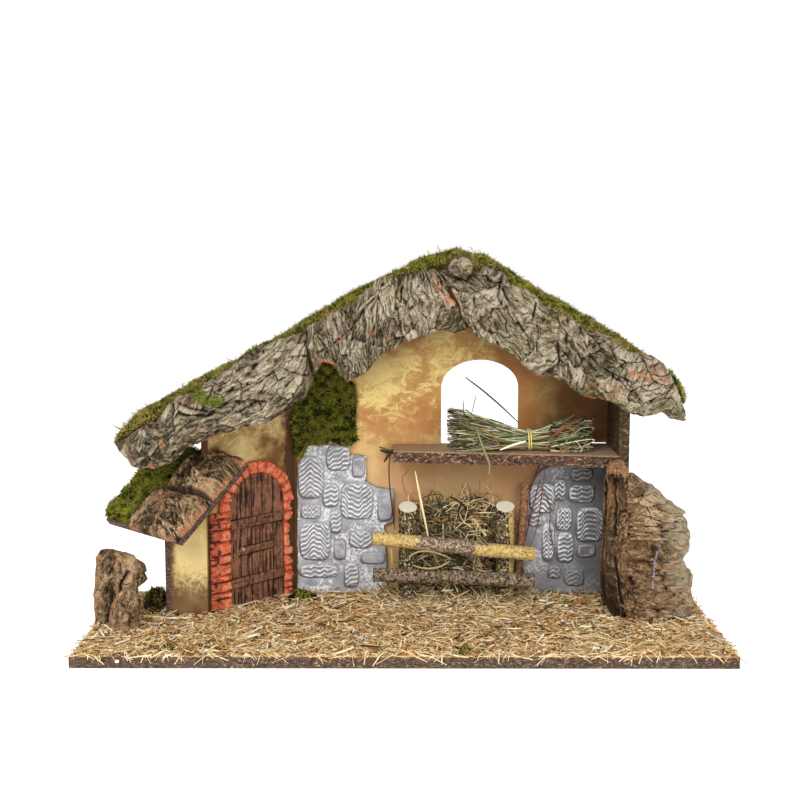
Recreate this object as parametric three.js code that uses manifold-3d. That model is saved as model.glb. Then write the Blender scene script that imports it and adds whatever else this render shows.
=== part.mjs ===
// Nativity stable: a chipboard stable with a moss and cork-bark roof, a loft shelf with a
// hay bundle, a hay rack, stone reliefs and a side annex with an arched door.
// Millimetres, +Z up, the open front faces -Y. The origin is the centre of the base's underside.

import * as THREE from 'three';
import { mergeVertices } from 'three/addons/utils/BufferGeometryUtils.js';
import Module from 'manifold-3d';

const wasm = await Module();
wasm.setup();

// Clearances
const GAP = 0.3;

// Base and ground
const BASE_LENGTH = 600;
const BASE_DEPTH = 210;
const BASE_THICKNESS = 10;
const STRAW_THICKNESS = 2;
const STRAW_MARGIN = 2;

// Walls: margins run in from the ends of the base, depths forward from the back wall
const BACK_WALL_THICKNESS = 6;
const SIDE_WALL_THICKNESS = 10;
const SIDE_WALL_MARGIN = 79;
const SIDE_WALL_DEPTH = 73;
const DOOR_WALL_THICKNESS = 8;
const DOOR_WALL_DEPTH = 79.5;
const ANNEX_MARGIN = 65.5;
const ANNEX_WIDTH = 41;
const ANNEX_SIDE_THICKNESS = 5.5;
const ANNEX_PANEL_THICKNESS = 7.2;
const ANNEX_BACK_WIDTH = 34.5;

// Loft shelf and window
const SHELF_TOP = 170;
const SHELF_THICKNESS = 12.5;
const SHELF_LENGTH = 222;
const SHELF_LEFT_DEPTH = 44;
const WINDOW_INSET = 92.5;
const WINDOW_WIDTH = 80;
const WINDOW_SIDE_HEIGHT = 59;
const WINDOW_RISE = 29;
const SLOT_HEIGHT = 1.8;

// Main roof
const RIDGE_TOP = 360.6;
const RIDGE_INSET = 171;
const LEFT_SLOPE = THREE.MathUtils.degToRad(28);
const RIGHT_SLOPE = THREE.MathUtils.degToRad(31);
const LEFT_EAVE_OVERHANG = 42;
const RIGHT_EAVE_OVERHANG = 37;
const ROOF_BOARD_THICKNESS = 10;
const ROOF_DEPTH = 110;

// Lean-to roof of the annex: its rake runs along the door wall, its eave square to it
const LEAN_PITCH = THREE.MathUtils.degToRad(39.4);
const LEAN_EAVE_HEIGHT = 94;
const LEAN_EAVE_REACH = 47.4;
const LEAN_OVERHANG = 25.5;
const LEAN_RUN = 103.4;
const LEAN_DEPTH = 127;
const LEAN_THICKNESS = 7;
const LEAN_BARK_SPLIT = 48;
const LEAN_BARK_LOWER_DEPTH = 80;
const LEAN_BARK_LOWER_LIFT = 17;
const LEAN_BARK_UPPER_DEPTH = 68;
const LEAN_BARK_UPPER_LIFT = 33;
const LEAN_MOSS_LIFT = 13;

// Door relief on the turned wall; s is measured along the wall from its outer corner
const DOOR_CENTRE_S = 59;
const DOOR_WIDTH = 70;
const DOOR_SPRING = 112;
const DOOR_PANEL_THICKNESS = 4;
const SURROUND_THICKNESS = 8;
const SURROUND_LEFT_WIDTH = 17;
const SURROUND_RIGHT_WIDTH = 9;
const SURROUND_RING_WIDTH = 12;
const BRICK_HEIGHT = 13;
const MORTAR_WIDTH = 1.6;
const MORTAR_DEPTH = 2.6;
const ARCH_BRICKS = 11;
const PLANK_COUNT = 5;
const PLANK_GROOVE = 1.4;
const BAND_HEIGHTS = [26, 86];
const BAND_WIDTH = 7;
const BAND_RELIEF = 1.4;
const LATCH_HEIGHT = 58;
const LATCH_LENGTH = 34;
const LATCH_WIDTH = 4;
const LATCH_RELIEF = 2.2;
const KNOB_RADIUS = 2.6;

// Stone reliefs
const RELIEF_THICKNESS = 5;
const STONE_RELIEF = 2.5;
const MOSS_PATCH_THICKNESS = 6.5;

// Hay rack: heights stand on the straw
const POST_RADIUS = 9.6;
const POST_SETBACK = 34;
const POST_INSET = 15;
const POST_SPACING = 99.3;
const POST_HEIGHT = 99;
const POST_CUT_TILT = 0.45;
const RAIL_LEFT_REACH = 35.5;
const RAIL_RIGHT_REACH = 28.7;
const UPPER_RAIL_RADIUS = 7.6;
const UPPER_RAIL_HEIGHTS = [70.5, 53.5];
const LOWER_RAIL_RADIUS = 7.2;
const LOWER_RAIL_HEIGHTS = [32.5, 26.5];
const STICK_RADIUS = 4.8;
const STICK_HEIGHT = 119;
const STICK_FOOT_OFFSET = 12.2;
const STICK_TOP_OFFSET = 22.7;
const STICK_LEAN = 12;
const HAY_HEIGHT = 112;
const HAY_SIDE_REACH = 3.4;
const HAY_SWELL = 15;

// Hay bundle and its tie
const BUNDLE_SETBACK = 41;
const BUNDLE_WAIST_INSET = 137;
const BUNDLE_WAIST_RADIUS = 9.7;
const TIE_DIAMETER = 1.1;
const TIE_PITCH = 2.2;
const TIE_TURNS = 2;

// Roof bark
const BARK_REACH = 100;
const BARK_EDGE = 5;
const BARK_BULGE = 20;
const RIDGE_KNOB_RADIUS = 11;
const RIDGE_KNOB_LENGTH = 26;

// Places that follow from the sizes above
const BASE_TOP = BASE_THICKNESS;
const GROUND_TOP = BASE_TOP + STRAW_THICKNESS;
const RELIEF_FOOT = GROUND_TOP + GAP;
const BASE_LEFT_X = -BASE_LENGTH / 2;
const BACK_Y = BASE_DEPTH / 2;
const BACK_WALL_FRONT_Y = BACK_Y - BACK_WALL_THICKNESS;
const SIDE_WALL_OUTER_X = BASE_LENGTH / 2 - SIDE_WALL_MARGIN;
const SIDE_WALL_INNER_X = SIDE_WALL_OUTER_X - SIDE_WALL_THICKNESS;
const SIDE_WALL_FRONT_Y = BACK_WALL_FRONT_Y - SIDE_WALL_DEPTH;
const ANNEX_LEFT_X = BASE_LEFT_X + ANNEX_MARGIN;
const BACK_WALL_LEFT_X = ANNEX_LEFT_X + ANNEX_BACK_WIDTH;
const DOOR_WALL_CORNER_X = ANNEX_LEFT_X + ANNEX_WIDTH;
const DOOR_WALL_CORNER_Y = BACK_WALL_FRONT_Y - DOOR_WALL_DEPTH;
const DOOR_WALL_END_X = DOOR_WALL_CORNER_X + DOOR_WALL_DEPTH;
const ANNEX_PANEL_FRONT_Y = DOOR_WALL_CORNER_Y - GAP - ANNEX_PANEL_THICKNESS;
const SHELF_UNDERSIDE = SHELF_TOP - SHELF_THICKNESS;
const SHELF_LEFT_X = SIDE_WALL_INNER_X - SHELF_LENGTH;
const SHELF_LEFT_FRONT_Y = BACK_WALL_FRONT_Y - SHELF_LEFT_DEPTH;
const WINDOW_RIGHT_X = SIDE_WALL_INNER_X - WINDOW_INSET;
const WINDOW_LEFT_X = WINDOW_RIGHT_X - WINDOW_WIDTH;
const RIDGE_X = SIDE_WALL_OUTER_X - RIDGE_INSET;
const LEFT_EAVE_X = ANNEX_LEFT_X - LEFT_EAVE_OVERHANG;
const RIGHT_EAVE_X = SIDE_WALL_OUTER_X + RIGHT_EAVE_OVERHANG;
const ROOF_FRONT_Y = BACK_Y - ROOF_DEPTH;
const BARK_BACK_Y = ROOF_FRONT_Y - GAP;
const RELIEF_FRONT_Y = BACK_WALL_FRONT_Y - RELIEF_THICKNESS;
const STONE_FRONT_Y = RELIEF_FRONT_Y - STONE_RELIEF;
const POST_Y = BACK_WALL_FRONT_Y - POST_SETBACK;
const POST_LEFT_X = SHELF_LEFT_X + POST_INSET;
const POST_RIGHT_X = POST_LEFT_X + POST_SPACING;
const RAIL_BACK_Y = POST_Y - POST_RADIUS - GAP;
const HAY_MIDDLE_X = (POST_LEFT_X + POST_RIGHT_X) / 2;
const HAY_HALF_WIDTH = POST_SPACING / 2 + HAY_SIDE_REACH;
const BUNDLE_Y = BACK_WALL_FRONT_Y - BUNDLE_SETBACK;
const BUNDLE_WAIST_X = SHELF_LEFT_X + BUNDLE_WAIST_INSET;

const model = new THREE.Group();

function finish(color, roughness) {
  return new THREE.MeshStandardMaterial({ color, roughness, metalness: 0 });
}

const FINISHES = {
  chipboard: finish(0x5f4a3a, 0.9),
  plaster: finish(0xc9a264, 0.85),
  darkWood: finish(0x6b5248, 0.85),
  straw: finish(0xbe9b69, 0.9),
  stone: finish(0x97979b, 0.85),
  brick: finish(0xcc5844, 0.85),
  doorWood: finish(0x55301f, 0.8),
  corkBark: finish(0x9c9180, 0.95),
  columnBark: finish(0x8f7358, 0.95),
  moss: finish(0x5e6f25, 1.0),
  limbBark: finish(0x6d5a44, 0.9),
  lichenBark: finish(0xd2b45f, 0.9),
  hay: finish(0x8d8752, 0.95),
  tie: finish(0xe0c23c, 0.6),
};

function place(name, geometry, material, parent = model) {
  const mesh = new THREE.Mesh(geometry, material);
  mesh.name = name;
  parent.add(mesh);
}

function bare(geometry) {
  const copy = geometry.clone();
  copy.deleteAttribute('normal');
  copy.deleteAttribute('uv');
  return mergeVertices(copy, 1e-5);
}

function toSolid(geometry) {
  const merged = bare(geometry);
  const mesh = new wasm.Mesh({
    numProp: 3,
    vertProperties: new Float32Array(merged.attributes.position.array),
    triVerts: new Uint32Array(merged.index.array),
  });
  return new wasm.Manifold(mesh);
}

function toGeometry(solid) {
  const mesh = solid.getMesh();
  const geometry = new THREE.BufferGeometry();
  geometry.setAttribute('position', new THREE.BufferAttribute(new Float32Array(mesh.vertProperties), 3));
  geometry.setIndex(new THREE.BufferAttribute(new Uint32Array(mesh.triVerts), 1));
  return geometry;
}

function cut(geometry, ...tools) {
  return toGeometry(tools.reduce((rest, tool) => rest.subtract(toSolid(tool)), toSolid(geometry)));
}

function join(geometry, ...others) {
  return toGeometry(others.reduce((sum, other) => sum.add(toSolid(other)), toSolid(geometry)));
}

function keepInside(geometry, tool) {
  return toGeometry(toSolid(geometry).intersect(toSolid(tool)));
}

function box(x0, x1, y0, y1, z0, z1) {
  const geometry = new THREE.BoxGeometry(x1 - x0, y1 - y0, z1 - z0);
  return geometry.translate((x0 + x1) / 2, (y0 + y1) / 2, (z0 + z1) / 2);
}

function outline(points) {
  return new THREE.Shape(points.map(([x, y]) => new THREE.Vector2(x, y)));
}

function extrude(shape, depth, curveSegments = 12) {
  return new THREE.ExtrudeGeometry(shape, { depth, bevelEnabled: false, curveSegments });
}

// A plan outline (x, y) raised from z0 to z1
function raise(points, z0, z1) {
  return extrude(outline(points), z1 - z0).translate(0, 0, z0);
}

// An upright outline (x, z) given its thickness along Y, from yFront to yBack
function stand(shape, yFront, yBack, curveSegments = 12) {
  const geometry = extrude(shape, yBack - yFront, curveSegments);
  const position = geometry.attributes.position;
  for (let i = 0; i < position.count; i += 1) {
    position.setXYZ(i, position.getX(i), yBack - position.getZ(i), position.getY(i));
  }
  return geometry;
}

// A closed mesh from points and triangles, turned so that its faces point out
function closedMesh(points, triangles) {
  const corner = (i) => points[triangles[i]];
  let volume = 0;
  for (let i = 0; i < triangles.length; i += 3) {
    volume += corner(i).dot(corner(i + 1).clone().cross(corner(i + 2)));
  }
  if (volume < 0) triangles.reverse();
  const geometry = new THREE.BufferGeometry().setFromPoints(points);
  geometry.setIndex(triangles);
  return geometry;
}

// A solid skinned over rings of equal point count, with a flat or fanned cap at both ends
function skin(rings) {
  const count = rings[0].length;
  const points = rings.flat();
  const triangles = [];
  for (let r = 0; r + 1 < rings.length; r += 1) {
    for (let k = 0; k < count; k += 1) {
      const a = r * count + k;
      const b = r * count + ((k + 1) % count);
      triangles.push(a, b, a + count, b, b + count, a + count);
    }
  }
  const cap = (ring, first, turned) => {
    const centre = ring.reduce((sum, p) => sum.add(p), new THREE.Vector3()).divideScalar(count);
    points.push(centre);
    const middle = points.length - 1;
    for (let k = 0; k < count; k += 1) {
      const next = (k + 1) % count;
      if (turned) triangles.push(middle, first + k, first + next);
      else triangles.push(middle, first + next, first + k);
    }
  };
  cap(rings[0], 0, false);
  cap(rings.at(-1), (rings.length - 1) * count, true);
  return closedMesh(points, triangles);
}

// A solid between a front and a back surface, each a function of column and row shares 0..1
function slab(columns, rows, front, back) {
  const points = [];
  for (const surface of [front, back]) {
    for (let i = 0; i <= columns; i += 1) {
      for (let j = 0; j <= rows; j += 1) points.push(surface(i / columns, j / rows));
    }
  }
  const stride = rows + 1;
  const far = (columns + 1) * stride;
  const triangles = [];
  const quad = (a, b, c, d) => triangles.push(a, b, c, a, c, d);
  for (let i = 0; i < columns; i += 1) {
    for (let j = 0; j < rows; j += 1) {
      const a = i * stride + j;
      quad(a, a + stride, a + stride + 1, a + 1);
      quad(far + a, far + a + 1, far + a + stride + 1, far + a + stride);
    }
    const low = i * stride;
    quad(low, far + low, far + low + stride, low + stride);
    const high = low + rows;
    quad(high, high + stride, far + high + stride, far + high);
  }
  for (let j = 0; j < rows; j += 1) {
    quad(j, j + 1, far + j + 1, far + j);
    const last = columns * stride + j;
    quad(last, far + last, far + last + 1, last + 1);
  }
  return closedMesh(points, triangles);
}

function between(list, x) {
  const next = list.findIndex(([at]) => at >= x);
  if (next < 0) return list.at(-1)[1];
  if (next === 0) return list[0][1];
  const [x0, v0] = list[next - 1];
  const [x1, v1] = list[next];
  return v0 + ((v1 - v0) * (x - x0)) / (x1 - x0);
}

const ripple = (a, b) => 0.5 * Math.sin(a) * Math.cos(b) + 0.5 * Math.sin(0.53 * a + 1.7 * b);

// Roof heights
function roofTop(x) {
  const slope = x < RIDGE_X ? LEFT_SLOPE : RIGHT_SLOPE;
  return RIDGE_TOP - Math.abs(x - RIDGE_X) * Math.tan(slope);
}

function roofUnderside(x) {
  const slope = x < RIDGE_X ? LEFT_SLOPE : RIGHT_SLOPE;
  return roofTop(x) - ROOF_BOARD_THICKNESS / Math.cos(slope);
}

const RIDGE_UNDERSIDE = Math.min(
  RIDGE_TOP - ROOF_BOARD_THICKNESS / Math.cos(LEFT_SLOPE),
  RIDGE_TOP - ROOF_BOARD_THICKNESS / Math.cos(RIGHT_SLOPE),
);

function underRoofSpace() {
  const reach = BASE_LENGTH;
  const left = RIDGE_X - reach;
  const right = RIDGE_X + reach;
  const drop = (x) => roofUnderside(x) - GAP;
  return stand(
    outline([[left, -reach], [right, -reach], [right, drop(right)], [RIDGE_X, RIDGE_UNDERSIDE - GAP],
      [left, drop(left)]]),
    -BASE_DEPTH,
    BASE_DEPTH,
  );
}

// Door wall frame: s along the wall, z up, t out of its front face
const doorWallFrame = new THREE.Matrix4()
  .makeBasis(
    new THREE.Vector3(Math.SQRT1_2, Math.SQRT1_2, 0),
    new THREE.Vector3(0, 0, 1),
    new THREE.Vector3(Math.SQRT1_2, -Math.SQRT1_2, 0),
  )
  .setPosition(DOOR_WALL_CORNER_X, DOOR_WALL_CORNER_Y, 0);

function alongDoorWall(s, t) {
  return [
    DOOR_WALL_CORNER_X + (s + t) * Math.SQRT1_2,
    DOOR_WALL_CORNER_Y + (s - t) * Math.SQRT1_2,
  ];
}

const DOOR_WALL_LENGTH = (BACK_WALL_FRONT_Y - DOOR_WALL_CORNER_Y) * Math.SQRT2;

function doorWallFootprint(margin) {
  const end = DOOR_WALL_LENGTH - GAP * Math.SQRT2;
  return [
    alongDoorWall(-margin, margin),
    alongDoorWall(end + margin, margin),
    alongDoorWall(end - DOOR_WALL_THICKNESS - margin, -DOOR_WALL_THICKNESS - margin),
    alongDoorWall(-margin, -DOOR_WALL_THICKNESS - margin),
  ];
}

// Lean-to frame: x up the slope from the eave, y back along the eave, z out of the roof
const leanCos = Math.cos(LEAN_PITCH);
const leanSin = Math.sin(LEAN_PITCH);
const [leanX, leanY] = alongDoorWall(-LEAN_EAVE_REACH, LEAN_OVERHANG);
const leanFrame = new THREE.Matrix4()
  .makeBasis(
    new THREE.Vector3(leanCos * Math.SQRT1_2, leanCos * Math.SQRT1_2, leanSin),
    new THREE.Vector3(-Math.SQRT1_2, Math.SQRT1_2, 0),
    new THREE.Vector3(-leanSin * Math.SQRT1_2, -leanSin * Math.SQRT1_2, leanCos),
  )
  .setPosition(leanX, leanY, LEAN_EAVE_HEIGHT);

function leanUnderside(x, y) {
  const s = (x - DOOR_WALL_CORNER_X + y - DOOR_WALL_CORNER_Y) * Math.SQRT1_2;
  return LEAN_EAVE_HEIGHT + (s + LEAN_EAVE_REACH) * Math.tan(LEAN_PITCH);
}

function onLeanTo(geometry) {
  return geometry.applyMatrix4(leanFrame);
}

function leanToSpace() {
  const reach = BASE_LENGTH;
  return onLeanTo(box(-reach, reach, -reach, reach, -GAP, reach));
}

function doorWallHole() {
  return raise(doorWallFootprint(GAP), 0, 2 * RIDGE_TOP);
}

function behindBase() {
  return box(-BASE_LENGTH, BASE_LENGTH, BACK_Y, BACK_Y + BASE_LENGTH, -BASE_LENGTH, 2 * RIDGE_TOP);
}

// Base and ground
function addBase() {
  const half = BASE_LENGTH / 2;
  place('base_board', box(-half, half, -BACK_Y, BACK_Y, 0, BASE_TOP), FINISHES.chipboard);

  const edgeX = half - STRAW_MARGIN;
  const edgeY = BACK_Y - STRAW_MARGIN;
  const wallY = BACK_WALL_FRONT_Y - GAP;
  const panelY = ANNEX_PANEL_FRONT_Y - GAP;
  const straw = [
    [-edgeX, -edgeY],
    [edgeX, -edgeY],
    [edgeX, edgeY],
    [SIDE_WALL_OUTER_X + GAP, edgeY],
    [SIDE_WALL_OUTER_X + GAP, SIDE_WALL_FRONT_Y - GAP],
    [SIDE_WALL_INNER_X - GAP, SIDE_WALL_FRONT_Y - GAP],
    [SIDE_WALL_INNER_X - GAP, wallY],
    alongDoorWall(DOOR_WALL_LENGTH - GAP, GAP),
    alongDoorWall(-GAP, GAP),
    [DOOR_WALL_CORNER_X, panelY],
    [ANNEX_LEFT_X - GAP, panelY],
    [ANNEX_LEFT_X - GAP, edgeY],
    [-edgeX, edgeY],
  ];
  place('straw_ground', raise(straw, BASE_TOP, GROUND_TOP), FINISHES.straw);
}

// Walls
function windowHole() {
  const spring = SHELF_TOP + WINDOW_SIDE_HEIGHT;
  const middle = (WINDOW_LEFT_X + WINDOW_RIGHT_X) / 2;
  const hole = new THREE.Path();
  hole.moveTo(WINDOW_LEFT_X, SHELF_TOP);
  hole.lineTo(WINDOW_LEFT_X, spring);
  hole.absellipse(middle, spring, WINDOW_WIDTH / 2, WINDOW_RISE, Math.PI, 0, true);
  hole.lineTo(WINDOW_RIGHT_X, SHELF_TOP + SLOT_HEIGHT);
  hole.lineTo(SIDE_WALL_INNER_X - GAP, SHELF_TOP + SLOT_HEIGHT);
  hole.lineTo(SIDE_WALL_INNER_X - GAP, SHELF_TOP);
  hole.closePath();
  return hole;
}

function addBackWall() {
  const drop = (x) => roofUnderside(x) - GAP;
  const annexTop = leanUnderside(ANNEX_LEFT_X, BACK_WALL_FRONT_Y) - GAP;
  const wall = outline([
    [ANNEX_LEFT_X, BASE_TOP],
    [SIDE_WALL_OUTER_X, BASE_TOP],
    [SIDE_WALL_OUTER_X, drop(SIDE_WALL_OUTER_X)],
    [RIDGE_X, RIDGE_UNDERSIDE - GAP],
    [BACK_WALL_LEFT_X, drop(BACK_WALL_LEFT_X)],
    [BACK_WALL_LEFT_X, annexTop],
    [ANNEX_LEFT_X, annexTop],
  ]);
  wall.holes.push(windowHole());
  place('back_wall', stand(wall, BACK_WALL_FRONT_Y, BACK_Y), FINISHES.plaster);
}

function addStandingWalls() {
  const side = box(SIDE_WALL_INNER_X, SIDE_WALL_OUTER_X, SIDE_WALL_FRONT_Y, BACK_WALL_FRONT_Y,
    BASE_TOP, RIDGE_TOP);
  place('side_wall_right', keepInside(side, underRoofSpace()), FINISHES.chipboard);

  const turned = raise(doorWallFootprint(0), BASE_TOP, RIDGE_TOP);
  place('door_wall', keepInside(turned, underRoofSpace()), FINISHES.plaster);

  const panelLeft = ANNEX_LEFT_X + ANNEX_SIDE_THICKNESS;
  const panelBack = ANNEX_PANEL_FRONT_Y + ANNEX_PANEL_THICKNESS;
  const panel = box(panelLeft, DOOR_WALL_CORNER_X, ANNEX_PANEL_FRONT_Y, panelBack, BASE_TOP, RIDGE_TOP);
  place('annex_front_panel', cut(panel, leanToSpace()), FINISHES.plaster);

  const annexSide = box(ANNEX_LEFT_X, panelLeft, ANNEX_PANEL_FRONT_Y, BACK_WALL_FRONT_Y, BASE_TOP, RIDGE_TOP);
  place('annex_side_wall', cut(annexSide, leanToSpace()), FINISHES.chipboard);
}

function addShelf() {
  const plan = [
    [SHELF_LEFT_X, SHELF_LEFT_FRONT_Y],
    [SIDE_WALL_INNER_X, SIDE_WALL_FRONT_Y],
    [SIDE_WALL_INNER_X, BACK_WALL_FRONT_Y],
    [SHELF_LEFT_X, BACK_WALL_FRONT_Y],
  ];
  place('loft_shelf', raise(plan, SHELF_UNDERSIDE, SHELF_TOP), FINISHES.darkWood);
}

// Roof boards
function addRoofBoards() {
  const board = (eaveX, slope, side) => {
    const topZ = roofTop(eaveX);
    return outline([
      [eaveX, topZ],
      [eaveX - side * ROOF_BOARD_THICKNESS * Math.sin(slope), topZ - ROOF_BOARD_THICKNESS * Math.cos(slope)],
      [RIDGE_X, RIDGE_TOP - ROOF_BOARD_THICKNESS / Math.cos(slope)],
      [RIDGE_X, RIDGE_TOP],
    ]);
  };
  const left = stand(board(LEFT_EAVE_X, LEFT_SLOPE, -1), ROOF_FRONT_Y, BACK_Y);
  const right = stand(board(RIGHT_EAVE_X, RIGHT_SLOPE, 1), ROOF_FRONT_Y, BACK_Y);
  place('roof_board_left', left, FINISHES.chipboard);
  place('roof_board_right', right, FINISHES.chipboard);

  const lean = onLeanTo(box(0, LEAN_RUN, 0, LEAN_DEPTH, 0, LEAN_THICKNESS));
  const leanBoard = cut(lean, doorWallHole(), behindBase());
  place('annex_roof_board', keepInside(leanBoard, underRoofSpace()), FINISHES.chipboard);
}

// Arched outline on the turned wall, from z0 up to a round head
function arch(left, right, z0, radius) {
  const shape = new THREE.Shape();
  shape.moveTo(left, z0);
  shape.lineTo(right, z0);
  shape.lineTo(right, DOOR_SPRING);
  shape.lineTo(DOOR_CENTRE_S + radius, DOOR_SPRING);
  shape.absarc(DOOR_CENTRE_S, DOOR_SPRING, radius, 0, Math.PI, false);
  shape.lineTo(left, DOOR_SPRING);
  shape.closePath();
  return shape;
}

function mortarJoints(left, right) {
  const joints = [];
  const front = SURROUND_THICKNESS;
  const inside = DOOR_WIDTH / 2 - GAP;
  for (let z = RELIEF_FOOT + BRICK_HEIGHT; z < DOOR_SPRING; z += BRICK_HEIGHT) {
    const joint = (s0, s1) => box(s0, s1, z - MORTAR_WIDTH / 2, z + MORTAR_WIDTH / 2,
      front - MORTAR_DEPTH, front + 1);
    joints.push(joint(left - 1, DOOR_CENTRE_S - inside), joint(DOOR_CENTRE_S + inside, right + 1));
  }
  for (let k = 0; k <= ARCH_BRICKS; k += 1) {
    const joint = box(inside, inside + SURROUND_RING_WIDTH + 2, -MORTAR_WIDTH / 2, MORTAR_WIDTH / 2,
      front - MORTAR_DEPTH, front + 1);
    joint.rotateZ((Math.PI * k) / ARCH_BRICKS);
    joints.push(joint.translate(DOOR_CENTRE_S, DOOR_SPRING, 0));
  }
  return joints;
}

function addDoor() {
  const frame = new THREE.Group();
  frame.applyMatrix4(doorWallFrame);
  model.add(frame);

  const half = DOOR_WIDTH / 2;
  const left = DOOR_CENTRE_S - half - SURROUND_LEFT_WIDTH;
  const right = DOOR_CENTRE_S + half + SURROUND_RIGHT_WIDTH;
  const block = extrude(arch(left, right, RELIEF_FOOT, half + SURROUND_RING_WIDTH), SURROUND_THICKNESS);
  const doorway = extrude(
    arch(DOOR_CENTRE_S - half, DOOR_CENTRE_S + half, -half, half),
    2 * SURROUND_THICKNESS,
  ).translate(0, 0, -1);
  const underLeanTo = leanToSpace().applyMatrix4(doorWallFrame.clone().invert());
  const surround = cut(block, doorway, underLeanTo, ...mortarJoints(left, right));
  place('brick_surround', surround.translate(0, 0, GAP), FINISHES.brick, frame);

  const inner = half - GAP;
  const panel = extrude(
    arch(DOOR_CENTRE_S - inner, DOOR_CENTRE_S + inner, RELIEF_FOOT, inner),
    DOOR_PANEL_THICKNESS,
  );
  const grooves = [];
  for (let k = 1; k < PLANK_COUNT; k += 1) {
    const s = DOOR_CENTRE_S - inner + (2 * inner * k) / PLANK_COUNT;
    grooves.push(box(s - PLANK_GROOVE / 2, s + PLANK_GROOVE / 2, 0, RIDGE_TOP,
      DOOR_PANEL_THICKNESS - PLANK_GROOVE, DOOR_PANEL_THICKNESS + 1));
  }
  const root = DOOR_PANEL_THICKNESS / 2;
  const bands = BAND_HEIGHTS.map((height) => {
    const z = RELIEF_FOOT + height;
    return box(DOOR_CENTRE_S - inner + MORTAR_WIDTH, DOOR_CENTRE_S + inner - MORTAR_WIDTH, z, z + BAND_WIDTH,
      root, DOOR_PANEL_THICKNESS + BAND_RELIEF);
  });
  const latchLeft = DOOR_CENTRE_S - 0.6 * LATCH_LENGTH;
  const latchZ = RELIEF_FOOT + LATCH_HEIGHT;
  const latch = box(latchLeft, latchLeft + LATCH_LENGTH, latchZ, latchZ + LATCH_WIDTH, root,
    DOOR_PANEL_THICKNESS + LATCH_RELIEF);
  const knob = new THREE.CylinderGeometry(KNOB_RADIUS, KNOB_RADIUS, DOOR_PANEL_THICKNESS, 8)
    .rotateX(Math.PI / 2)
    .translate(latchLeft + 0.25 * LATCH_LENGTH, latchZ - 0.5 * KNOB_RADIUS, DOOR_PANEL_THICKNESS + 1);
  const door = join(cut(panel, ...grooves), ...bands, latch, knob);
  place('door_relief', door.translate(0, 0, GAP), FINISHES.doorWood, frame);
}

// Stone reliefs on the back wall. The left one is measured in x from the door wall's end, the
// right one back from the side wall, both in z from the relief's foot. Stones are [x, z, width, height].
const STONES_LEFT_OUTLINE = [
  [2, 0], [96, 0], [96, 27.7], [93, 72.7], [102, 76.7], [103, 109.7], [85, 112.7], [73, 119.7],
  [75, 123.7], [74, 145.7], [58, 146.7], [57, 156.7], [34, 157.7], [15, 156.7], [7, 142.7], [3, 136.7],
];
const STONES_LEFT = [
  [17, 123.7, 25, 43], [46, 143.7, 23, 25], [67, 134.7, 12, 20], [38, 104.7, 15, 23],
  [65, 98.7, 32, 37], [94.5, 92.7, 14, 30], [17, 87.7, 20, 14], [43, 76.7, 11, 23], [21, 55.7, 31, 39],
  [47, 46.7, 11, 21], [69, 57.7, 23, 17], [25, 23.7, 40, 13], [59, 19.7, 14, 25], [82, 37.7, 24, 12],
];
const STONES_RIGHT_OUTLINE = [
  [-79, 0], [-1, 0], [-1, 139.7], [-68, 139.7], [-75, 120.7], [-82, 104.7], [-82, 86.7], [-85, 71.7],
  [-86, 28.7],
];
const STONES_RIGHT = [
  [-26, 126.7, 21, 13], [-49, 110.7, 11, 22], [-26, 106.7, 25, 18], [-67, 101.7, 25, 30],
  [-44, 79.7, 15, 24], [-17, 73.7, 26, 36], [-74, 78.7, 13, 13], [-60, 55.7, 12, 41],
  [-42, 49.7, 16, 32], [-20, 45.7, 18, 13], [-32, 16.7, 19, 17], [-53, 22.7, 11, 12],
];
const MOSS_CORNER_OUTLINE = [
  [62, 160.7], [62, 220.7], [53, 220.7], [48, 237.7], [20, 237.7], [6, 219.7], [2.5, 192.7],
  [2.5, 147.7], [4.5, 144.7], [14, 158.7], [34, 159.7],
];
const STONE_SIDES = 10;
const STONE_SQUARENESS = 0.7;
const STONE_CROWN = 0.8;

function stone([x, z, width, height]) {
  const round = (value) => Math.sign(value) * Math.abs(value) ** STONE_SQUARENESS;
  const ring = (share, y) => {
    const points = [];
    for (let k = 0; k < STONE_SIDES; k += 1) {
      const angle = (2 * Math.PI * (k + 0.5)) / STONE_SIDES;
      points.push(new THREE.Vector3(
        x + 0.5 * width * share * round(Math.cos(angle)),
        y,
        z + 0.5 * height * share * round(Math.sin(angle)),
      ));
    }
    return points;
  };
  const root = RELIEF_FRONT_Y + RELIEF_THICKNESS / 5;
  const shoulder = (RELIEF_FRONT_Y + STONE_FRONT_Y) / 2;
  return skin([ring(1, root), ring(1, shoulder), ring(STONE_CROWN, STONE_FRONT_Y)]);
}

function stoneRelief(points, stones) {
  const sheet = stand(outline(points), RELIEF_FRONT_Y, BACK_WALL_FRONT_Y);
  return join(sheet, ...stones.map(stone));
}

function addStoneReliefs() {
  const reach = BASE_LENGTH;
  const left = stoneRelief(STONES_LEFT_OUTLINE, STONES_LEFT).translate(DOOR_WALL_END_X, 0, RELIEF_FOOT);
  const besideHay = box(-reach, HAY_MIDDLE_X - HAY_HALF_WIDTH - GAP, -reach, reach, -reach, reach);
  place('stone_relief_left', keepInside(left, besideHay), FINISHES.stone);

  const right = stoneRelief(STONES_RIGHT_OUTLINE, STONES_RIGHT).translate(SIDE_WALL_INNER_X, 0, RELIEF_FOOT);
  const underShelf = box(-reach, reach, -reach, reach, -reach, SHELF_UNDERSIDE - GAP);
  place('stone_relief_right', keepInside(right, underShelf), FINISHES.stone);
}

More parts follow.
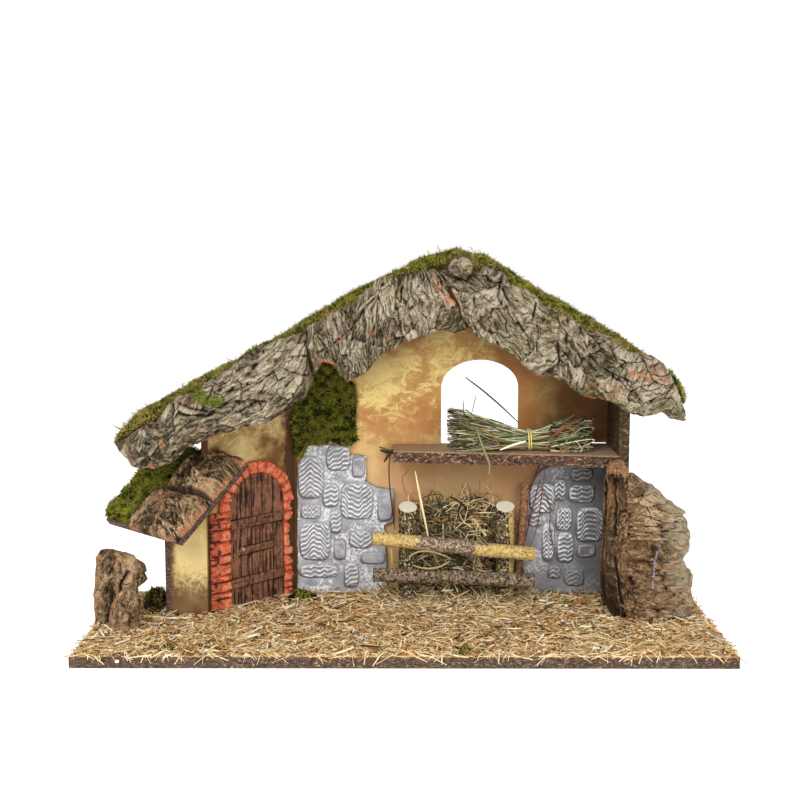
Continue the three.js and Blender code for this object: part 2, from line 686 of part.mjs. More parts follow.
// Bark strips along the front of the roof. Each station is [low place, low drop, top place, top drop]:
// places in percent of a slope from the ridge to its eave, drops below the roof's top edge in percent
// of the bark's reach.
const BARK_STRIPS = {
  bark_eave_left: [
    [-97.1, 12, -96.8, -0.4], [-94, 31.4, -94.3, -2.2], [-91, 38.7, -91.3, -1.8],
    [-87.6, 43.5, -87.6, -1.5], [-84.2, 45.4, -84.5, -8.2], [-81.2, 45.7, -81.8, -13.4],
  ],
  bark_fascia_left: [
    [-80.8, 44.3, -81.5, -13.3], [-78.7, 40, -79.3, -11.1], [-74.1, 42.9, -76, -8.3],
    [-69.8, 44.4, -72.6, -13.4], [-64, 48.5, -66.8, -13.3], [-57.9, 55.1, -61.9, -18.8],
    [-53.3, 56.1, -56.7, -17.8], [-49.6, 55.5, -52.1, -16.8], [-44.1, 53, -46.6, -12.2],
    [-41.7, 38.3, -44.1, -12],
  ],
  bark_fascia_centre: [
    [-41.3, 33.8, -43.5, -12.9], [-38.9, 26.1, -40.4, -12.6], [-35.5, 35.9, -37.4, -14.3],
    [-32.2, 57.8, -34.3, -15], [-28.8, 60.6, -30.6, -12.6], [-25.7, 56.9, -27, -19.2],
    [-22.1, 50.3, -23, -24.3], [-16.8, 51.4, -18.4, -19.3], [-11, 51.5, -13.8, -11.3],
    [-5.5, 56, -9.8, -8.4], [-0.6, 65.5, -6.4, -3.6], [4.8, 56.6, -4.9, 2.1],
  ],
  bark_fascia_right: [
    [5.8, 55.4, -4.5, 4.8], [8.7, 61.8, 3.8, 13.8], [13.5, 57.8, 12.5, -11], [18.3, 56.8, 19.2, -17.4],
    [26.4, 55.6, 23.6, -8.8], [29.8, 61.3, 29.8, -11.7], [34.1, 61.9, 35.6, -9.9],
    [38.5, 61.5, 40.4, -7.9], [43.8, 52.9, 45.7, -10.5],
  ],
  bark_eave_right: [
    [44.1, 52.8, 46.2, -10.5], [49.5, 50.7, 51.4, -10.7], [54.3, 54.7, 57.7, -9.5],
    [58.7, 55.3, 64.9, -14.5], [63.9, 50.7, 72.1, -15.5], [70.7, 45.3, 79.3, -13.5],
    [77.4, 44.9, 87.5, -20.8], [85.1, 40.2, 93.8, -21.6], [92.3, 28.2, 97.6, -13.4],
    [97.6, 26.6, 101, -0.6], [101.9, 21.2, 103.8, 12.8],
  ],
};

function onRoofEdge(percent, drop) {
  const run = percent < 0 ? RIDGE_X - LEFT_EAVE_X : RIGHT_EAVE_X - RIDGE_X;
  const x = RIDGE_X + (run * percent) / 100;
  return { x, z: roofTop(x) - (BARK_REACH * drop) / 100 };
}

// The lumps of a bark surface, from -1 to 1
function barkLump(x, y, z) {
  return Math.sin(0.19 * x + 0.23 * y + 1.9 * Math.sin(0.11 * z)) * Math.cos(0.24 * z + 1.1 * Math.sin(0.13 * x));
}

function barkStrip(stations) {
  const last = stations.length - 1;
  const at = (u, v) => {
    const k = Math.min(Math.floor(u * last), last - 1);
    const share = u * last - k;
    const mix = (n) => stations[k][n] * (1 - share) + stations[k + 1][n] * share;
    const low = onRoofEdge(mix(0), mix(1));
    const top = onRoofEdge(mix(2), mix(3));
    return { x: low.x * (1 - v) + top.x * v, z: low.z * (1 - v) + top.z * v };
  };
  const front = (u, v) => {
    const { x, z } = at(u, v);
    const swell = BARK_BULGE * Math.sin(Math.PI * Math.min(1, v * 0.86 + 0.1)) ** 0.6;
    const y = BARK_BACK_Y - BARK_EDGE - swell * (0.84 + 0.16 * barkLump(x, 0, z));
    return new THREE.Vector3(x, y, z);
  };
  const back = (u, v) => {
    const { x, z } = at(u, v);
    return new THREE.Vector3(x, BARK_BACK_Y, z);
  };
  return slab(3 * last, 7, front, back);
}

function addRoofBark() {
  for (const [name, stations] of Object.entries(BARK_STRIPS)) {
    place(name, barkStrip(stations), FINISHES.corkBark);
  }
  const sides = 10;
  const knobRing = (y, share) => {
    const points = [];
    for (let k = 0; k < sides; k += 1) {
      const angle = (2 * Math.PI * k) / sides;
      points.push(new THREE.Vector3(
        RIDGE_X + 2 + RIDGE_KNOB_RADIUS * (share * Math.cos(angle) + 0.14 * Math.sin(2 * angle)),
        y,
        RIDGE_TOP + RIDGE_KNOB_RADIUS * (share * Math.sin(angle) - 0.5),
      ));
    }
    return points;
  };
  const knob = skin([
    knobRing(BARK_BACK_Y, 0.8),
    knobRing(BARK_BACK_Y - 0.35 * RIDGE_KNOB_LENGTH, 1),
    knobRing(BARK_BACK_Y - 0.77 * RIDGE_KNOB_LENGTH, 0.9),
    knobRing(BARK_BACK_Y - RIDGE_KNOB_LENGTH, 0.5),
  ]);
  const roundStrips = ['bark_fascia_centre', 'bark_fascia_right'].flatMap((name) => {
    const grown = BARK_STRIPS[name].map(([low, lowDrop, top, topDrop]) => [low, lowDrop, top, topDrop - GAP]);
    return [[-GAP, -GAP], [-GAP, GAP], [GAP, -GAP], [GAP, GAP]]
      .map(([dx, dy]) => barkStrip(grown).translate(dx, dy, 0));
  });
  place('bark_ridge_knob', cut(knob, ...roundStrips), FINISHES.corkBark);
}

// Moss cushions on the roof boards: [share of the slope from the ridge, thickness over the board]
const MOSS_LEFT = [[0, 9.5], [0.12, 21], [0.29, 23], [0.52, 18], [0.96, 17], [1, 9]];
const MOSS_RIGHT = [[0, 9.5], [0.13, 21], [0.26, 22], [0.84, 22], [0.94, 20], [1, 10]];

function mossCushion(ridgeX, eaveX, thickness) {
  const lift = (x, u, v) => {
    const brow = Math.sin(Math.PI * (0.08 + 0.84 * v)) ** 0.25;
    return between(thickness, u) * brow + 0.8 * ripple(0.09 * x, 9 * v);
  };
  const at = (u, v, raised) => {
    const x = ridgeX + (eaveX - ridgeX) * u;
    const y = ROOF_FRONT_Y + GAP + (ROOF_DEPTH - GAP) * v;
    return new THREE.Vector3(x, y, roofTop(x) + GAP + (raised ? lift(x, u, v) : 0));
  };
  return slab(18, 6, (u, v) => at(u, v, true), (u, v) => at(u, v, false));
}

function dome(x, y, z, halfX, halfY, height) {
  const sides = 12;
  const ring = (share, lift) => {
    const points = [];
    for (let k = 0; k < sides; k += 1) {
      const angle = (2 * Math.PI * k) / sides;
      const swell = share * (1 + 0.08 * Math.sin(3 * angle));
      points.push(new THREE.Vector3(x + halfX * swell * Math.cos(angle),
        y + halfY * swell * Math.sin(angle), z + lift));
    }
    return points;
  };
  return skin([ring(1, 0), ring(0.93, 0.45 * height), ring(0.7, 0.82 * height), ring(0.3, height)]);
}

function addMoss() {
  place('moss_roof_left', mossCushion(RIDGE_X - GAP, LEFT_EAVE_X, MOSS_LEFT), FINISHES.moss);
  place('moss_roof_right', mossCushion(RIDGE_X + GAP, RIGHT_EAVE_X, MOSS_RIGHT), FINISHES.moss);

  const patchFrontY = BACK_WALL_FRONT_Y - MOSS_PATCH_THICKNESS;
  const corner = stand(outline(MOSS_CORNER_OUTLINE), patchFrontY, BACK_WALL_FRONT_Y)
    .translate(DOOR_WALL_END_X, 0, RELIEF_FOOT);
  place('moss_corner', keepInside(corner, underRoofSpace()), FINISHES.moss);

  const wallY = BACK_WALL_FRONT_Y;
  const mounds = [
    ['moss_mound', ANNEX_LEFT_X - 14.5, ANNEX_PANEL_FRONT_Y + 23, 12, 14, 24],
    ['moss_tuft_door', DOOR_WALL_END_X + 10, wallY - 28, 14, 8, 10],
    ['moss_tuft_front', RIDGE_X + 4, 7 - BACK_Y, 8, 5, 6],
    ['moss_tuft_right', SIDE_WALL_INNER_X - 45, wallY - 49, 6, 5, 4.5],
    ['moss_tuft_left', ANNEX_LEFT_X + 18.5, 15 - BACK_Y, 6, 5, 4],
  ];
  for (const [name, x, y, halfX, halfY, height] of mounds) {
    place(name, dome(x, y, GROUND_TOP, halfX, halfY, height), FINISHES.moss);
  }
}

// Bark and moss on the lean-to, in the lean-to's own frame
function leanSlab(x0, x1, y0, y1, lift) {
  const base = LEAN_THICKNESS + GAP;
  const at = (u, v) => [x0 + (x1 - x0) * u, y0 + (y1 - y0) * v];
  const front = (u, v) => {
    const [x, y] = at(u, v);
    return new THREE.Vector3(x, y, base + lift(u, v) * (0.9 + 0.1 * ripple(0.15 * x, 0.12 * y)));
  };
  const back = (u, v) => {
    const [x, y] = at(u, v);
    return new THREE.Vector3(x, y, base);
  };
  return onLeanTo(slab(8, 8, front, back));
}

function addLeanToCover() {
  const arc = (share) => Math.sin(Math.PI * (0.13 + 0.74 * share));
  const crown = (u, v) => Math.sqrt(arc(u) * arc(v));
  const split = LEAN_BARK_SPLIT;
  const front = -2;
  const lower = leanSlab(-3, split, front, LEAN_BARK_LOWER_DEPTH,
    (u, v) => LEAN_BARK_LOWER_LIFT * crown(u, v));
  place('annex_bark_lower', keepInside(cut(lower, doorWallHole()), underRoofSpace()), FINISHES.corkBark);

  const upper = leanSlab(split + GAP, LEAN_RUN - 1, front, LEAN_BARK_UPPER_DEPTH,
    (u, v) => LEAN_BARK_UPPER_LIFT * (1 - 0.4 * v) * crown(Math.min(1, 1.1 * u), v));
  place('annex_bark_upper', keepInside(cut(upper, doorWallHole()), underRoofSpace()), FINISHES.corkBark);

  const lift = (u, v) => LEAN_MOSS_LIFT * crown(u, v);
  const lowMoss = leanSlab(0, split + 2, LEAN_BARK_LOWER_DEPTH + GAP, LEAN_DEPTH, lift);
  const highMoss = leanSlab(split + 1, LEAN_RUN, LEAN_BARK_LOWER_DEPTH + GAP, LEAN_DEPTH - 1, lift);
  const stepMoss = leanSlab(split + 1, LEAN_RUN, LEAN_BARK_UPPER_DEPTH + GAP, LEAN_BARK_LOWER_DEPTH + 4, lift);
  const moss = cut(join(lowMoss, highMoss, stepMoss), behindBase());
  place('moss_annex', keepInside(moss, underRoofSpace()), FINISHES.moss);
}

// How deep the lumps of an upright cork piece go
const LUMP_DEPTH = 5;

// Upright cork pieces. Each stands from a corner point x, y. Its front is lumpy, and its right side
// too where that is free. Its levels are
// [height over the straw, x left, x right, y front, y back] measured from that point.
const LINING_HEIGHT = SHELF_UNDERSIDE - GAP - GROUND_TOP;
const CORK_PIECES = {
  column_bark_lining: {
    x: SIDE_WALL_INNER_X - GAP,
    y: SIDE_WALL_FRONT_Y,
    levels: [[0, -9.7, 0, 1, 36], [0.26, -12.7, 0, 0, 34], [0.6, -10.7, 0, 1, 30], [0.88, -11.7, 0, 1, 24],
      [1, -8.7, 0, 3, 18]].map(([share, ...rest]) => [share * LINING_HEIGHT, ...rest]),
  },
  column_bark_front: {
    x: SIDE_WALL_OUTER_X,
    y: SIDE_WALL_FRONT_Y - GAP,
    levels: [[0, -18, 0, -28.7, 0], [28, -23, 0, -30.7, 0], [63, -25, -1, -28.7, 0], [93, -22, 0, -27.7, 0],
      [128, -22, -1, -25.7, 0], [146, -24, -1, -22.7, 0], [154, -21, -7, -17.7, -3.7]],
  },
  column_bark_outer: {
    rightIsFree: true,
    x: SIDE_WALL_OUTER_X + GAP,
    y: SIDE_WALL_FRONT_Y,
    levels: [[0, 0.2, 68.4, -34, 20], [17, 0, 65.4, -38, 20], [30, 0.4, 61.4, -39, 18],
      [46, 0.4, 61.4, -38, 18], [56, 0.4, 55.4, -35, 16], [68, 0.4, 59.4, -38, 14],
      [83, 0.4, 61.4, -36, 12], [94, 0.4, 58.4, -34, 10],
      [106, 0.4, 52.4, -31, 6], [115, 0.4, 40.4, -30, 4], [125, 0.4, 27.4, -28, 2], [136, 0.4, 15.4, -25, 0],
      [141, 0.4, 9.4, -21, -4]],
  },
  stump_tall: {
    rightIsFree: true,
    x: BASE_LEFT_X + 1,
    y: ANNEX_PANEL_FRONT_Y,
    levels: [[0, 0, 37, -38, -6], [18, 0, 41, -37, -5], [33, 0, 44, -37, -6], [44, 1, 52, -37, -7],
      [51, 2, 54, -36, -9], [59, 3, 52, -36, -12], [67, 4, 44, -35, -15], [73, 7, 22, -32, -20]],
  },
  stump_chunk: {
    rightIsFree: true,
    x: BASE_LEFT_X + 20,
    y: ANNEX_PANEL_FRONT_Y - 38.8,
    levels: [[0, 1, 32, -19.2, -0.2], [12, 0, 33, -19.2, 0], [26, 3, 34, -17.2, 0], [36, 8, 31, -14.2, -0.2],
      [40, 14, 26, -11.2, -2.2]],
  },
};

function corkPiece({ x, y, levels, rightIsFree = false }) {
  const sides = 28;
  const height = levels[levels.length - 1][0];
  const rings = Math.ceil(height / 5);
  const square = (value) => Math.sign(value) * Math.abs(value) ** 0.7;
  const columns = [1, 2, 3, 4].map((column) => levels.map((level) => [level[0], level[column]]));
  const ringAt = (z) => {
    const [x0, x1, y0, y1] = columns.map((table) => between(table, z));
    const points = [];
    for (let k = 0; k < sides; k += 1) {
      const angle = (2 * Math.PI * k) / sides;
      const across = 0.5 * (x1 - x0) * square(Math.cos(angle));
      const deep = 0.5 * (y1 - y0) * square(Math.sin(angle));
      const px = (x0 + x1) / 2 + across;
      const py = (y0 + y1) / 2 + deep;
      const sideways = rightIsFree ? Math.cos(angle) - 0.3 : 0;
      const facing = Math.min(1, Math.max(0, 1.6 * Math.max(-Math.sin(angle), sideways)));
      const reach = Math.hypot(across, deep);
      const dent = facing * LUMP_DEPTH * (0.5 - 0.5 * barkLump(x + px, y + py, z));
      const share = 1 - Math.min(dent, 0.4 * reach) / reach;
      points.push(new THREE.Vector3((x0 + x1) / 2 + across * share, (y0 + y1) / 2 + deep * share, z));
    }
    return points;
  };
  const piece = skin(Array.from({ length: rings + 1 }, (_, k) => ringAt((height * k) / rings)));
  return piece.translate(x, y, GROUND_TOP);
}

function addCork() {
  for (const [name, piece] of Object.entries(CORK_PIECES)) {
    place(name, corkPiece(piece), FINISHES.columnBark);
  }
}

// A round limb between two points; radii are spread evenly from start to end
function limb(start, end, radii, sides = 12) {
  const axis = end.clone().sub(start);
  const side = new THREE.Vector3(0, 1, 0).cross(axis).normalize();
  const depth = axis.clone().cross(side).normalize();
  return skin(radii.map((radius, r) => {
    const centre = start.clone().addScaledVector(axis, r / (radii.length - 1));
    const points = [];
    for (let k = 0; k < sides; k += 1) {
      const angle = (2 * Math.PI * k) / sides;
      points.push(centre.clone()
        .addScaledVector(side, radius * Math.cos(angle))
        .addScaledVector(depth, radius * Math.sin(angle)));
    }
    return points;
  }));
}

function post(x) {
  const levels = [0, 0.25, 0.5, 0.75, 1];
  return skin(levels.map((share) => {
    const points = [];
    for (let k = 0; k < 12; k += 1) {
      const angle = (2 * Math.PI * k) / 12;
      const y = POST_RADIUS * Math.sin(angle);
      const slant = share === 1 ? POST_CUT_TILT * y : 0;
      points.push(new THREE.Vector3(x + POST_RADIUS * Math.cos(angle), POST_Y + y,
        GROUND_TOP + POST_HEIGHT * share + slant));
    }
    return points;
  }));
}

function railBetween(heights, y, radius, shares) {
  const start = new THREE.Vector3(POST_LEFT_X - RAIL_LEFT_REACH, y, GROUND_TOP + heights[0]);
  const end = new THREE.Vector3(POST_RIGHT_X + RAIL_RIGHT_REACH, y, GROUND_TOP + heights[1]);
  return limb(start, end, shares.map((share) => share * radius));
}

function addRack() {
  place('rack_post_left', post(POST_LEFT_X), FINISHES.limbBark);
  place('rack_post_right', post(POST_RIGHT_X), FINISHES.limbBark);

  const upper = railBetween(UPPER_RAIL_HEIGHTS, RAIL_BACK_Y - UPPER_RAIL_RADIUS, UPPER_RAIL_RADIUS,
    [0.97, 1, 0.98, 1, 0.96, 1, 0.99]);
  place('rack_rail_upper', upper, FINISHES.lichenBark);

  const lower = railBetween(LOWER_RAIL_HEIGHTS, RAIL_BACK_Y - LOWER_RAIL_RADIUS, LOWER_RAIL_RADIUS,
    [1, 0.97, 1, 0.96, 1, 0.98, 0.94]);
  place('rack_rail_lower', lower, FINISHES.limbBark);

  const leanY = STONE_FRONT_Y - GAP - STICK_RADIUS;
  const stick = limb(
    new THREE.Vector3(POST_RIGHT_X + STICK_FOOT_OFFSET, leanY - STICK_LEAN, GROUND_TOP),
    new THREE.Vector3(POST_RIGHT_X + STICK_TOP_OFFSET, leanY, GROUND_TOP + STICK_HEIGHT),
    [1, 1, 0.97, 1].map((share) => share * STICK_RADIUS),
    10,
  );
  const reach = BASE_LENGTH;
  const ground = box(-reach, reach, -reach, reach, -BASE_THICKNESS, GROUND_TOP);
  place('rack_end_stick', cut(stick, ground), FINISHES.limbBark);
}

// The hay heap stands behind the rails, swelling forward between the two posts.
// Its levels are [share of the height, share of the width].
const HAY_LEVELS = [
  [0, 1], [0.11, 1.02], [0.27, 1], [0.45, 0.97], [0.62, 0.9], [0.77, 0.78], [0.89, 0.56], [1, 0.3],
];

function addRackHay() {
  const backY = BACK_WALL_FRONT_Y - 1 - GAP;
  const shoulderY = POST_Y + POST_RADIUS + 1.5;
  const halfDepth = (backY - shoulderY) / 2;
  const sides = 24;
  place('rack_hay', skin(HAY_LEVELS.map(([lift, share]) => {
    const points = [];
    for (let k = 0; k < sides; k += 1) {
      const angle = (2 * Math.PI * k) / sides;
      const x = HAY_HALF_WIDTH * share * Math.cos(angle);
      const between = Math.exp(-((x / (0.5 * HAY_HALF_WIDTH)) ** 4));
      const swell = Math.sin(angle) < 0 ? HAY_SWELL * share * between : 0;
      const y = (backY + shoulderY) / 2 + halfDepth * Math.sin(angle) * (0.5 + 0.5 * share) - swell;
      points.push(new THREE.Vector3(HAY_MIDDLE_X + x, y, GROUND_TOP + HAY_HEIGHT * lift));
    }
    return points;
  })), FINISHES.hay);
}

// The bundle lies along X on the shelf; stations are [x from its waist, half depth, half height]
const WAIST_HALF_LENGTH = (TIE_PITCH * TIE_TURNS) / 2 + TIE_DIAMETER;
const BUNDLE_STATIONS = [
  [-76, 12, 17], [-68, 15, 19.5], [-50, 14.5, 17.5], [-28, 12.5, 13.5],
  [-WAIST_HALF_LENGTH - 7, BUNDLE_WAIST_RADIUS + 0.3, BUNDLE_WAIST_RADIUS + 0.3],
  [-WAIST_HALF_LENGTH, BUNDLE_WAIST_RADIUS, BUNDLE_WAIST_RADIUS],
  [WAIST_HALF_LENGTH, BUNDLE_WAIST_RADIUS, BUNDLE_WAIST_RADIUS],
  [WAIST_HALF_LENGTH + 7, BUNDLE_WAIST_RADIUS + 0.3, BUNDLE_WAIST_RADIUS + 0.3],
  [26, 13, 13.5], [44, 15, 16.5], [55, 13, 14], [61, 8, 8],
];

function bundleCentreZ() {
  return SHELF_TOP + GAP + TIE_DIAMETER + GAP + BUNDLE_WAIST_RADIUS;
}

function addBundle() {
  const sides = 14;
  place('hay_bundle', skin(BUNDLE_STATIONS.map(([x, halfY, halfZ]) => {
    const centreZ = Math.max(bundleCentreZ(), SHELF_TOP + GAP + halfZ);
    const points = [];
    for (let k = 0; k < sides; k += 1) {
      const angle = (2 * Math.PI * k) / sides;
      points.push(new THREE.Vector3(
        BUNDLE_WAIST_X + x,
        BUNDLE_Y + halfY * Math.cos(angle),
        centreZ + halfZ * Math.sin(angle),
      ));
    }
    return points;
  })), FINISHES.hay);
}

// The tie winds round the bundle's waist as one open tube with short straight ends
function tiePath() {
  const steps = 24;
  const radius = BUNDLE_WAIST_RADIUS + GAP + TIE_DIAMETER / 2;
  const startX = BUNDLE_WAIST_X - (TIE_PITCH * TIE_TURNS) / 2;
  const points = [];
  for (let k = 0; k <= steps * TIE_TURNS; k += 1) {
    const angle = Math.PI / 2 + (2 * Math.PI * k) / steps;
    points.push(new THREE.Vector3(
      startX + (TIE_PITCH * k) / steps,
      BUNDLE_Y + radius * Math.cos(angle),
      bundleCentreZ() + radius * Math.sin(angle),
    ));
  }
  const straight = (from, to) => to.clone().add(to.clone().sub(from).setLength(TIE_DIAMETER));
  points.unshift(straight(points[1], points[0]));
  points.push(straight(points.at(-2), points.at(-1)));
  return points;
}

function leastGapToItself(points, diameter) {
  let least = Infinity;
  for (let a = 0; a < points.length; a += 1) {
    for (let b = a + 12; b < points.length; b += 1) {
      least = Math.min(least, points[a].distanceTo(points[b]));
    }
  }
  return least - diameter;
}

function addTie() {
  const path = tiePath();
  const sides = 6;
  const rings = path.map((centre, k) => {
    const before = path[Math.max(k - 1, 0)];
    const after = path[Math.min(k + 1, path.length - 1)];
    const along = after.clone().sub(before).normalize();
    const out = new THREE.Vector3(0, centre.y - BUNDLE_Y, centre.z - bundleCentreZ());
    out.addScaledVector(along, -out.dot(along)).normalize();
    const across = along.clone().cross(out);
    const points = [];
    for (let n = 0; n < sides; n += 1) {
      const angle = (2 * Math.PI * n) / sides;
      points.push(centre.clone()
        .addScaledVector(out, 0.5 * TIE_DIAMETER * Math.cos(angle))
        .addScaledVector(across, 0.5 * TIE_DIAMETER * Math.sin(angle)));
    }
    return points;
  });
  console.log(`tie: least gap to itself ${leastGapToItself(path, TIE_DIAMETER).toFixed(2)} mm`);
  place('bundle_tie', skin(rings), FINISHES.tie);
}

addBase();
addBackWall();
addStandingWalls();
addShelf();
addRoofBoards();
addDoor();
addStoneReliefs();
addRoofBark();
addMoss();
addLeanToCover();
addCork();
addRack();
addRackHay();
addBundle();
addTie();

export default model;
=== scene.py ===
"""Looks of a nativity stable: boards, cork bark, moss, cast reliefs, hay rack, loft bundle and straw.

Lengths inside the classes are millimetres in the part's own frame: +X to the right of the open
front, +Y to the back wall, +Z up. Meshes are written in metres.
"""
from __future__ import annotations

import logging
import math
from dataclasses import dataclass, field
from enum import Enum

import bpy
import numpy as np
from mathutils import Matrix, Vector


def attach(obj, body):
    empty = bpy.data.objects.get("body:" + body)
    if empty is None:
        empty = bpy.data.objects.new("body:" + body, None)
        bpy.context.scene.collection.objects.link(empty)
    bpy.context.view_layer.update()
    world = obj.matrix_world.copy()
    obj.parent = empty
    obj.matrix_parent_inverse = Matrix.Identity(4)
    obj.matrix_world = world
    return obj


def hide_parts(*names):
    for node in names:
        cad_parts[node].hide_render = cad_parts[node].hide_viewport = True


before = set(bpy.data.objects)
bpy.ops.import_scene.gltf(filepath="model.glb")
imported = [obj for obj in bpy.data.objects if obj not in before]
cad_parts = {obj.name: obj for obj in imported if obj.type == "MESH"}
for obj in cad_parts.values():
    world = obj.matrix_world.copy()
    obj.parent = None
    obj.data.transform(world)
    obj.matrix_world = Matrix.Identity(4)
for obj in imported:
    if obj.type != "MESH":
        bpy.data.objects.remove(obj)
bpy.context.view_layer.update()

LOG = logging.getLogger("stable")
MM = 0.001
Array = np.ndarray
Pairs = tuple[tuple[float, float], ...]
Triple = tuple[float, float, float]
Spacing = float | Triple


# Noise and small maths on arrays


def spots(x: Array | float, y: Array | float, z: Array | float) -> Array:
    """Places from their three coordinates, each spread over the others' grid."""
    return np.stack(np.broadcast_arrays(x, y, z), -1)


def crossed(down: Array, across: Array) -> tuple[Array, Array]:
    """Two rows of values as the two coordinates of a grid."""
    return np.meshgrid(down, across, indexing="ij")


def full_turn(count: int) -> Array:
    """Angles once round, in one row."""
    return np.linspace(0, 2 * math.pi, count, endpoint=False)[None, :]


@dataclass(frozen=True)
class Grain:
    """Repeatable noise, worked out on whole arrays of points.

    Args:
        seed: picks one pattern.
    """

    seed: int

    def lot(self, i: Array, j: Array, k: Array) -> Array:
        """One fixed random share for each whole-numbered place.

        Args:
            i: first whole number.
            j: second whole number.
            k: third whole number.

        Returns:
            Shares from 0 to 1.
        """
        mixed = (i * 374761393 + j * 668265263 + k * 2147483647 + self.seed * 974711) & 0xFFFFFFFF
        mixed = ((mixed ^ (mixed >> 13)) * 1274126177) & 0xFFFFFFFF
        return ((mixed ^ (mixed >> 16)) & 0xFFFFFF) / float(0xFFFFFF)

    def smooth(self, points: Array, size: Spacing) -> Array:
        """Smooth noise.

        Args:
            points: places, with x, y, z last.
            size: the spacing of the pattern, one for all or one for each axis.

        Returns:
            Values from 0 to 1.
        """
        scaled = points / np.asarray(size, dtype=float)
        cell = np.floor(scaled).astype(np.int64)
        share = scaled - cell
        share = share * share * (3 - 2 * share)
        total = np.zeros(points.shape[:-1])
        for dx in (0, 1):
            for dy in (0, 1):
                for dz in (0, 1):
                    weight = np.abs(1 - dx - share[..., 0]) * np.abs(1 - dy - share[..., 1])
                    weight = weight * np.abs(1 - dz - share[..., 2])
                    total += weight * self.lot(cell[..., 0] + dx, cell[..., 1] + dy, cell[..., 2] + dz)
        return total

    def layered(self, points: Array, size: Spacing, octaves: int = 4) -> Array:
        """Noise in several sizes, each half the last.

        Args:
            points: places, with x, y, z last.
            size: the spacing of the coarsest pattern.
            octaves: how many sizes.

        Returns:
            Values from 0 to 1, mostly near 0.5.
        """
        total, weight, sum_of_weights = 0.0, 1.0, 0.0
        spacing = np.asarray(size, dtype=float)
        for octave in range(octaves):
            total = total + weight * self.smooth(points + 17.3 * octave, spacing)
            sum_of_weights += weight
            weight *= 0.5
            spacing = spacing / 2
        return total / sum_of_weights

    def swing(self, points: Array, size: Spacing, octaves: int = 4) -> Array:
        """Noise in several sizes around 0, from -0.5 to 0.5."""
        return self.layered(points, size, octaves) - 0.5

    def ridged(self, points: Array, size: Spacing, octaves: int = 3) -> Array:
        """Noise with sharp crests: 1 on a crest, 0 far from it."""
        return 1 - np.abs(2 * self.layered(points, size, octaves) - 1)

    def plates(self, u: Array, v: Array, size_u: float, size_v: float) -> tuple[Array, Array]:
        """Irregular plates parted by borders.

        Args:
            u: first coordinate.
            v: second coordinate.
            size_u: plate size along u.
            size_v: plate size along v.

        Returns:
            How far each place is from its plate's border, and each plate's own share.
        """
        a, b = u / size_u, v / size_v
        cell_a, cell_b = np.floor(a).astype(np.int64), np.floor(b).astype(np.int64)
        nearest, second, own = np.full(a.shape, 9.0), np.full(a.shape, 9.0), np.zeros(a.shape)
        for di in (-1, 0, 1):
            for dj in (-1, 0, 1):
                i, j = cell_a + di, cell_b + dj
                away = np.hypot(a - i - self.lot(i, j, i * 0 + 1), b - j - self.lot(i, j, i * 0 + 2))
                closer = away < nearest
                second = np.where(closer, nearest, np.minimum(second, away))
                own = np.where(closer, self.lot(i, j, i * 0 + 3), own)
                nearest = np.where(closer, away, nearest)
        return second - nearest, own


def ease(value: Array, low: float, high: float) -> Array:
    """A smooth step from 0 at low to 1 at high."""
    share = np.clip((value - low) / (high - low), 0, 1)
    return share * share * (3 - 2 * share)


def inside(x: Array, z: Array, corners: Pairs) -> Array:
    """Tells which places lie inside a closed outline.

    Args:
        x: first coordinate.
        z: second coordinate.
        corners: the outline's corners in order.

    Returns:
        True or False for each place.
    """
    held = np.zeros(x.shape, dtype=bool)
    for (x0, z0), (x1, z1) in zip(corners, corners[1:] + corners[:1]):
        if z0 == z1:
            continue
        spans = (z0 > z) != (z1 > z)
        held ^= spans & (x < (x1 - x0) * (z - z0) / (z1 - z0) + x0)
    return held


def distance_to_line(x: Array, z: Array, line: Pairs) -> Array:
    """How far each place is from an open line of points."""
    best = np.full(x.shape, 1e9)
    for (x0, z0), (x1, z1) in zip(line, line[1:]):
        dx, dz = x1 - x0, z1 - z0
        share = np.clip(((x - x0) * dx + (z - z0) * dz) / (dx * dx + dz * dz), 0, 1)
        best = np.minimum(best, np.hypot(x - x0 - share * dx, z - z0 - share * dz))
    return best


def blurred(values: Array, reach: int, wrap: bool = False) -> Array:
    """Each value averaged with those around it on the grid.

    Args:
        values: a grid.
        reach: how many steps to each side.
        wrap: whether each row closes on itself.

    Returns:
        The averaged grid.
    """
    width = 2 * reach + 1
    for axis in (0, 1):
        pad = [(0, 0), (0, 0)]
        pad[axis] = (reach + 1, reach)
        mode = "wrap" if wrap and axis == 1 else "edge"
        total = np.cumsum(np.pad(values, pad, mode=mode), axis=axis)
        count = total.shape[axis]
        far, near = np.take(total, range(width, count), axis), np.take(total, range(count - width), axis)
        values = (far - near) / width
    return values


def hollows(height: Array, reach: int = 4, wrap: bool = False) -> dict[str, Array]:
    """Tells the hollows and the ribs of a relief, for painted shade in the hollows and a painted highlight on
    the ribs.

    Args:
        height: the relief's grid.
        reach: how far around each place counts.
        wrap: whether each row closes on itself.

    Returns:
        The layers deep, painted shade in the hollows, and rib, a painted highlight on the ribs, from 0 to 1.
    """
    rise = height - blurred(height, reach, wrap)
    fine = height - blurred(height, 1, wrap)
    # deep is painted shade in the hollows, rib a painted highlight on the ribs
    deep = np.maximum(ease(-rise, 0.35, 2.0), 0.8 * ease(-fine, 0.12, 0.6))
    return {"deep": deep, "rib": np.maximum(ease(rise, 0.3, 1.7), 0.7 * ease(fine, 0.12, 0.6))}


# Meshes


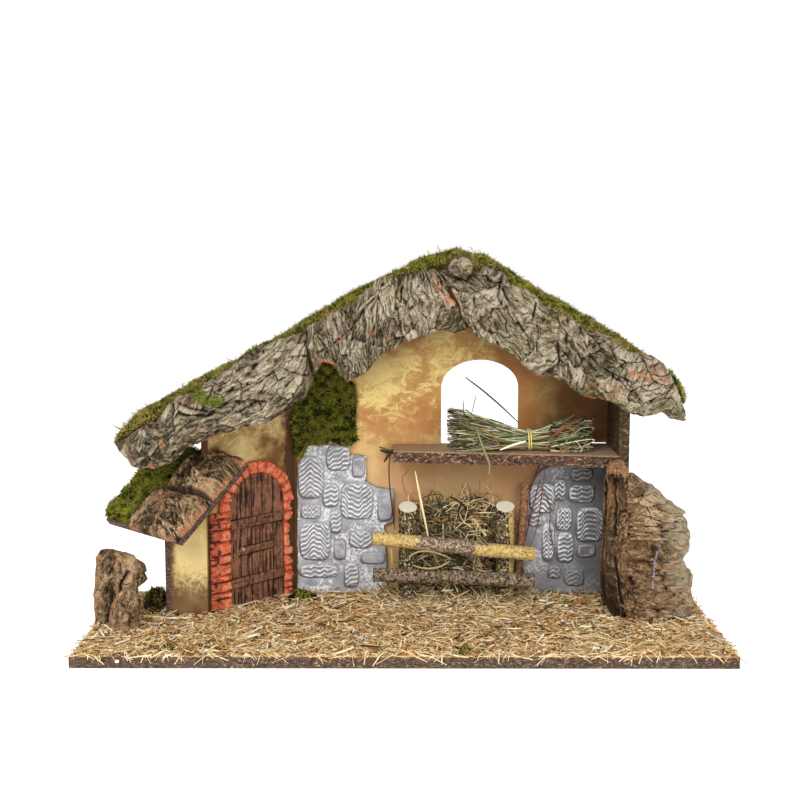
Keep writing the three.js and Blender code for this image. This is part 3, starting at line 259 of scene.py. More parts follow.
@dataclass
class Shape:
    """Points and faces that are joined into one mesh, with a value per point for each layer.

    Args:
        points: places in millimetres.
        faces: arrays of corner numbers, one array for each corner count.
        layers: named values, one for each point.
    """

    points: Array
    faces: list[Array]
    layers: dict[str, Array] = field(default_factory=dict)

    def volume(self) -> float:
        """The signed volume, negative when the faces point inwards."""
        total = 0.0
        for block in self.faces:
            for k in range(1, block.shape[1] - 1):
                a, b, c = self.points[block[:, 0]], self.points[block[:, k]], self.points[block[:, k + 1]]
                total += float(np.einsum("ij,ij->i", a, np.cross(b, c)).sum())
        return total

    def outward(self) -> Shape:
        """The same shape with its faces pointing out."""
        if self.volume() >= 0:
            return self
        return Shape(self.points, [block[:, ::-1] for block in self.faces], self.layers)

    def turned(self, matrix: Matrix) -> Shape:
        """The same shape carried by a frame."""
        turn = np.array(matrix)
        return Shape(self.points @ turn[:3, :3].T + turn[:3, 3], self.faces, self.layers)


def joined(shapes: list[Shape]) -> Shape:
    """Several shapes as one.

    Args:
        shapes: the shapes, with the same layers or with some left out.

    Returns:
        One shape. A layer that a shape lacks is 0 there.
    """
    names = {name for shape in shapes for name in shape.layers}
    faces, start = [], 0
    for shape in shapes:
        faces += [block + start for block in shape.faces]
        start += len(shape.points)
    layers = {
        name: np.concatenate([s.layers.get(name, np.zeros(len(s.points))) for s in shapes])
        for name in names
    }
    return Shape(np.concatenate([s.points for s in shapes]), faces, layers)


def grid_faces(rows: int, columns: int, start: int = 0, closed: bool = False) -> Array:
    """Quads over a grid of points numbered row by row.

    Args:
        rows: how many rows of points.
        columns: how many points in a row.
        start: the first point's number.
        closed: whether each row closes on itself.

    Returns:
        An array of quads.
    """
    last = columns if closed else columns - 1
    i, j = crossed(np.arange(rows - 1), np.arange(last))
    first, second = i.ravel() * columns, (i.ravel() + 1) * columns
    j, k = j.ravel(), (j.ravel() + 1) % columns
    return start + np.stack([first + j, second + j, second + k, first + k], 1)


def slab(front: Array, back: Array, layers: dict[str, Array] | None = None) -> Shape:
    """A closed sheet between two grids of points of the same size.

    Args:
        front: rows and columns of points.
        back: the same rows and columns on the other side.
        layers: named grids of values for the front, kept on the back too.

    Returns:
        The closed shape.
    """
    rows, columns = front.shape[:2]
    count = rows * columns
    faces = [grid_faces(rows, columns), grid_faces(rows, columns, count)[:, ::-1]]
    number = np.arange(count).reshape(rows, columns)
    loop = np.concatenate([number[0, :], number[1:, -1], number[-1, -2::-1], number[-2:0:-1, 0]])
    after = np.roll(loop, -1)
    faces.append(np.stack([loop, after, after + count, loop + count], 1))
    points = np.concatenate([front.reshape(-1, 3), back.reshape(-1, 3)])
    kept = {name: np.tile(values.ravel(), 2) for name, values in (layers or {}).items()}
    return Shape(points, faces, kept).outward()


def loft(rings: Array, layers: dict[str, Array] | None = None) -> Shape:
    """A solid skinned over rings of points, closed by a fan at both ends.

    Args:
        rings: rings of points, one after another.
        layers: named values for each ring point.

    Returns:
        The closed shape.
    """
    count, sides = rings.shape[:2]
    points = np.concatenate([rings.reshape(-1, 3), [rings[0].mean(0)], [rings[-1].mean(0)]])
    k = np.arange(sides)
    after = (k + 1) % sides
    first = np.stack([np.full(sides, count * sides), k, after], 1)
    top = (count - 1) * sides
    last = np.stack([np.full(sides, count * sides + 1), top + after, top + k], 1)
    kept = {}
    for name, values in (layers or {}).items():
        kept[name] = np.concatenate([values.ravel(), [values[0].mean(), values[-1].mean()]])
    faces = [grid_faces(count, sides, closed=True), np.concatenate([first, last])]
    return Shape(points, faces, kept).outward()


def tiled(front: Array, back: Array, keep: Array, layers: dict[str, Array] | None = None) -> Shape:
    """A closed sheet between two grids of points, with some of the grid's cells left out.

    Args:
        front: rows and columns of points.
        back: the same on the other side.
        keep: which cells are there, one less each way than the points.
        layers: named grids of values.

    Returns:
        The closed shape.
    """
    rows, columns = front.shape[:2]
    count = rows * columns
    i, j = np.nonzero(keep)
    a = i * columns + j
    quad = np.stack([a, a + columns, a + columns + 1, a + 1], 1)
    padded = np.pad(keep, 1)
    sides = []
    for (di, dj), (p, q) in (((-1, 0), (0, 3)), ((1, 0), (2, 1)), ((0, -1), (1, 0)), ((0, 1), (3, 2))):
        edge = ~padded[i + 1 + di, j + 1 + dj]
        first, second = quad[edge, p], quad[edge, q]
        sides.append(np.stack([first, second, second + count, first + count], 1))
    faces = [quad, quad[:, ::-1] + count, *sides]
    used = np.unique(np.concatenate([block.ravel() for block in faces]))
    renumber = np.zeros(2 * count, dtype=np.int64)
    renumber[used] = np.arange(len(used))
    points = np.concatenate([front.reshape(-1, 3), back.reshape(-1, 3)])[used]
    kept = {name: np.tile(values.ravel(), 2)[used] for name, values in (layers or {}).items()}
    return Shape(points, [renumber[block] for block in faces], kept).outward()


def stalks(paths: Array, radius: Array, flat: float, tint: Array, seed: int, sides: int = 4) -> Shape:
    """Many thin stalks at once, each closed at both ends.

    Args:
        paths: for each stalk, its points in order.
        radius: for each stalk and point, half its width.
        flat: its thickness as a share of its width.
        tint: for each stalk, its place in the finish's range of colours.
        seed: turns the stalks about themselves.
        sides: corners of a stalk's section, 3 or 4.

    Returns:
        All the stalks as one shape.
    """
    count, steps = paths.shape[:2]
    along = np.gradient(paths, axis=1)
    along /= np.linalg.norm(along, axis=2, keepdims=True) + 1e-9
    facing = np.random.default_rng(seed).normal(size=(count, 1, 3))
    side = np.cross(along, facing)
    side /= np.linalg.norm(side, axis=2, keepdims=True) + 1e-9
    across = np.cross(along, side)
    angle = 2 * np.pi * np.arange(sides) / sides
    wide = side[:, :, None, :] * np.cos(angle)[None, None, :, None]
    thick = across[:, :, None, :] * (flat * np.sin(angle))[None, None, :, None]
    points = paths[:, :, None, :] + radius[:, :, None, None] * (wide + thick)
    one = steps * sides
    body = grid_faces(steps, sides, closed=True)
    end = np.arange(sides)
    caps = np.stack([end[::-1], one - sides + end])
    shift = (np.arange(count) * one)[:, None, None]
    faces = [(body[None] + shift).reshape(-1, 4), (caps[None] + shift).reshape(-1, sides)]
    return Shape(points.reshape(-1, 3), faces, {"tint": np.repeat(tint, one)}).outward()


def tufts(roots: Array, lean: Array, length: Array, width: Array, tint: Array) -> Shape:
    """Many small pointed leaves, each a closed sliver with three sides.

    Args:
        roots: where each stands.
        lean: which way each points.
        length: how long each is.
        width: how wide each is at its root.
        tint: each one's place in the finish's range of colours.

    Returns:
        All the leaves as one shape.
    """
    lean = lean / (np.linalg.norm(lean, axis=1, keepdims=True) + 1e-9)
    side = np.cross(lean, np.roll(lean, 1, axis=1) + np.array([0.31, 0.17, -0.11]))
    side /= np.linalg.norm(side, axis=1, keepdims=True) + 1e-9
    across = np.cross(lean, side)
    corners = []
    for k in range(3):
        angle = 2 * math.pi * k / 3
        corners.append(roots + width[:, None] * 0.5 * (side * math.cos(angle) + across * math.sin(angle)))
    corners.append(roots + lean * length[:, None])
    points = np.stack(corners, 1).reshape(-1, 3)
    face = np.array([[0, 2, 1], [0, 1, 3], [1, 2, 3], [2, 0, 3]])
    faces = (face[None] + (np.arange(len(roots)) * 4)[:, None, None]).reshape(-1, 3)
    shade = np.repeat(tint, 4)
    tip = np.tile([0.0, 0.0, 0.0, 1.0], len(roots))
    return Shape(points, [faces], {"tint": shade, "tip": tip}).outward()


def as_piece(name: str, shape: Shape, material: bpy.types.Material,
             nodes: tuple[str, ...] = (), smooth: bool = True) -> None:
    """Writes a shape as a piece that stands for CAD nodes.

    Args:
        name: the piece's name.
        shape: its mesh in millimetres.
        material: its finish.
        nodes: the CAD nodes that it stands for, by default the one of its own name.
        smooth: whether its faces are shaded smooth.
    """
    look = f"{name}_look"
    mesh = bpy.data.meshes.new(look)
    mesh.vertices.add(len(shape.points))
    mesh.vertices.foreach_set("co", (shape.points * MM).astype(np.float32).ravel())
    counts = np.concatenate([np.full(len(block), block.shape[1]) for block in shape.faces])
    corners = np.concatenate([block.ravel() for block in shape.faces]).astype(np.int32)
    mesh.loops.add(len(corners))
    mesh.loops.foreach_set("vertex_index", corners)
    mesh.polygons.add(len(counts))
    mesh.polygons.foreach_set("loop_start", np.concatenate([[0], np.cumsum(counts)[:-1]]).astype(np.int32))
    mesh.polygons.foreach_set("use_smooth", np.full(len(counts), smooth))
    for layer, values in shape.layers.items():
        mesh.attributes.new(layer, "FLOAT", "POINT").data.foreach_set("value", values.astype(np.float32))
    mesh.update(calc_edges=True)
    mesh.validate()
    mesh.materials.append(material)
    piece = bpy.data.objects.new(look, mesh)
    bpy.context.scene.collection.objects.link(piece)
    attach(piece, "root")
    nodes = nodes or (name,)
    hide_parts(*nodes)
    LOG.info("%s: %d faces", look, len(counts))


# Shader maths


class Wire:
    """A value on a shader board, which can be added, multiplied and so on."""

    def __init__(self, board: Recipe, socket: bpy.types.NodeSocket) -> None:
        """Wraps a node's output.

        Args:
            board: the recipe that the node belongs to.
            socket: the output.
        """
        self.board = board
        self.socket = socket

    def sum_of(self, operation: str, *others: Wire | float) -> Wire:
        """Runs one Math node on this value and others."""
        inputs = {0: self, **{k + 1: other for k, other in enumerate(others)}}
        return self.board.node("ShaderNodeMath", {"operation": operation}, inputs)

    def __add__(self, other: Wire | float) -> Wire:
        """This value plus another."""
        return self.sum_of("ADD", other)

    __radd__ = __add__

    def __sub__(self, other: Wire | float) -> Wire:
        """This value less another."""
        return self.sum_of("SUBTRACT", other)

    def __rsub__(self, other: float) -> Wire:
        """A number less this value."""
        return self.board.node("ShaderNodeMath", {"operation": "SUBTRACT"}, {0: other, 1: self})

    def __mul__(self, other: Wire | float) -> Wire:
        """This value times another."""
        return self.sum_of("MULTIPLY", other)

    __rmul__ = __mul__

    def step(self, low: float, high: float) -> Wire:
        """A smooth step from 0 at low to 1 at high."""
        settings = {"interpolation_type": "SMOOTHSTEP", "clamp": True}
        inputs = {"Value": self, "From Min": low, "From Max": high, "To Min": 0.0, "To Max": 1.0}
        return self.board.node("ShaderNodeMapRange", settings, inputs)


class Recipe:
    """A material's or the world's nodes, added one call at a time."""

    def __init__(self, name: str, world: bool = False) -> None:
        """Starts an empty material or world.

        Args:
            name: its name.
            world: whether it is a world.
        """
        self.owner = (bpy.data.worlds if world else bpy.data.materials).new(name)
        self.owner.use_nodes = True
        self.tree = self.owner.node_tree
        self.tree.nodes.clear()
        self.target = "ShaderNodeOutputWorld" if world else "ShaderNodeOutputMaterial"

    def node(self, kind: str, settings: dict | None = None, inputs: dict | None = None,
             output: int | str = 0) -> Wire:
        """Adds a node.

        Args:
            kind: the node's type.
            settings: properties set first, with a colour ramp's stops under ramp.
            inputs: values or wires for its sockets, by name or number.
            output: which output to give back.

        Returns:
            The chosen output.
        """
        made = self.tree.nodes.new(kind)
        for key, value in (settings or {}).items():
            if key == "ramp":
                stops = made.color_ramp.elements
                while len(stops) > 1:
                    stops.remove(stops[-1])
                for place, (at, colour) in enumerate(value):
                    stop = stops[0] if place == 0 else stops.new(at)
                    stop.position = at
                    stop.color = (*colour, 1.0)
            else:
                setattr(made, key, value)
        for key, value in (inputs or {}).items():
            if isinstance(value, Wire):
                self.tree.links.new(value.socket, made.inputs[key])
            else:
                made.inputs[key].default_value = value
        return Wire(self, made.outputs[output])

    def place(self) -> Wire:
        """The place on the object, in metres."""
        return self.node("ShaderNodeTexCoord", output="Object")

    def axis(self, where: Wire, name: str) -> Wire:
        """One coordinate of a place, X, Y or Z."""
        return self.node("ShaderNodeSeparateXYZ", None, {0: where}, name)

    def scaled(self, where: Wire, x: float, y: float, z: float) -> Wire:
        """A place stretched along its axes."""
        return self.node("ShaderNodeVectorMath", {"operation": "MULTIPLY"}, {0: where, 1: (x, y, z)})

    def noise(self, where: Wire, scale: float, detail: float = 5.0, rough: float = 0.6,
              warp: float = 0.0) -> Wire:
        """Cloudy noise, with scale patches to the metre."""
        inputs = {"Vector": where, "Scale": scale, "Detail": detail, "Roughness": rough, "Distortion": warp}
        return self.node("ShaderNodeTexNoise", None, inputs)

    def flecks(self, where: Wire, scale: float) -> Wire:
        """A random shade for each small patch."""
        inputs = {"Vector": where, "Scale": scale}
        return self.axis(self.node("ShaderNodeTexVoronoi", {"feature": "F1"}, inputs, "Color"), "X")

    def layer(self, name: str) -> Wire:
        """A value written on the mesh."""
        return self.node("ShaderNodeAttribute", {"attribute_name": name}, output="Fac")

    def ramp(self, value: Wire, stops: list[tuple[float, Colour]]) -> Wire:
        """A colour picked by a value."""
        return self.node("ShaderNodeValToRGB", {"ramp": stops}, {0: value})

    def blend(self, share: Wire | float, first: Wire | Colour, second: Wire | Colour) -> Wire:
        """Two colours mixed by a share.

        Args:
            share: 0 for the first, 1 for the second.
            first: a colour.
            second: a colour.

        Returns:
            The mixed colour.
        """
        def ready(colour: Wire | Colour) -> Wire | tuple[float, ...]:
            return colour if isinstance(colour, Wire) else (*colour, 1.0)

        settings = {"data_type": "RGBA", "clamp_factor": True}
        return self.node("ShaderNodeMix", settings, {0: share, 6: ready(first), 7: ready(second)}, 2)

    def done(self, colour: Wire, rough: float, relief: Wire, depth: float,
             specular: float) -> bpy.types.Material:
        """Closes the material.

        Args:
            colour: its colour.
            rough: its roughness.
            relief: the height of its fine relief, from 0 to 1.
            depth: how deep that relief is, in metres.
            specular: how strongly it mirrors light.

        Returns:
            The finished material.
        """
        normal = self.node("ShaderNodeBump", None, {"Height": relief, "Distance": depth})
        inputs = {"Base Color": colour, "Roughness": rough, "Specular IOR Level": specular}
        inputs["Normal"] = normal
        self.node_out(self.node("ShaderNodeBsdfPrincipled", None, inputs))
        return self.owner

    def node_out(self, shader: Wire) -> None:
        """Joins a shader to the output."""
        out = self.tree.nodes.new(self.target)
        self.tree.links.new(shader.socket, out.inputs["Surface"])


Colour = Triple


def rgb(red: int, green: int, blue: int) -> Colour:
    """A colour from screen values of 0 to 255, as the shaders' linear values."""
    def linear(value: float) -> float:
        share = value / 255
        return share / 12.92 if share <= 0.04045 else ((share + 0.055) / 1.055) ** 2.4

    return linear(red), linear(green), linear(blue)


# Finishes


class Run(Enum):
    """Which way a bark's ridges run over its face."""

    ALONG = "along the strip"
    ACROSS = "across the strip"
    PLATES = "in plates"


@dataclass(frozen=True)
class BarkFinish:
    """Bark or cork, with dark cracks and a warmer inside, painted shade in its hollows and a painted
    highlight on its ribs.

    Args:
        name: the material's name.
        pale: its lightest fibres, and the painted highlight on its raised ribs.
        middle: most of its face.
        dark: its darker fibres, and the painted shade in its hollows.
        crack: its darkest specks, and the painted shade at the bottom of its hollows and cracks.
        inner: the fresh cork at its broken rims.
        green: the colour of what grows on it.
        grey: the colour of its weathered side.
    """

    name: str
    pale: Colour = rgb(206, 194, 168)
    middle: Colour = rgb(148, 134, 108)
    dark: Colour = rgb(88, 75, 57)
    crack: Colour = rgb(30, 22, 15)
    inner: Colour = rgb(206, 134, 98)
    green: Colour = rgb(118, 112, 66)
    grey: Colour = rgb(196, 182, 152)

    def make(self) -> bpy.types.Material:
        """Builds the material."""
        board = Recipe(self.name)
        where = board.place()
        cloud = board.noise(where, 42, 6, 0.65)
        fine = board.noise(where, 620, 5, 0.82)
        value = board.layer("tone") * 0.72 + cloud * 0.3 + fine * 0.95 - 0.5
        stops = [(0.24, self.crack), (0.37, self.dark), (0.5, self.middle), (0.6, self.middle),
                 (0.76, self.pale)]
        colour = board.ramp(value, stops)
        colour = board.blend(board.noise(where, 24, 3, 0.5, 1.0).step(0.54, 0.7) * 0.55, colour, self.green)
        colour = board.blend(board.layer("grey") * 0.7, colour, self.grey)
        torn = board.ramp(fine, [(0.38, self.dark), (0.52, self.inner), (0.7, rgb(236, 182, 146))])
        warm = board.noise(where, 75, 5, 0.75, 0.6)
        colour = board.blend(warm.step(0.56, 0.66) * 0.36, colour, self.inner)
        plate = board.layer("plate")
        colour = board.blend(plate.step(0.8, 0.9) * 0.14, colour, self.inner)
        colour = board.blend(plate.step(0.42, 0.26) * 0.16, colour, self.green)
        colour = board.blend(board.layer("inner"), colour, torn)
        # painted highlight on the raised ribs
        colour = board.blend(board.layer("rib") * 0.45, colour, self.pale)
        colour = board.blend(fine.step(0.46, 0.36) * 0.75, colour, self.crack)
        # painted shade in the hollows, darkest at the bottom of the cracks
        deep = board.layer("deep")
        colour = board.blend(deep.step(0.1, 0.7) * 0.55, colour, self.dark)
        colour = board.blend(deep.step(0.6, 1.0) * 0.85, colour, self.crack)
        colour = board.blend(board.layer("glue"), colour, rgb(196, 188, 212))
        stops = [(0.38, rgb(40, 46, 16)), (0.5, rgb(104, 112, 44)), (0.62, rgb(156, 156, 74))]
        leafy = board.ramp(fine, stops)
        colour = board.blend(board.layer("growth"), colour, leafy)
        height = fine + board.noise(where, 1700, 3, 0.6) * 0.5
        return board.done(colour, 0.85, height, 0.0022, 0.12)


@dataclass(frozen=True)
class MossFinish:
    """Dried moss: green, yellow-green and brown.

    Args:
        name: the material's name.
        bright: its lightest leaves.
        middle: most leaves.
        dark: its darkest leaves, and the painted shade in its hollows.
        brown: its dry parts.
    """

    name: str = "moss_growth"
    bright: Colour = rgb(164, 160, 62)
    middle: Colour = rgb(82, 90, 26)
    dark: Colour = rgb(20, 26, 7)
    brown: Colour = rgb(146, 108, 52)

    def make(self) -> bpy.types.Material:
        """Builds the material."""
        board = Recipe(self.name)
        where = board.place()
        tint = board.layer("tint")
        cloud = board.noise(where, 60, 5, 0.7)
        value = tint * 1.1 + cloud * 0.4 - 0.22
        colour = board.ramp(value, [(0.12, self.dark), (0.45, self.middle), (0.85, self.bright)])
        brown = board.ramp(value, [(0.1, rgb(52, 36, 18)), (0.5, self.brown), (0.9, rgb(212, 184, 118))])
        colour = board.blend(board.layer("dry"), colour, brown)
        colour = board.blend(board.layer("tip") * tint * 0.5, colour, self.bright)
        grain = board.noise(where, 1100, 4, 0.7)
        colour = board.blend(grain.step(0.5, 0.34) * 0.6, colour, self.dark)
        # painted shade in the cushion's hollows
        colour = board.blend(board.layer("deep") * 0.8, colour, self.dark)
        return board.done(colour, 0.9, grain, 0.001, 0.1)


@dataclass(frozen=True)
class WallFinish:
    """Painted board, airbrushed brown towards its edges, with painted shade under the roof and a painted
    shadow under the shelf.

    Args:
        name: the material's name.
        light: where the paint is thin.
        main: most of the wall.
        warm: the warmer patches.
        brown: the airbrushed brown, also the colour of the painted shade under the roof and the painted
            shadow under the shelf.
        low: how much of a plainer tan it has low down, from 0 to 1.
    """

    name: str
    light: Colour = rgb(248, 220, 142)
    main: Colour = rgb(206, 158, 94)
    warm: Colour = rgb(194, 132, 76)
    brown: Colour = rgb(116, 78, 44)
    low: float = 0.8

    def brown_cover(self, board: Recipe, where: Wire) -> Wire:
        """Where the brown lies, from 0 to 1: airbrushed brown towards the edges, with painted shade under the
        roof and in the upper right corner, and a painted shadow under the shelf.
        """
        x, z = board.axis(where, "X"), board.axis(where, "Z")
        left = RIDGE_TOP * MM - (RIDGE_X * MM - x) * LEFT_SLOPE - z
        right = RIDGE_TOP * MM - (x - RIDGE_X * MM) * RIGHT_SLOPE - z
        # under the roof the brown is both airbrushed paint and painted shade
        roof_brown_and_shade = left.sum_of("MINIMUM", right)
        # airbrushed brown and painted shade in the upper right corner, under the right roof
        corner = x.step(0.10, 0.172) * z.step(0.165, 0.18)
        seam = x.step(-0.1095, -0.1125)
        # painted shadow under the shelf
        shelf_shadow = z.step(0.09, 0.158) * z.step(0.172, 0.166) * x.step(-0.03, 0.03) * 0.5
        spread = roof_brown_and_shade.step(0.105, 0.035).sum_of("MAXIMUM", corner)
        return spread.sum_of("MAXIMUM", seam).sum_of("MAXIMUM", shelf_shadow)

    def make(self) -> bpy.types.Material:
        """Builds the material."""
        board = Recipe(self.name)
        where = board.place()
        blotch = board.noise(where, 13, 6, 0.68)
        colour = board.ramp(blotch, [(0.4, self.warm), (0.5, self.main), (0.6, self.light)])
        streak = board.noise(board.scaled(where, 1, 1, 1.6), 52, 7, 0.8, 1.2)
        high = board.axis(where, "Z").step(0.13, 0.21)
        blotch = blotch - board.axis(where, "X").step(0.1, 0.13) * 0.12
        colour = board.blend(streak.step(0.49, 0.55) * blotch.step(0.4, 0.52) * high, colour, self.light)
        colour = board.blend((1 - high) * self.low, colour, rgb(196, 154, 112))
        # the brown: airbrushed paint, and on the back wall also painted shade under the roof and a painted
        # shadow under the shelf
        share = self.brown_cover(board, where) * (0.65 + board.noise(where, 30, 4, 0.6) * 0.7)
        colour = board.blend(share.sum_of("MINIMUM", 1.0), colour, self.brown)
        grain = board.noise(where, 700, 4, 0.7)
        colour = board.blend(grain.step(0.42, 0.3) * 0.35, colour, self.brown)
        fibre = board.noise(board.scaled(where, 1, 1, 0.4), 900, 5, 0.8)
        stops = [(0.36, rgb(92, 64, 42)), (0.5, rgb(146, 108, 74)), (0.64, rgb(184, 148, 108))]
        bare = board.ramp(fibre, stops)
        colour = board.blend(board.axis(where, "Y").step(0.1040, 0.1048), colour, bare)
        return board.done(colour, 0.8, grain, 0.0003, 0.2)


@dataclass(frozen=True)
class AnnexWallFinish(WallFinish):
    """The small gable's paint: gold above, airbrushed brown low down and along its edges."""

    def brown_cover(self, board: Recipe, where: Wire) -> Wire:
        """Where the airbrushed brown lies, from 0 to 1."""
        mottle = (board.noise(where, 170, 7, 0.85) - 0.5) * 0.09
        low = (board.axis(where, "Z") + mottle).step(0.062, 0.032)
        side = (board.axis(where, "X") + mottle * 0.2).step(-0.2225, -0.2285)
        return low.sum_of("MAXIMUM", side)


@dataclass(frozen=True)
class DoorWallFinish(WallFinish):
    """The angled wall's paint: gold, brown beside the door and at its far end, and part of the back wall's
    brown with its painted shade under the roof.
    """

    def brown_cover(self, board: Recipe, where: Wire) -> Wire:
        """Where the brown lies, from 0 to 1: airbrushed brown, with part of the back wall's painted shade
        under the roof.
        """
        mottle = (board.noise(where, 60, 6, 0.75) - 0.5) * 0.035
        x = board.axis(where, "X")
        streak = board.noise(board.scaled(where, 1, 1, 2.2), 60, 7, 0.85).step(0.5, 0.6)
        far = (x + mottle).step(-0.134, -0.12).sum_of("MAXIMUM", streak * 0.42)
        end = x.step(-0.1915, -0.1922) * 1.6
        # part of the back wall's brown, with its painted shade under the roof
        return far.sum_of("MAXIMUM", super().brown_cover(board, where) * 0.4).sum_of("MAXIMUM", end)


@dataclass(frozen=True)
class BoardFinish:
    """Chipboard stained dark: chips of several browns with pale specks.

    Args:
        name: the material's name.
        dark: the darkest chips.
        middle: most chips.
        pale: the specks.
        chips: chips to the metre.
    """

    name: str
    dark: Colour = rgb(52, 40, 34)
    middle: Colour = rgb(92, 72, 60)
    # pale: the specks, and the painted highlight on the shelf's upper face.
    pale: Colour = rgb(170, 146, 116)
    chips: float = 700.0

    def make(self) -> bpy.types.Material:
        """Builds the material."""
        board = Recipe(self.name)
        where = board.place()
        long = board.scaled(where, 0.6, 0.6, 1.3)
        chip = board.flecks(long, self.chips)
        cloud = board.noise(long, 420, 6, 0.8)
        value = chip * 0.35 + cloud * 1.1 - 0.22
        stops = [(0.3, self.dark), (0.5, self.middle), (0.62, self.middle), (0.78, self.pale)]
        colour = board.ramp(value, stops)
        fine = board.noise(where, 1300, 3, 0.7)
        colour = board.blend(fine.step(0.48, 0.36) * 0.7, colour, self.dark)
        # painted highlight on the shelf's upper face
        colour = board.blend(board.layer("top") * 0.6, colour, self.pale)
        return board.done(colour, 0.75, chip + fine, 0.0004, 0.25)


@dataclass(frozen=True)
class StoneFinish:
    """Cast stones painted grey and brushed white on their crests.

    Args:
        name: the material's name.
        grey: most of the paint.
        dark: the paint in the grooves.
        white: the brushed crests.
    """

    name: str
    grey: Colour = rgb(168, 168, 172)
    # dark: the paint in the grooves, also the colour of the painted shade.
    dark: Colour = rgb(86, 84, 85)
    white: Colour = rgb(244, 245, 247)

    def make(self) -> bpy.types.Material:
        """Builds the material."""
        board = Recipe(self.name)
        where = board.place()
        cloud = board.noise(where, 55, 4, 0.6)
        stops = [(0.3, rgb(134, 134, 138)), (0.55, self.grey), (0.75, rgb(184, 185, 188))]
        colour = board.ramp(cloud, stops)
        speck = board.noise(where, 900, 4, 0.8)
        colour = board.blend(speck.step(0.48, 0.38) * 0.6, colour, rgb(96, 95, 97))
        # painted shade over the panel
        colour = board.blend(board.layer("shade"), colour, self.dark)
        brush = board.noise(where, 330, 5, 0.75)
        colour = board.blend(board.layer("crest") * brush.step(0.36, 0.52), colour, self.white)
        # dark grooves and joints, with painted shade on the lower left of each stone
        colour = board.blend(board.layer("groove"), colour, self.dark)
        return board.done(colour, 0.7, brush, 0.0003, 0.25)


@dataclass(frozen=True)
class PaintFinish:
    """Painted relief: a colour with lighter crests and dark hollows.

    Args:
        name: the material's name.
        body: the paint.
        light: the paint on the crests, which on the door's veins is a painted highlight.
        hollow: the dark in the joints, and the painted shadow round the door's bands and latch and the
            painted shade on the bricks' recessed strip.
        knob: the colour of the knob.
    """

    name: str
    body: Colour
    light: Colour
    hollow: Colour
    knob: Colour = rgb(200, 150, 100)

    def make(self) -> bpy.types.Material:
        """Builds the material."""
        board = Recipe(self.name)
        where = board.place()
        cloud = board.noise(where, 170, 6, 0.75)
        colour = board.blend(cloud.step(0.42, 0.66), self.body, self.light)
        # lighter crests; on the door a painted highlight on the veins
        colour = board.blend(board.layer("crest") * 0.75, colour, self.light)
        fine = board.noise(where, 700, 5, 0.8)
        colour = board.blend(fine.step(0.46, 0.36) * 0.65, colour, self.hollow)
        # dark joints, with painted shadow and shade where the relief asks for it
        colour = board.blend(board.layer("groove"), colour, self.hollow)
        colour = board.blend(board.layer("knob"), colour, self.knob)
        return board.done(colour, 0.7, fine, 0.0004, 0.25)


@dataclass(frozen=True)
class StalkFinish:
    """Straw or hay: each stalk takes its own colour from a range.

    Args:
        name: the material's name.
        stops: the range, from 0 to 1.
        shade: the colour between the stalks.
    """

    name: str
    stops: tuple[tuple[float, Colour], ...]
    shade: Colour = rgb(88, 62, 36)

    def make(self) -> bpy.types.Material:
        """Builds the material."""
        board = Recipe(self.name)
        where = board.place()
        colour = board.ramp(board.layer("tint"), list(self.stops))
        cloud = board.noise(where, 500, 4, 0.7)
        colour = board.blend(cloud.step(0.46, 0.3) * 0.3, colour, self.shade)
        # painted shade on stalks inside and under the others, and on the chaff and cores beneath them
        colour = board.blend(board.layer("deep"), colour, self.shade)
        return board.done(colour, 0.75, cloud, 0.0003, 0.25)


@dataclass(frozen=True)
class LimbFinish:
    """Thin branches: bark with lichen, and pale cut ends.

    Args:
        name: the material's name.
        bark: most of the bark.
        dark: its darker bark, and the painted shade in its grooves.
        lichen: what grows on it.
        spread: how much of it the lichen takes, from 0 to 1.
        wood: its cut ends.
    """

    name: str
    bark: Colour = rgb(108, 92, 76)
    dark: Colour = rgb(52, 42, 36)
    lichen: Colour = rgb(188, 182, 150)
    spread: float = 0.35
    wood: Colour = rgb(238, 234, 216)

    def make(self) -> bpy.types.Material:
        """Builds the material."""
        board = Recipe(self.name)
        where = board.place()
        cloud = board.noise(where, 330, 6, 0.8)
        colour = board.blend(cloud.step(0.45, 0.55), self.dark, self.bark)
        patch = board.noise(where, 420, 7, 0.85)
        edge = 0.62 - 0.2 * self.spread
        colour = board.blend(patch.step(edge, edge + 0.05), colour, self.lichen)
        stops = [(0.34, self.dark), (0.42, rgb(132, 100, 54)), (0.48, rgb(188, 158, 92)),
                 (0.58, rgb(226, 202, 138))]
        bare = board.ramp(patch, stops)
        colour = board.blend(board.layer("bare"), colour, bare)
        # painted shade in the grooves
        colour = board.blend(board.layer("deep"), colour, self.dark)
        ring = board.noise(where, 800, 3, 0.6)
        wood = board.blend(ring.step(0.4, 0.65), rgb(222, 214, 186), self.wood)
        colour = board.blend(board.layer("cut"), colour, wood)
        return board.done(colour, 0.8, ring + patch, 0.0005, 0.2)


# Where things are


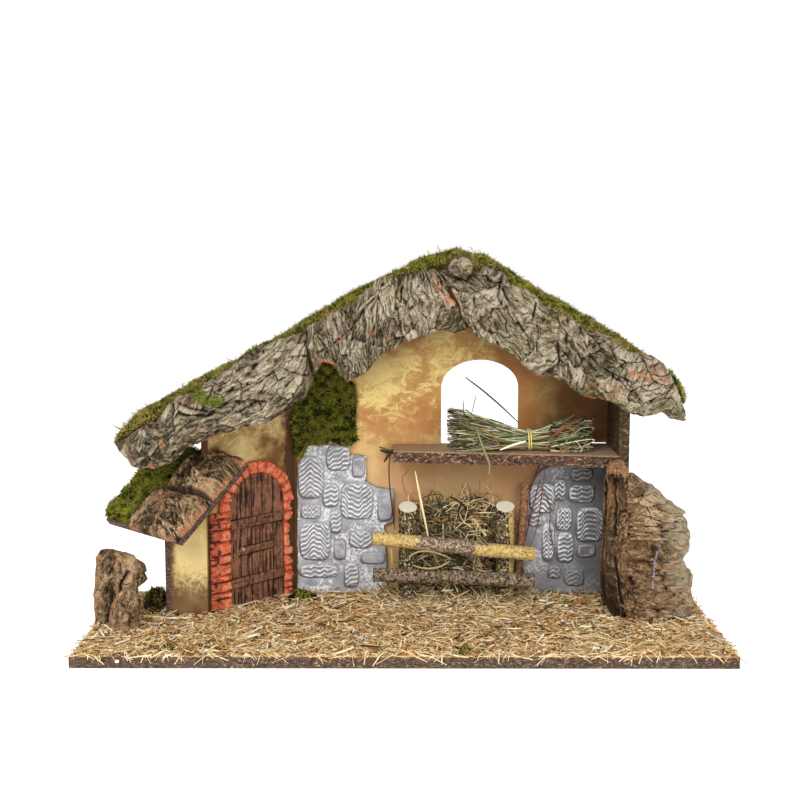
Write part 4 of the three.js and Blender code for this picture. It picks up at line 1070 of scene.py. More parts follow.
@dataclass(frozen=True)
class Viewpoint:
    """The camera that the photo was taken with.

    Args:
        at: its place in millimetres.
        pitch: how far it looks down, in degrees.
        turn: its small turn to the left, in radians.
        focal: its focal length in pixels of the picture.
    """

    at: Triple = (-0.16, -1167.5, 376.6)
    pitch: float = 7.22
    turn: float = 0.0032
    focal: float = 1231.93

    def spot(self, px: float, py: float, depth: float) -> tuple[float, float]:
        """Where a pixel of the photo lies on an upright plane.

        Args:
            px: pixels from the left.
            py: pixels from the top.
            depth: the plane's Y.

        Returns:
            X and Z there.
        """
        u, v = (px - PICTURE / 2) / self.focal, (PICTURE / 2 - py) / self.focal
        tilt = math.radians(self.pitch)
        forward = math.cos(tilt) + math.sin(tilt) * v
        up = -math.sin(tilt) + math.cos(tilt) * v
        x = u * math.cos(self.turn) - forward * math.sin(self.turn)
        y = u * math.sin(self.turn) + forward * math.cos(self.turn)
        reach = (depth - self.at[1]) / y
        return self.at[0] + reach * x, self.at[2] + reach * up

    def line(self, pixels: Pairs, depth: float) -> Pairs:
        """Several pixels of the photo on an upright plane."""
        return tuple(self.spot(px, py, depth) for px, py in pixels)

    def on_ground(self, px: float, py: float, height: float) -> Triple:
        """Where a pixel of the photo lies on a level plane."""
        near, far = -300.0, 300.0
        (x0, z0), (x1, z1) = self.spot(px, py, near), self.spot(px, py, far)
        share = (height - z0) / (z1 - z0)
        return x0 + share * (x1 - x0), near + share * (far - near), height

    def blades(self, kept: tuple, seed: int) -> list[Shape]:
        """Single blades read off the photo.

        Args:
            kept: for each blade its pixels, its depth, half its width, its flatness and its tint.
            seed: turns the blades about themselves.

        Returns:
            One shape for each blade.
        """
        shapes = []
        for pixels, depth, radius, flat, tint in kept:
            line = np.array(self.line(pixels, depth))
            knots = np.arange(len(line))
            share = np.linspace(0, len(line) - 1, 5 * len(line))
            smooth = np.ones(5) / 5
            x, z = (np.interp(share, knots, line[:, k]) for k in (0, 1))
            path = spots(x, depth, z)
            for k in (0, 2):
                path[2:-2, k] = np.convolve(path[:, k], smooth, "valid")
            widths = radius * np.sin(np.linspace(0.25, math.pi - 0.35, len(path)))[None] ** 0.5
            shapes.append(stalks(path[None], widths, flat, np.array([tint]), seed))
        return shapes


PICTURE = 800
VIEW = Viewpoint()
RIDGE_X, RIDGE_TOP = 50.0, 360.6
LEFT_EAVE, RIGHT_EAVE = -276.5, 258.0
LEFT_ANGLE, RIGHT_ANGLE = math.radians(28), math.radians(31)
LEFT_SLOPE, RIGHT_SLOPE = math.tan(LEFT_ANGLE), math.tan(RIGHT_ANGLE)
ROOF_BOARD = 12.0
BOARD_FRONT, BARK_FACE = -5.3, -24.0
BASE_TOP, STRAW_TOP, RELIEF_FOOT = 10.0, 12.0, 12.3
WALL_FACE, WALL_BACK = 99.0, 104.5
LEFT_PANEL_X, RIGHT_PANEL_X = -114.0, 211.0
DOOR_CORNER = (-193.5, 19.5)
LEAN_TO_ANGLE, LEAN_TO_CORNER = math.radians(39.4), (-209.0, -32.0, 94.0)
LEAN_TO_TOP = 7.3


def roof_top(x: Array | float) -> Array | float:
    """The height of the roof boards' upper face."""
    return RIDGE_TOP - np.where(x < RIDGE_X, (RIDGE_X - x) * LEFT_SLOPE, (x - RIDGE_X) * RIGHT_SLOPE)


def lean_to_frame() -> Matrix:
    """The lean-to roof's own axes: x up its slope, y along its eave, z into it."""
    c, s, half = math.cos(LEAN_TO_ANGLE), math.sin(LEAN_TO_ANGLE), math.sqrt(0.5)
    x, y, z = LEAN_TO_CORNER
    return Matrix((
        (c * half, -half, -s * half, x),
        (c * half, half, -s * half, y),
        (s, 0.0, c, z),
        (0.0, 0.0, 0.0, 1.0),
    ))


def door_frame() -> Matrix:
    """The angled wall's own axes: x along it, y up, z out of it."""
    half = math.sqrt(0.5)
    return Matrix((
        (half, 0.0, half, DOOR_CORNER[0]),
        (half, 0.0, -half, DOOR_CORNER[1]),
        (0.0, 1.0, 0.0, 0.0),
        (0.0, 0.0, 0.0, 1.0),
    ))


# Bark


def bark_lump(x: Array, y: Array | float, z: Array) -> Array:
    """The large lumps of a bark surface, from -1 to 1, the same as on the frame's solids."""
    return np.sin(0.19 * x + 0.23 * y + 1.9 * np.sin(0.11 * z)) * np.cos(0.24 * z + 1.1 * np.sin(0.13 * x))


@dataclass(frozen=True)
class BarkSkin:
    """The relief of a piece of bark.

    Args:
        seed: picks its pattern.
        run: which way its ridges go.
        depth: how deep it is, as a share of the usual.
    """

    seed: int
    run: Run = Run.PLATES
    depth: float = 1.0

    def plated(self, u: Array, v: Array, w: Array | float) -> tuple[Array, Array, Array, Array, Array]:
        """The bark's plates at places on the face.

        Args:
            u: along the piece.
            v: across the piece.
            w: a third coordinate for pieces that go round.

        Returns:
            The places after drifting, then each large plate's border and share, and each small one's.
        """
        grain = Grain(self.seed)
        places = spots(u, v, w)
        drift = [grain.swing(places + 40 * k, 15, 3) for k in (0, 1)]
        bent = places + 12 * spots(drift[0], drift[1], 0)
        plate = {Run.ALONG: (38, 17), Run.ACROSS: (19, 36), Run.PLATES: (28, 22)}[self.run]
        border, own = grain.plates(bent[..., 0], bent[..., 1], *plate)
        edge, share = grain.plates(bent[..., 0] + 50, bent[..., 1], 0.4 * plate[0], 0.4 * plate[1])
        return bent, border, own, edge, share

    def turned(self, places: Array, own: Array) -> Array:
        """Turns places the way each plate's fibres run.

        Args:
            places: along, across and a third coordinate last.
            own: each place's plate share.

        Returns:
            The places, along the fibres first.
        """
        lean, swing = {Run.ALONG: (0.1, 1.1), Run.ACROSS: (1.5, 1.1), Run.PLATES: (0.7, 3.0)}[self.run]
        angle = lean + swing * (own - 0.5)
        cosine, sine = np.cos(angle), np.sin(angle)
        first, second = places[..., 0], places[..., 1]
        return spots(first * cosine + second * sine, second * cosine - first * sine, places[..., 2])

    def relief(self, u: Array, v: Array, w: Array | float = 0.0) -> Array:
        """The relief at places on the face.

        Args:
            u: along the piece.
            v: across the piece.
            w: a third coordinate for pieces that go round.

        Returns:
            Heights in millimetres, around 0.
        """
        grain = Grain(self.seed)
        places = spots(u, v, w)
        bent, border, own, edge, share = self.plated(u, v, w)
        rib, chip = {
            Run.ALONG: ((17, 5.6, 8), (4.4, 2.2, 2.6)),
            Run.ACROSS: ((5.0, 15, 8), (2.2, 4.6, 2.6)),
            Run.PLATES: ((10, 7.4, 8), (3.2, 2.5, 2.6)),
        }[self.run]
        step = 5.2 * (own - 0.5) * ease(border, 0.0, 0.04) + 1.4 * (share - 0.5) * ease(edge, 0.0, 0.06)
        gap = (1 - ease(border, 0.0, 0.035)) * ease(grain.smooth(places + 31, 20), 0.24, 0.45)
        fibre = 0.4 - grain.ridged(self.turned(bent, own) + 7, (13, 2.3, 3.2), 3) * 0.6
        nick = (1 - ease(edge, 0.0, 0.08)) * ease(grain.smooth(places + 61, 13), 0.45, 0.65)
        furrow = 0.38 - grain.ridged(bent + 11, rib, 4) * 0.6
        rough = 0.36 - grain.ridged(bent + 5, chip, 3) * 0.58
        torn = ease(grain.ridged(bent + 90, tuple(1.9 * size for size in rib), 3), 0.9, 0.98)
        worn = 0.45 + 0.75 * ease(grain.smooth(places + 131, 17), 0.35, 0.65)
        grit = grain.swing(places + 19, 2.6, 2)
        rough = worn * (2.8 * furrow + 2.0 * rough + 2.3 * fibre) + 1.5 * grit
        return self.depth * (step + rough - 3.0 * gap - 0.8 * nick - 2.2 * torn)

    def tone(self, u: Array, v: Array, w: Array | float = 0.0) -> Array:
        """The light and dark fibres over the face.

        Args:
            u: along the piece.
            v: across the piece.
            w: a third coordinate for pieces that go round.

        Returns:
            Values from 0, dark, to 1, light.
        """
        grain = Grain(self.seed + 70)
        places = spots(u, v, w)
        bent, _, own, _, share = self.plated(u, v, w)
        patch = grain.swing(places, 21, 5)
        fibres = grain.swing(self.turned(bent, own), (6.5, 1.3, 2.4), 2)
        fibres = fibres + 0.6 * grain.swing(places + 9, 2.0, 2)
        return np.clip(0.54 + 1.2 * fibres + 1.2 * patch + 0.42 * (own - 0.5) + 0.24 * (share - 0.5), 0, 1)

    def plate(self, u: Array, v: Array, w: Array | float = 0.0) -> Array:
        """The large plates' own shares, from 0 to 1."""
        return self.plated(u, v, w)[2]


@dataclass(frozen=True)
class RoofStrip:
    """A strip of bark nailed to the front edge of the roof.

    Args:
        node: the CAD node.
        stations: for each place along it, its low corner and its top corner. Each corner is a
            share of the slope in hundredths from the ridge, left negative, and a drop in
            millimetres under the roof's upper face.
        skin: its relief.
        cracks: long cracks, read off the photo in pixels.
        inner: spots of fresh cork, read off the photo in pixels, with their reach.
        growth: spots of moss, read off the photo in pixels, with their reach.
        thick: how far its middle bulges.
    """

    node: str
    stations: tuple[tuple[float, float, float, float], ...]
    skin: BarkSkin
    cracks: tuple[Pairs, ...] = ()
    inner: tuple[Triple, ...] = ()
    growth: tuple[Triple, ...] = ()
    thick: float = 20.0

    @staticmethod
    def corner(share: float, drop: float) -> tuple[float, float]:
        """X and Z of a corner."""
        reach = RIDGE_X - LEFT_EAVE if share < 0 else RIGHT_EAVE - RIDGE_X
        x = RIDGE_X + share / 100 * reach
        return x, float(roof_top(x)) - drop

    @staticmethod
    def marked(x: Array, z: Array, marks: tuple[Triple, ...], core: float, wobble: Array) -> Array:
        """How far marks read off the photo cover the face, from 0 to 1.

        Args:
            x: the places' X.
            z: the places' Z.
            marks: each mark's pixels and its reach in millimetres.
            core: the share of its reach that it covers in full.
            wobble: what is added to the distances.

        Returns:
            The cover at each place.
        """
        cover = np.zeros(x.shape)
        for px, py, reach in marks:
            at_x, at_z = VIEW.spot(px, py, BARK_FACE)
            away = np.hypot(x - at_x, z - at_z) + wobble
            cover = np.maximum(cover, 1 - ease(away, reach * core, reach))
        return cover

    def build(self) -> Shape:
        """Builds the strip's mesh."""
        low = np.array([self.corner(a, b) for a, b, _, _ in self.stations])
        top = np.array([self.corner(c, d) for _, _, c, d in self.stations])
        middle = (low + top) / 2
        travel = np.concatenate([[0], np.cumsum(np.linalg.norm(np.diff(middle, axis=0), axis=1))])
        rows = int(travel[-1] / 0.72) + 2
        columns = 96
        u = np.linspace(0, travel[-1], rows)[:, None]
        theta = np.linspace(0.0, math.pi, columns)[None, :]
        share = (1 - np.cos(theta)) / 2
        grain = Grain(self.skin.seed + 5)

        def ragged(line: Array, offset: float) -> Array:
            path = np.stack([np.interp(u[:, 0], travel, line[:, k]) for k in (0, 1)], 1)
            along = spots(u[:, 0] + offset, 0, 0)
            wave = 5.4 * grain.swing(along, 15, 4) + 2.2 * grain.swing(along, 3, 2)
            return path + np.stack([wave * 0, wave], 1)

        low_line, top_line = ragged(low, 0.0), ragged(top, 400.0)
        place = low_line[:, None, :] * (1 - share[..., None]) + top_line[:, None, :] * share[..., None]
        tangent = np.gradient(place, axis=0)
        tangent /= np.linalg.norm(tangent, axis=2, keepdims=True) + 1e-9
        for origin, sign, offset in ((0.0, -1, 0.0), (travel[-1], 1, 90.0)):
            across = spots(share[0] * 60 + offset, 0, 0)
            reach = sign * (9.0 * (grain.layered(across, 13, 3) - 0.42))[None, :]
            place = place + tangent * (reach * np.exp(-((u - origin) / 9) ** 2))[..., None]
        width = np.linalg.norm(top_line - low_line, axis=1)[:, None]
        v = share * width
        height = self.skin.relief(u, v)
        swell = np.sin(np.pi * np.minimum(1, 0.86 * share + 0.1)) ** 0.6
        rim = np.minimum(1, np.minimum(share, 1 - share) * width / 2.5 + 0.2)
        rim = rim * np.minimum(1, np.minimum(u, travel[-1] - u) / 3 + 0.7)
        x, z = place[..., 0], place[..., 1]
        lump = bark_lump(x, 0.0, z)
        bend = 2.2 * grain.swing(spots(x, z, 0), 6, 2)
        wide = ease(grain.layered(spots(x, z + 80, 0), 9, 3), 0.34, 0.64)
        crack = np.zeros(v.shape)
        for pixels in self.cracks:
            away = distance_to_line(x + bend, z - bend, VIEW.line(pixels, BARK_FACE))
            crack = np.maximum(crack, (0.3 + 0.7 * wide) * (1 - ease(away, 0.1, 0.5 + 2.2 * wide)))
        height = height - 3.6 * crack
        out = np.clip((5 + self.thick * swell * (0.84 + 0.16 * lump) + height) * rim, 0.4, 27)
        # painted shade in the hollows and along the cracks
        layers = hollows(height, 5)
        layers["deep"] = np.maximum(layers["deep"], 0.85 * crack) * rim
        layers["tone"] = self.skin.tone(u, v)
        layers["plate"] = self.skin.plate(u, v)
        torn = 1 - ease(share * width + 1.6 * (grain.smooth(spots(u, v, 0), 5) - 0.5), 0.6, 3.2)
        torn = torn * ease(grain.smooth(spots(u, 0, 0), 14), 0.5, 0.75)
        fresh = self.marked(x, z, self.inner, 0.6, 5 * grain.swing(spots(x, z, 0), 4, 2))
        layers["inner"] = np.maximum(fresh, torn)
        layers["growth"] = self.marked(x, z, self.growth, 0.7, 9 * grain.swing(spots(x, z, 9), 5, 4))
        front = spots(x, BOARD_FRONT - out, z)
        back = spots(x, BOARD_FRONT, z)
        return slab(front, back, layers)


@dataclass
class RoofBark:
    """The bark along the roof's front edge, with the knob at the ridge."""

    finish: BarkFinish = BarkFinish("roof_bark")
    strips: tuple[RoofStrip, ...] = (
        RoofStrip(
            "bark_eave_left",
            ((-97.1, 12, -96.8, -0.4), (-94, 31.4, -94.3, -2.2), (-91, 38.7, -91.3, -1.8),
             (-87.6, 43.5, -87.6, -1.5), (-84.2, 45.4, -84.5, -8.2), (-81.2, 45.7, -81.8, -13.4)),
            BarkSkin(11), inner=((161, 444, 4), (150, 468, 4)),
        ),
        RoofStrip(
            "bark_fascia_left",
            ((-80.8, 44.3, -81.5, -13.3), (-78.7, 40, -79.3, -11.1), (-74.1, 42.9, -76, -8.3),
             (-69.8, 44.4, -72.6, -13.4), (-64, 48.5, -66.8, -13.3), (-57.9, 55.1, -61.9, -18.8),
             (-53.3, 56.1, -56.7, -17.8), (-49.6, 55.5, -52.1, -16.8), (-44.1, 53, -46.6, -12.2),
             (-41.7, 38.3, -44.1, -12)),
            BarkSkin(12, Run.ALONG),
            cracks=(((170, 411), (175, 415), (206, 416), (232, 400), (262, 381), (289, 357), (314, 355)),
                    ((155, 422), (170, 427)), ((257, 395), (261, 408)),
                    ((169, 400), (188, 407), (206, 412)),
                    ((226, 392), (240, 384), (252, 370), (262, 352)), ((276, 362), (290, 372), (306, 376)),
                    ((214, 424), (232, 414), (256, 402), (280, 398))),
            inner=((204, 428, 3), (190, 447, 4)),
            growth=((196, 396, 7), (205, 401, 8), (215, 402, 7), (222, 398, 5)),
        ),
        RoofStrip(
            "bark_fascia_centre",
            ((-41.3, 33.8, -43.5, -12.9), (-38.9, 26.1, -40.4, -12.6), (-35.5, 35.9, -37.4, -14.3),
             (-32.2, 57.8, -34.3, -15), (-28.8, 60.6, -30.6, -12.6), (-25.7, 56.9, -27, -19.2),
             (-22.1, 50.3, -23, -24.3), (-16.8, 51.4, -18.4, -19.3), (-11, 51.5, -13.8, -11.3),
             (-5.5, 56, -9.8, -8.4), (-0.6, 65.5, -6.4, -3.6), (4.8, 56.6, -4.9, 2.1)),
            BarkSkin(13, Run.ACROSS),
            cracks=(((439, 277), (446, 295), (455, 299), (462, 306), (475, 322)),
                    ((383, 284), (372, 310), (374, 345)), ((404, 277), (398, 310), (402, 340)),
                    ((308, 360), (330, 346), (350, 330), (366, 306), (384, 290)),
                    ((340, 318), (352, 336), (350, 356))),
            inner=((325, 365, 8), (332, 366, 5), (441, 287, 4), (447, 295, 5), (455, 299, 5), (462, 306, 5),
                   (469, 314, 4), (474, 321, 4), (448, 303, 4), (371, 332, 4), (339, 339, 4)),
        ),
        RoofStrip(
            "bark_fascia_right",
            ((5.8, 55.4, -4.5, 4.8), (8.7, 61.8, 3.8, 13.8), (13.5, 57.8, 12.5, -11),
             (18.3, 56.8, 19.2, -17.4), (26.4, 55.6, 23.6, -8.8), (29.8, 61.3, 29.8, -11.7),
             (34.1, 61.9, 35.6, -9.9),
             (38.5, 61.5, 40.4, -7.9), (43.8, 52.9, 45.7, -10.5)),
            BarkSkin(14),
            cracks=(((504, 290), (515, 317), (527, 336), (533, 362)), ((475, 286), (473, 317), (478, 340)),
                    ((502, 275), (498, 298), (504, 309)), ((537, 304), (531, 322), (538, 340))),
        ),
        RoofStrip(
            "bark_eave_right",
            ((44.1, 52.8, 46.2, -10.5), (49.5, 50.7, 51.4, -10.7), (54.3, 54.7, 57.7, -9.5),
             (58.7, 55.3, 64.9, -14.5), (63.9, 50.7, 72.1, -15.5), (70.7, 45.3, 79.3, -13.5),
             (77.4, 44.9, 87.5, -20.8), (85.1, 40.2, 93.8, -21.6), (92.3, 28.2, 97.6, -13.4),
             (97.6, 26.6, 101, -0.6), (101.9, 21.2, 103.8, 12.8)),
            BarkSkin(15),
            cracks=(((581, 328), (588, 352), (600, 367), (631, 382), (662, 380)), ((590, 380), (606, 392)),
                    ((569, 322), (566, 352), (572, 378)), ((640, 352), (648, 368), (640, 392)),
                    ((610, 345), (618, 362), (612, 378))),
            inner=((632, 373, 5), (640, 375, 5), (648, 379, 5), (656, 376, 4), (663, 379, 4)),
        ),
    )

    def build(self) -> None:
        """Builds the strips and the knob."""
        material = self.finish.make()
        for strip in self.strips:
            as_piece(strip.node, strip.build(), material)
        as_piece("bark_ridge_knob", self.knob(), material)

    def knob(self) -> Shape:
        """The sawn-off branch end at the ridge."""
        angle = full_turn(72)
        profile = np.array([(-6, 11.6), (-12, 11.6), (-18, 11.4), (-23, 11.0), (-26.5, 10.0), (-28.8, 8.0),
                            (-30, 5.4), (-30.6, 2.6)])
        rows = np.linspace(0, len(profile) - 1, 56)
        y = np.interp(rows, range(len(profile)), profile[:, 0])[:, None]
        radius = np.interp(rows, range(len(profile)), profile[:, 1])[:, None]
        at_x, at_z = radius * np.cos(angle), radius * np.sin(angle)
        height = 0.8 * BarkSkin(16, depth=0.8).relief(at_x * 1.6 + 60, at_z * 1.6, y)
        reach = radius + np.clip(height, -2.5, 1.5) * np.minimum(1, radius / 7)
        depth = y - np.clip(height, -1, 1) * (radius < 10)
        ring = spots(52 + reach * np.cos(angle), depth, 355.0 + 0.93 * reach * np.sin(angle))
        layers = hollows(height, 2, True)
        # painted shade on the knob's sides, with its cut end left light
        layers["tone"] = np.clip(BarkSkin(16).tone(at_x, at_z, y) + 0.18 - 0.4 * (radius > 11), 0, 1)
        return loft(ring, layers)


# Moss


def scatter(shape: Shape, count: int, seed: int, away: Array) -> tuple[Array, Array]:
    """Spreads places over a shape by area.

    Args:
        shape: the shape.
        count: how many places.
        seed: the spread's seed.
        away: a direction. Faces that look the other way stay bare.

    Returns:
        Places and the faces' directions there.
    """
    rng = np.random.default_rng(seed)
    triangles = []
    for block in shape.faces:
        for k in range(1, block.shape[1] - 1):
            triangles.append(block[:, [0, k, k + 1]])
    corner = np.concatenate(triangles)
    a, b, c = (shape.points[corner[:, k]] for k in range(3))
    normal = np.cross(b - a, c - a)
    area = np.linalg.norm(normal, axis=1) + 1e-12
    normal = normal / area[:, None]
    weight = area * (normal @ away > -0.25)
    pick = rng.choice(len(area), count, p=weight / weight.sum())
    r, s = rng.random(count), rng.random(count)
    over = r + s > 1
    r, s = np.where(over, 1 - r, r), np.where(over, 1 - s, s)
    places = a[pick] + r[:, None] * (b[pick] - a[pick]) + s[:, None] * (c[pick] - a[pick])
    return places, normal[pick]


def mossy(lift: Array) -> dict[str, Array]:
    """The layers of a cushion, with painted shade that darkens its hollows."""
    deep = hollows(lift, 3)["deep"]
    return {"deep": deep, "tint": 0.15 + 0.5 * (1 - deep)}


@dataclass(frozen=True)
class MossBed:
    """A cushion covered with small leaves.

    Args:
        count: how many leaves.
        seed: their seed.
        length: the shortest and the longest leaf.
        out: the direction that the cushion faces.
        dry: how much of it is brown, from 0 to 1.
        fringe: whether its front edge is brown.
        light: how much lighter than usual it is.
    """

    count: int
    seed: int
    length: tuple[float, float] = (1.8, 5.5)
    out: Triple = (0.0, -0.5, 0.8)
    dry: float = 0.25
    fringe: bool = False
    light: float = 0.0

    def grown(self, bed: Shape) -> Shape:
        """The cushion with its leaves."""
        rng = np.random.default_rng(self.seed)
        grain = Grain(self.seed)
        out = np.array(self.out) / np.linalg.norm(self.out)
        places, normal = scatter(bed, self.count, self.seed, out)
        clump = grain.smooth(places, 6)
        lean = 0.6 * normal + 0.85 * rng.normal(size=places.shape) + 0.2 * out
        lean += 1.1 * np.stack([grain.smooth(places + 9, 8), grain.smooth(places + 19, 8), clump], 1) - 0.55
        low, high = self.length
        length = (low + (high - low) * rng.random(self.count) ** 2.0) * (0.5 + 1.0 * clump)
        fine = grain.smooth(places + 70, 3.4)
        tint = 0.08 + 0.9 * rng.random(self.count) ** 1.7 + 1.3 * (clump - 0.5) + 1.3 * (fine - 0.45)
        width = 0.8 + 1.2 * rng.random(self.count)
        leaves = tufts(places - normal * 0.6, lean, length, width, np.clip(tint + self.light, 0, 1))
        for shape in (bed, leaves):
            patch = grain.layered(shape.points, 26, 3)
            dry = ease(patch, 0.72 - 0.42 * self.dry, 0.86 - 0.42 * self.dry)
            if self.fringe:
                over = shape.points[:, 2] - roof_top(shape.points[:, 0])
                low_part = 1 - over / 17 + 1.5 * grain.swing(shape.points + 5, 15, 3)
                dry = np.maximum(dry, ease(low_part, 0.35, 0.7) * ease(-shape.points[:, 1], -16, -4))
            shape.layers["dry"] = dry
        bed.layers["tint"] = 0.36 * bed.layers.get("tint", np.full(len(bed.points), 0.3))
        return joined([bed, leaves])


@dataclass
class RoofMoss:
    """The moss on both slopes of the roof and on the lean-to."""

    material: bpy.types.Material
    left: Pairs = ((0, 9.5), (0.12, 19), (0.29, 21), (0.52, 17), (0.96, 15), (1, 8))
    right: Pairs = ((0, 9.5), (0.13, 19), (0.26, 20), (0.84, 20), (0.94, 18), (1, 9))

    def slope(self, eave: float, thickness: Pairs, seed: int) -> Shape:
        """A cushion from the ridge down to one eave."""
        rows, columns = 190, 70
        u, v = crossed(np.linspace(0, 1, rows), np.linspace(0, 1, columns))
        x = RIDGE_X + math.copysign(0.3, eave - RIDGE_X) + (eave - RIDGE_X) * u
        x = np.where(eave < RIDGE_X, np.maximum(x, eave), np.minimum(x, eave))
        y = -4.7 + 109.7 * (1 - np.cos(math.pi * v)) / 2
        grain = Grain(seed)
        places = spots(x, y, 0)
        thick = np.interp(u, *np.array(thickness).T)
        brow = np.sin(math.pi * (0.02 + 0.96 * (1 - np.cos(math.pi * v)) / 2)) ** 0.35
        bumps = 7.5 * grain.swing(places, 21, 2) + 6.5 * grain.swing(places, 8, 3)
        lift = np.maximum(1.2, thick * brow + bumps * brow)
        base = roof_top(x) + 0.3
        hang = 3.5 * grain.smooth(places, 7) * (v < 0.5) * np.sin(math.pi * np.minimum(1, 2 * v)) ** 0.5
        return slab(spots(x, y - hang, base + lift), spots(x, y, base), mossy(lift))

    def lean_to(self) -> Shape:
        """The cushion over the lean-to's upper half."""
        rows, columns = 90, 90
        u, v = crossed(np.linspace(0, 1, rows), np.linspace(0, 1, columns))
        grain = Grain(41)
        x = 4 + 98 * u
        start = 80.6 + (68.6 - 80.6) * ease(x, 42, 54)
        y = start + (128 - start) * v
        places = spots(x, y, 0)
        from_rim = np.minimum(np.minimum(u, 1 - u) * 98, np.minimum(v, 1 - v) * 48)
        edge = np.minimum(1, from_rim / 9 + 0.12) ** 0.6
        bumps = 8 * grain.swing(places, 20, 2) + 6 * grain.swing(places, 8, 3)
        lift = np.maximum(1.0, (12.5 + bumps) * edge)
        top, low = spots(x, y, LEAN_TO_TOP + lift), spots(x, y, LEAN_TO_TOP)
        shape = slab(top, low, mossy(lift)).turned(lean_to_frame())
        points = shape.points
        points[:, 1] = np.minimum(points[:, 1], WALL_BACK)
        under = roof_top(points[:, 0]) - ROOF_BOARD / math.cos(LEFT_ANGLE) - 0.5
        hidden = (points[:, 1] > -5) & (points[:, 2] > under) & (points[:, 0] > LEFT_EAVE - 0.5)
        points[hidden, 2] = under[hidden]
        return shape

    @staticmethod
    def strands(x_range: tuple[float, float], lift: float, count: int, seed: int) -> Shape:
        """Loose curly strands along the cushion's front.

        Args:
            x_range: where they grow.
            lift: how high they begin over the roof.
            count: how many.
            seed: their seed.

        Returns:
            The mesh.
        """
        rng = np.random.default_rng(seed)
        x = rng.uniform(*x_range, (count, 1))
        lean = rng.uniform(0, 2 * math.pi, (count, 1))
        turn = rng.normal(0, 2.2, (count, 1)) * np.linspace(0, 1, 7)[None]
        length = rng.uniform(4, 11, (count, 1)) / 6
        dx = np.cumsum(np.cos(lean + turn) * length, 1)
        dz = np.cumsum(0.7 * np.abs(np.sin(lean + turn)) * length, 1)
        z = roof_top(x) + lift * rng.uniform(0.45, 1.0, (count, 1))
        y = rng.uniform(-9, 10, (count, 1)) + 0 * dx
        radius = rng.uniform(0.35, 0.8, (count, 1)) * np.linspace(1, 0.5, 7)[None]
        made = stalks(spots(x + dx, y, z + dz), radius, 0.6, rng.uniform(0.3, 0.9, count), seed, 3)
        made.layers["dry"] = np.repeat(rng.random(count) < 0.7, 21) * 1.0
        return made

    def end_tuft(self) -> Shape:
        """The moss that hangs at the right end of the roof."""
        line = np.array(VIEW.line(((669, 371), (676, 382), (682, 395), (683, 403)), -14))
        share = np.linspace(0, 3, 24)
        x, z = (np.interp(share, range(4), line[:, k]) for k in (0, 1))
        angle = full_turn(14)
        thick = 2.6 * np.sin(np.linspace(0.5, math.pi - 0.4, 24))[:, None]
        rings = spots(x[:, None] + thick * np.cos(angle), -12 + 2 * thick * np.sin(angle), z[:, None])
        return MossBed(700, 36, (1.5, 5.0), (0.6, -0.7, 0.2), 0.5).grown(loft(rings))

    def build(self) -> None:
        """Builds the three cushions."""
        left = [self.strands((LEFT_EAVE, 40), 17, 240, 37)]
        right = [self.strands((60, 255), 17, 160, 38), self.strands((172, 232), 15, 130, 39)]
        right.append(self.end_tuft())
        for name, eave, thickness, count, seed, loose in (
            ("moss_roof_left", LEFT_EAVE, self.left, 28000, 31, left),
            ("moss_roof_right", RIGHT_EAVE, self.right, 24000, 32, right),
        ):
            bed = MossBed(count, seed, (1.6, 5.4), dry=0.36, fringe=True, light=0.16)
            cushion = bed.grown(self.slope(eave, thickness, seed))
            as_piece(name, joined([cushion, *loose]), self.material)
        bed = MossBed(14000, 33, (1.8, 6.5), out=(-0.6, -0.4, 0.7), dry=0.25, light=0.1)
        as_piece("moss_annex", bed.grown(self.lean_to()), self.material)


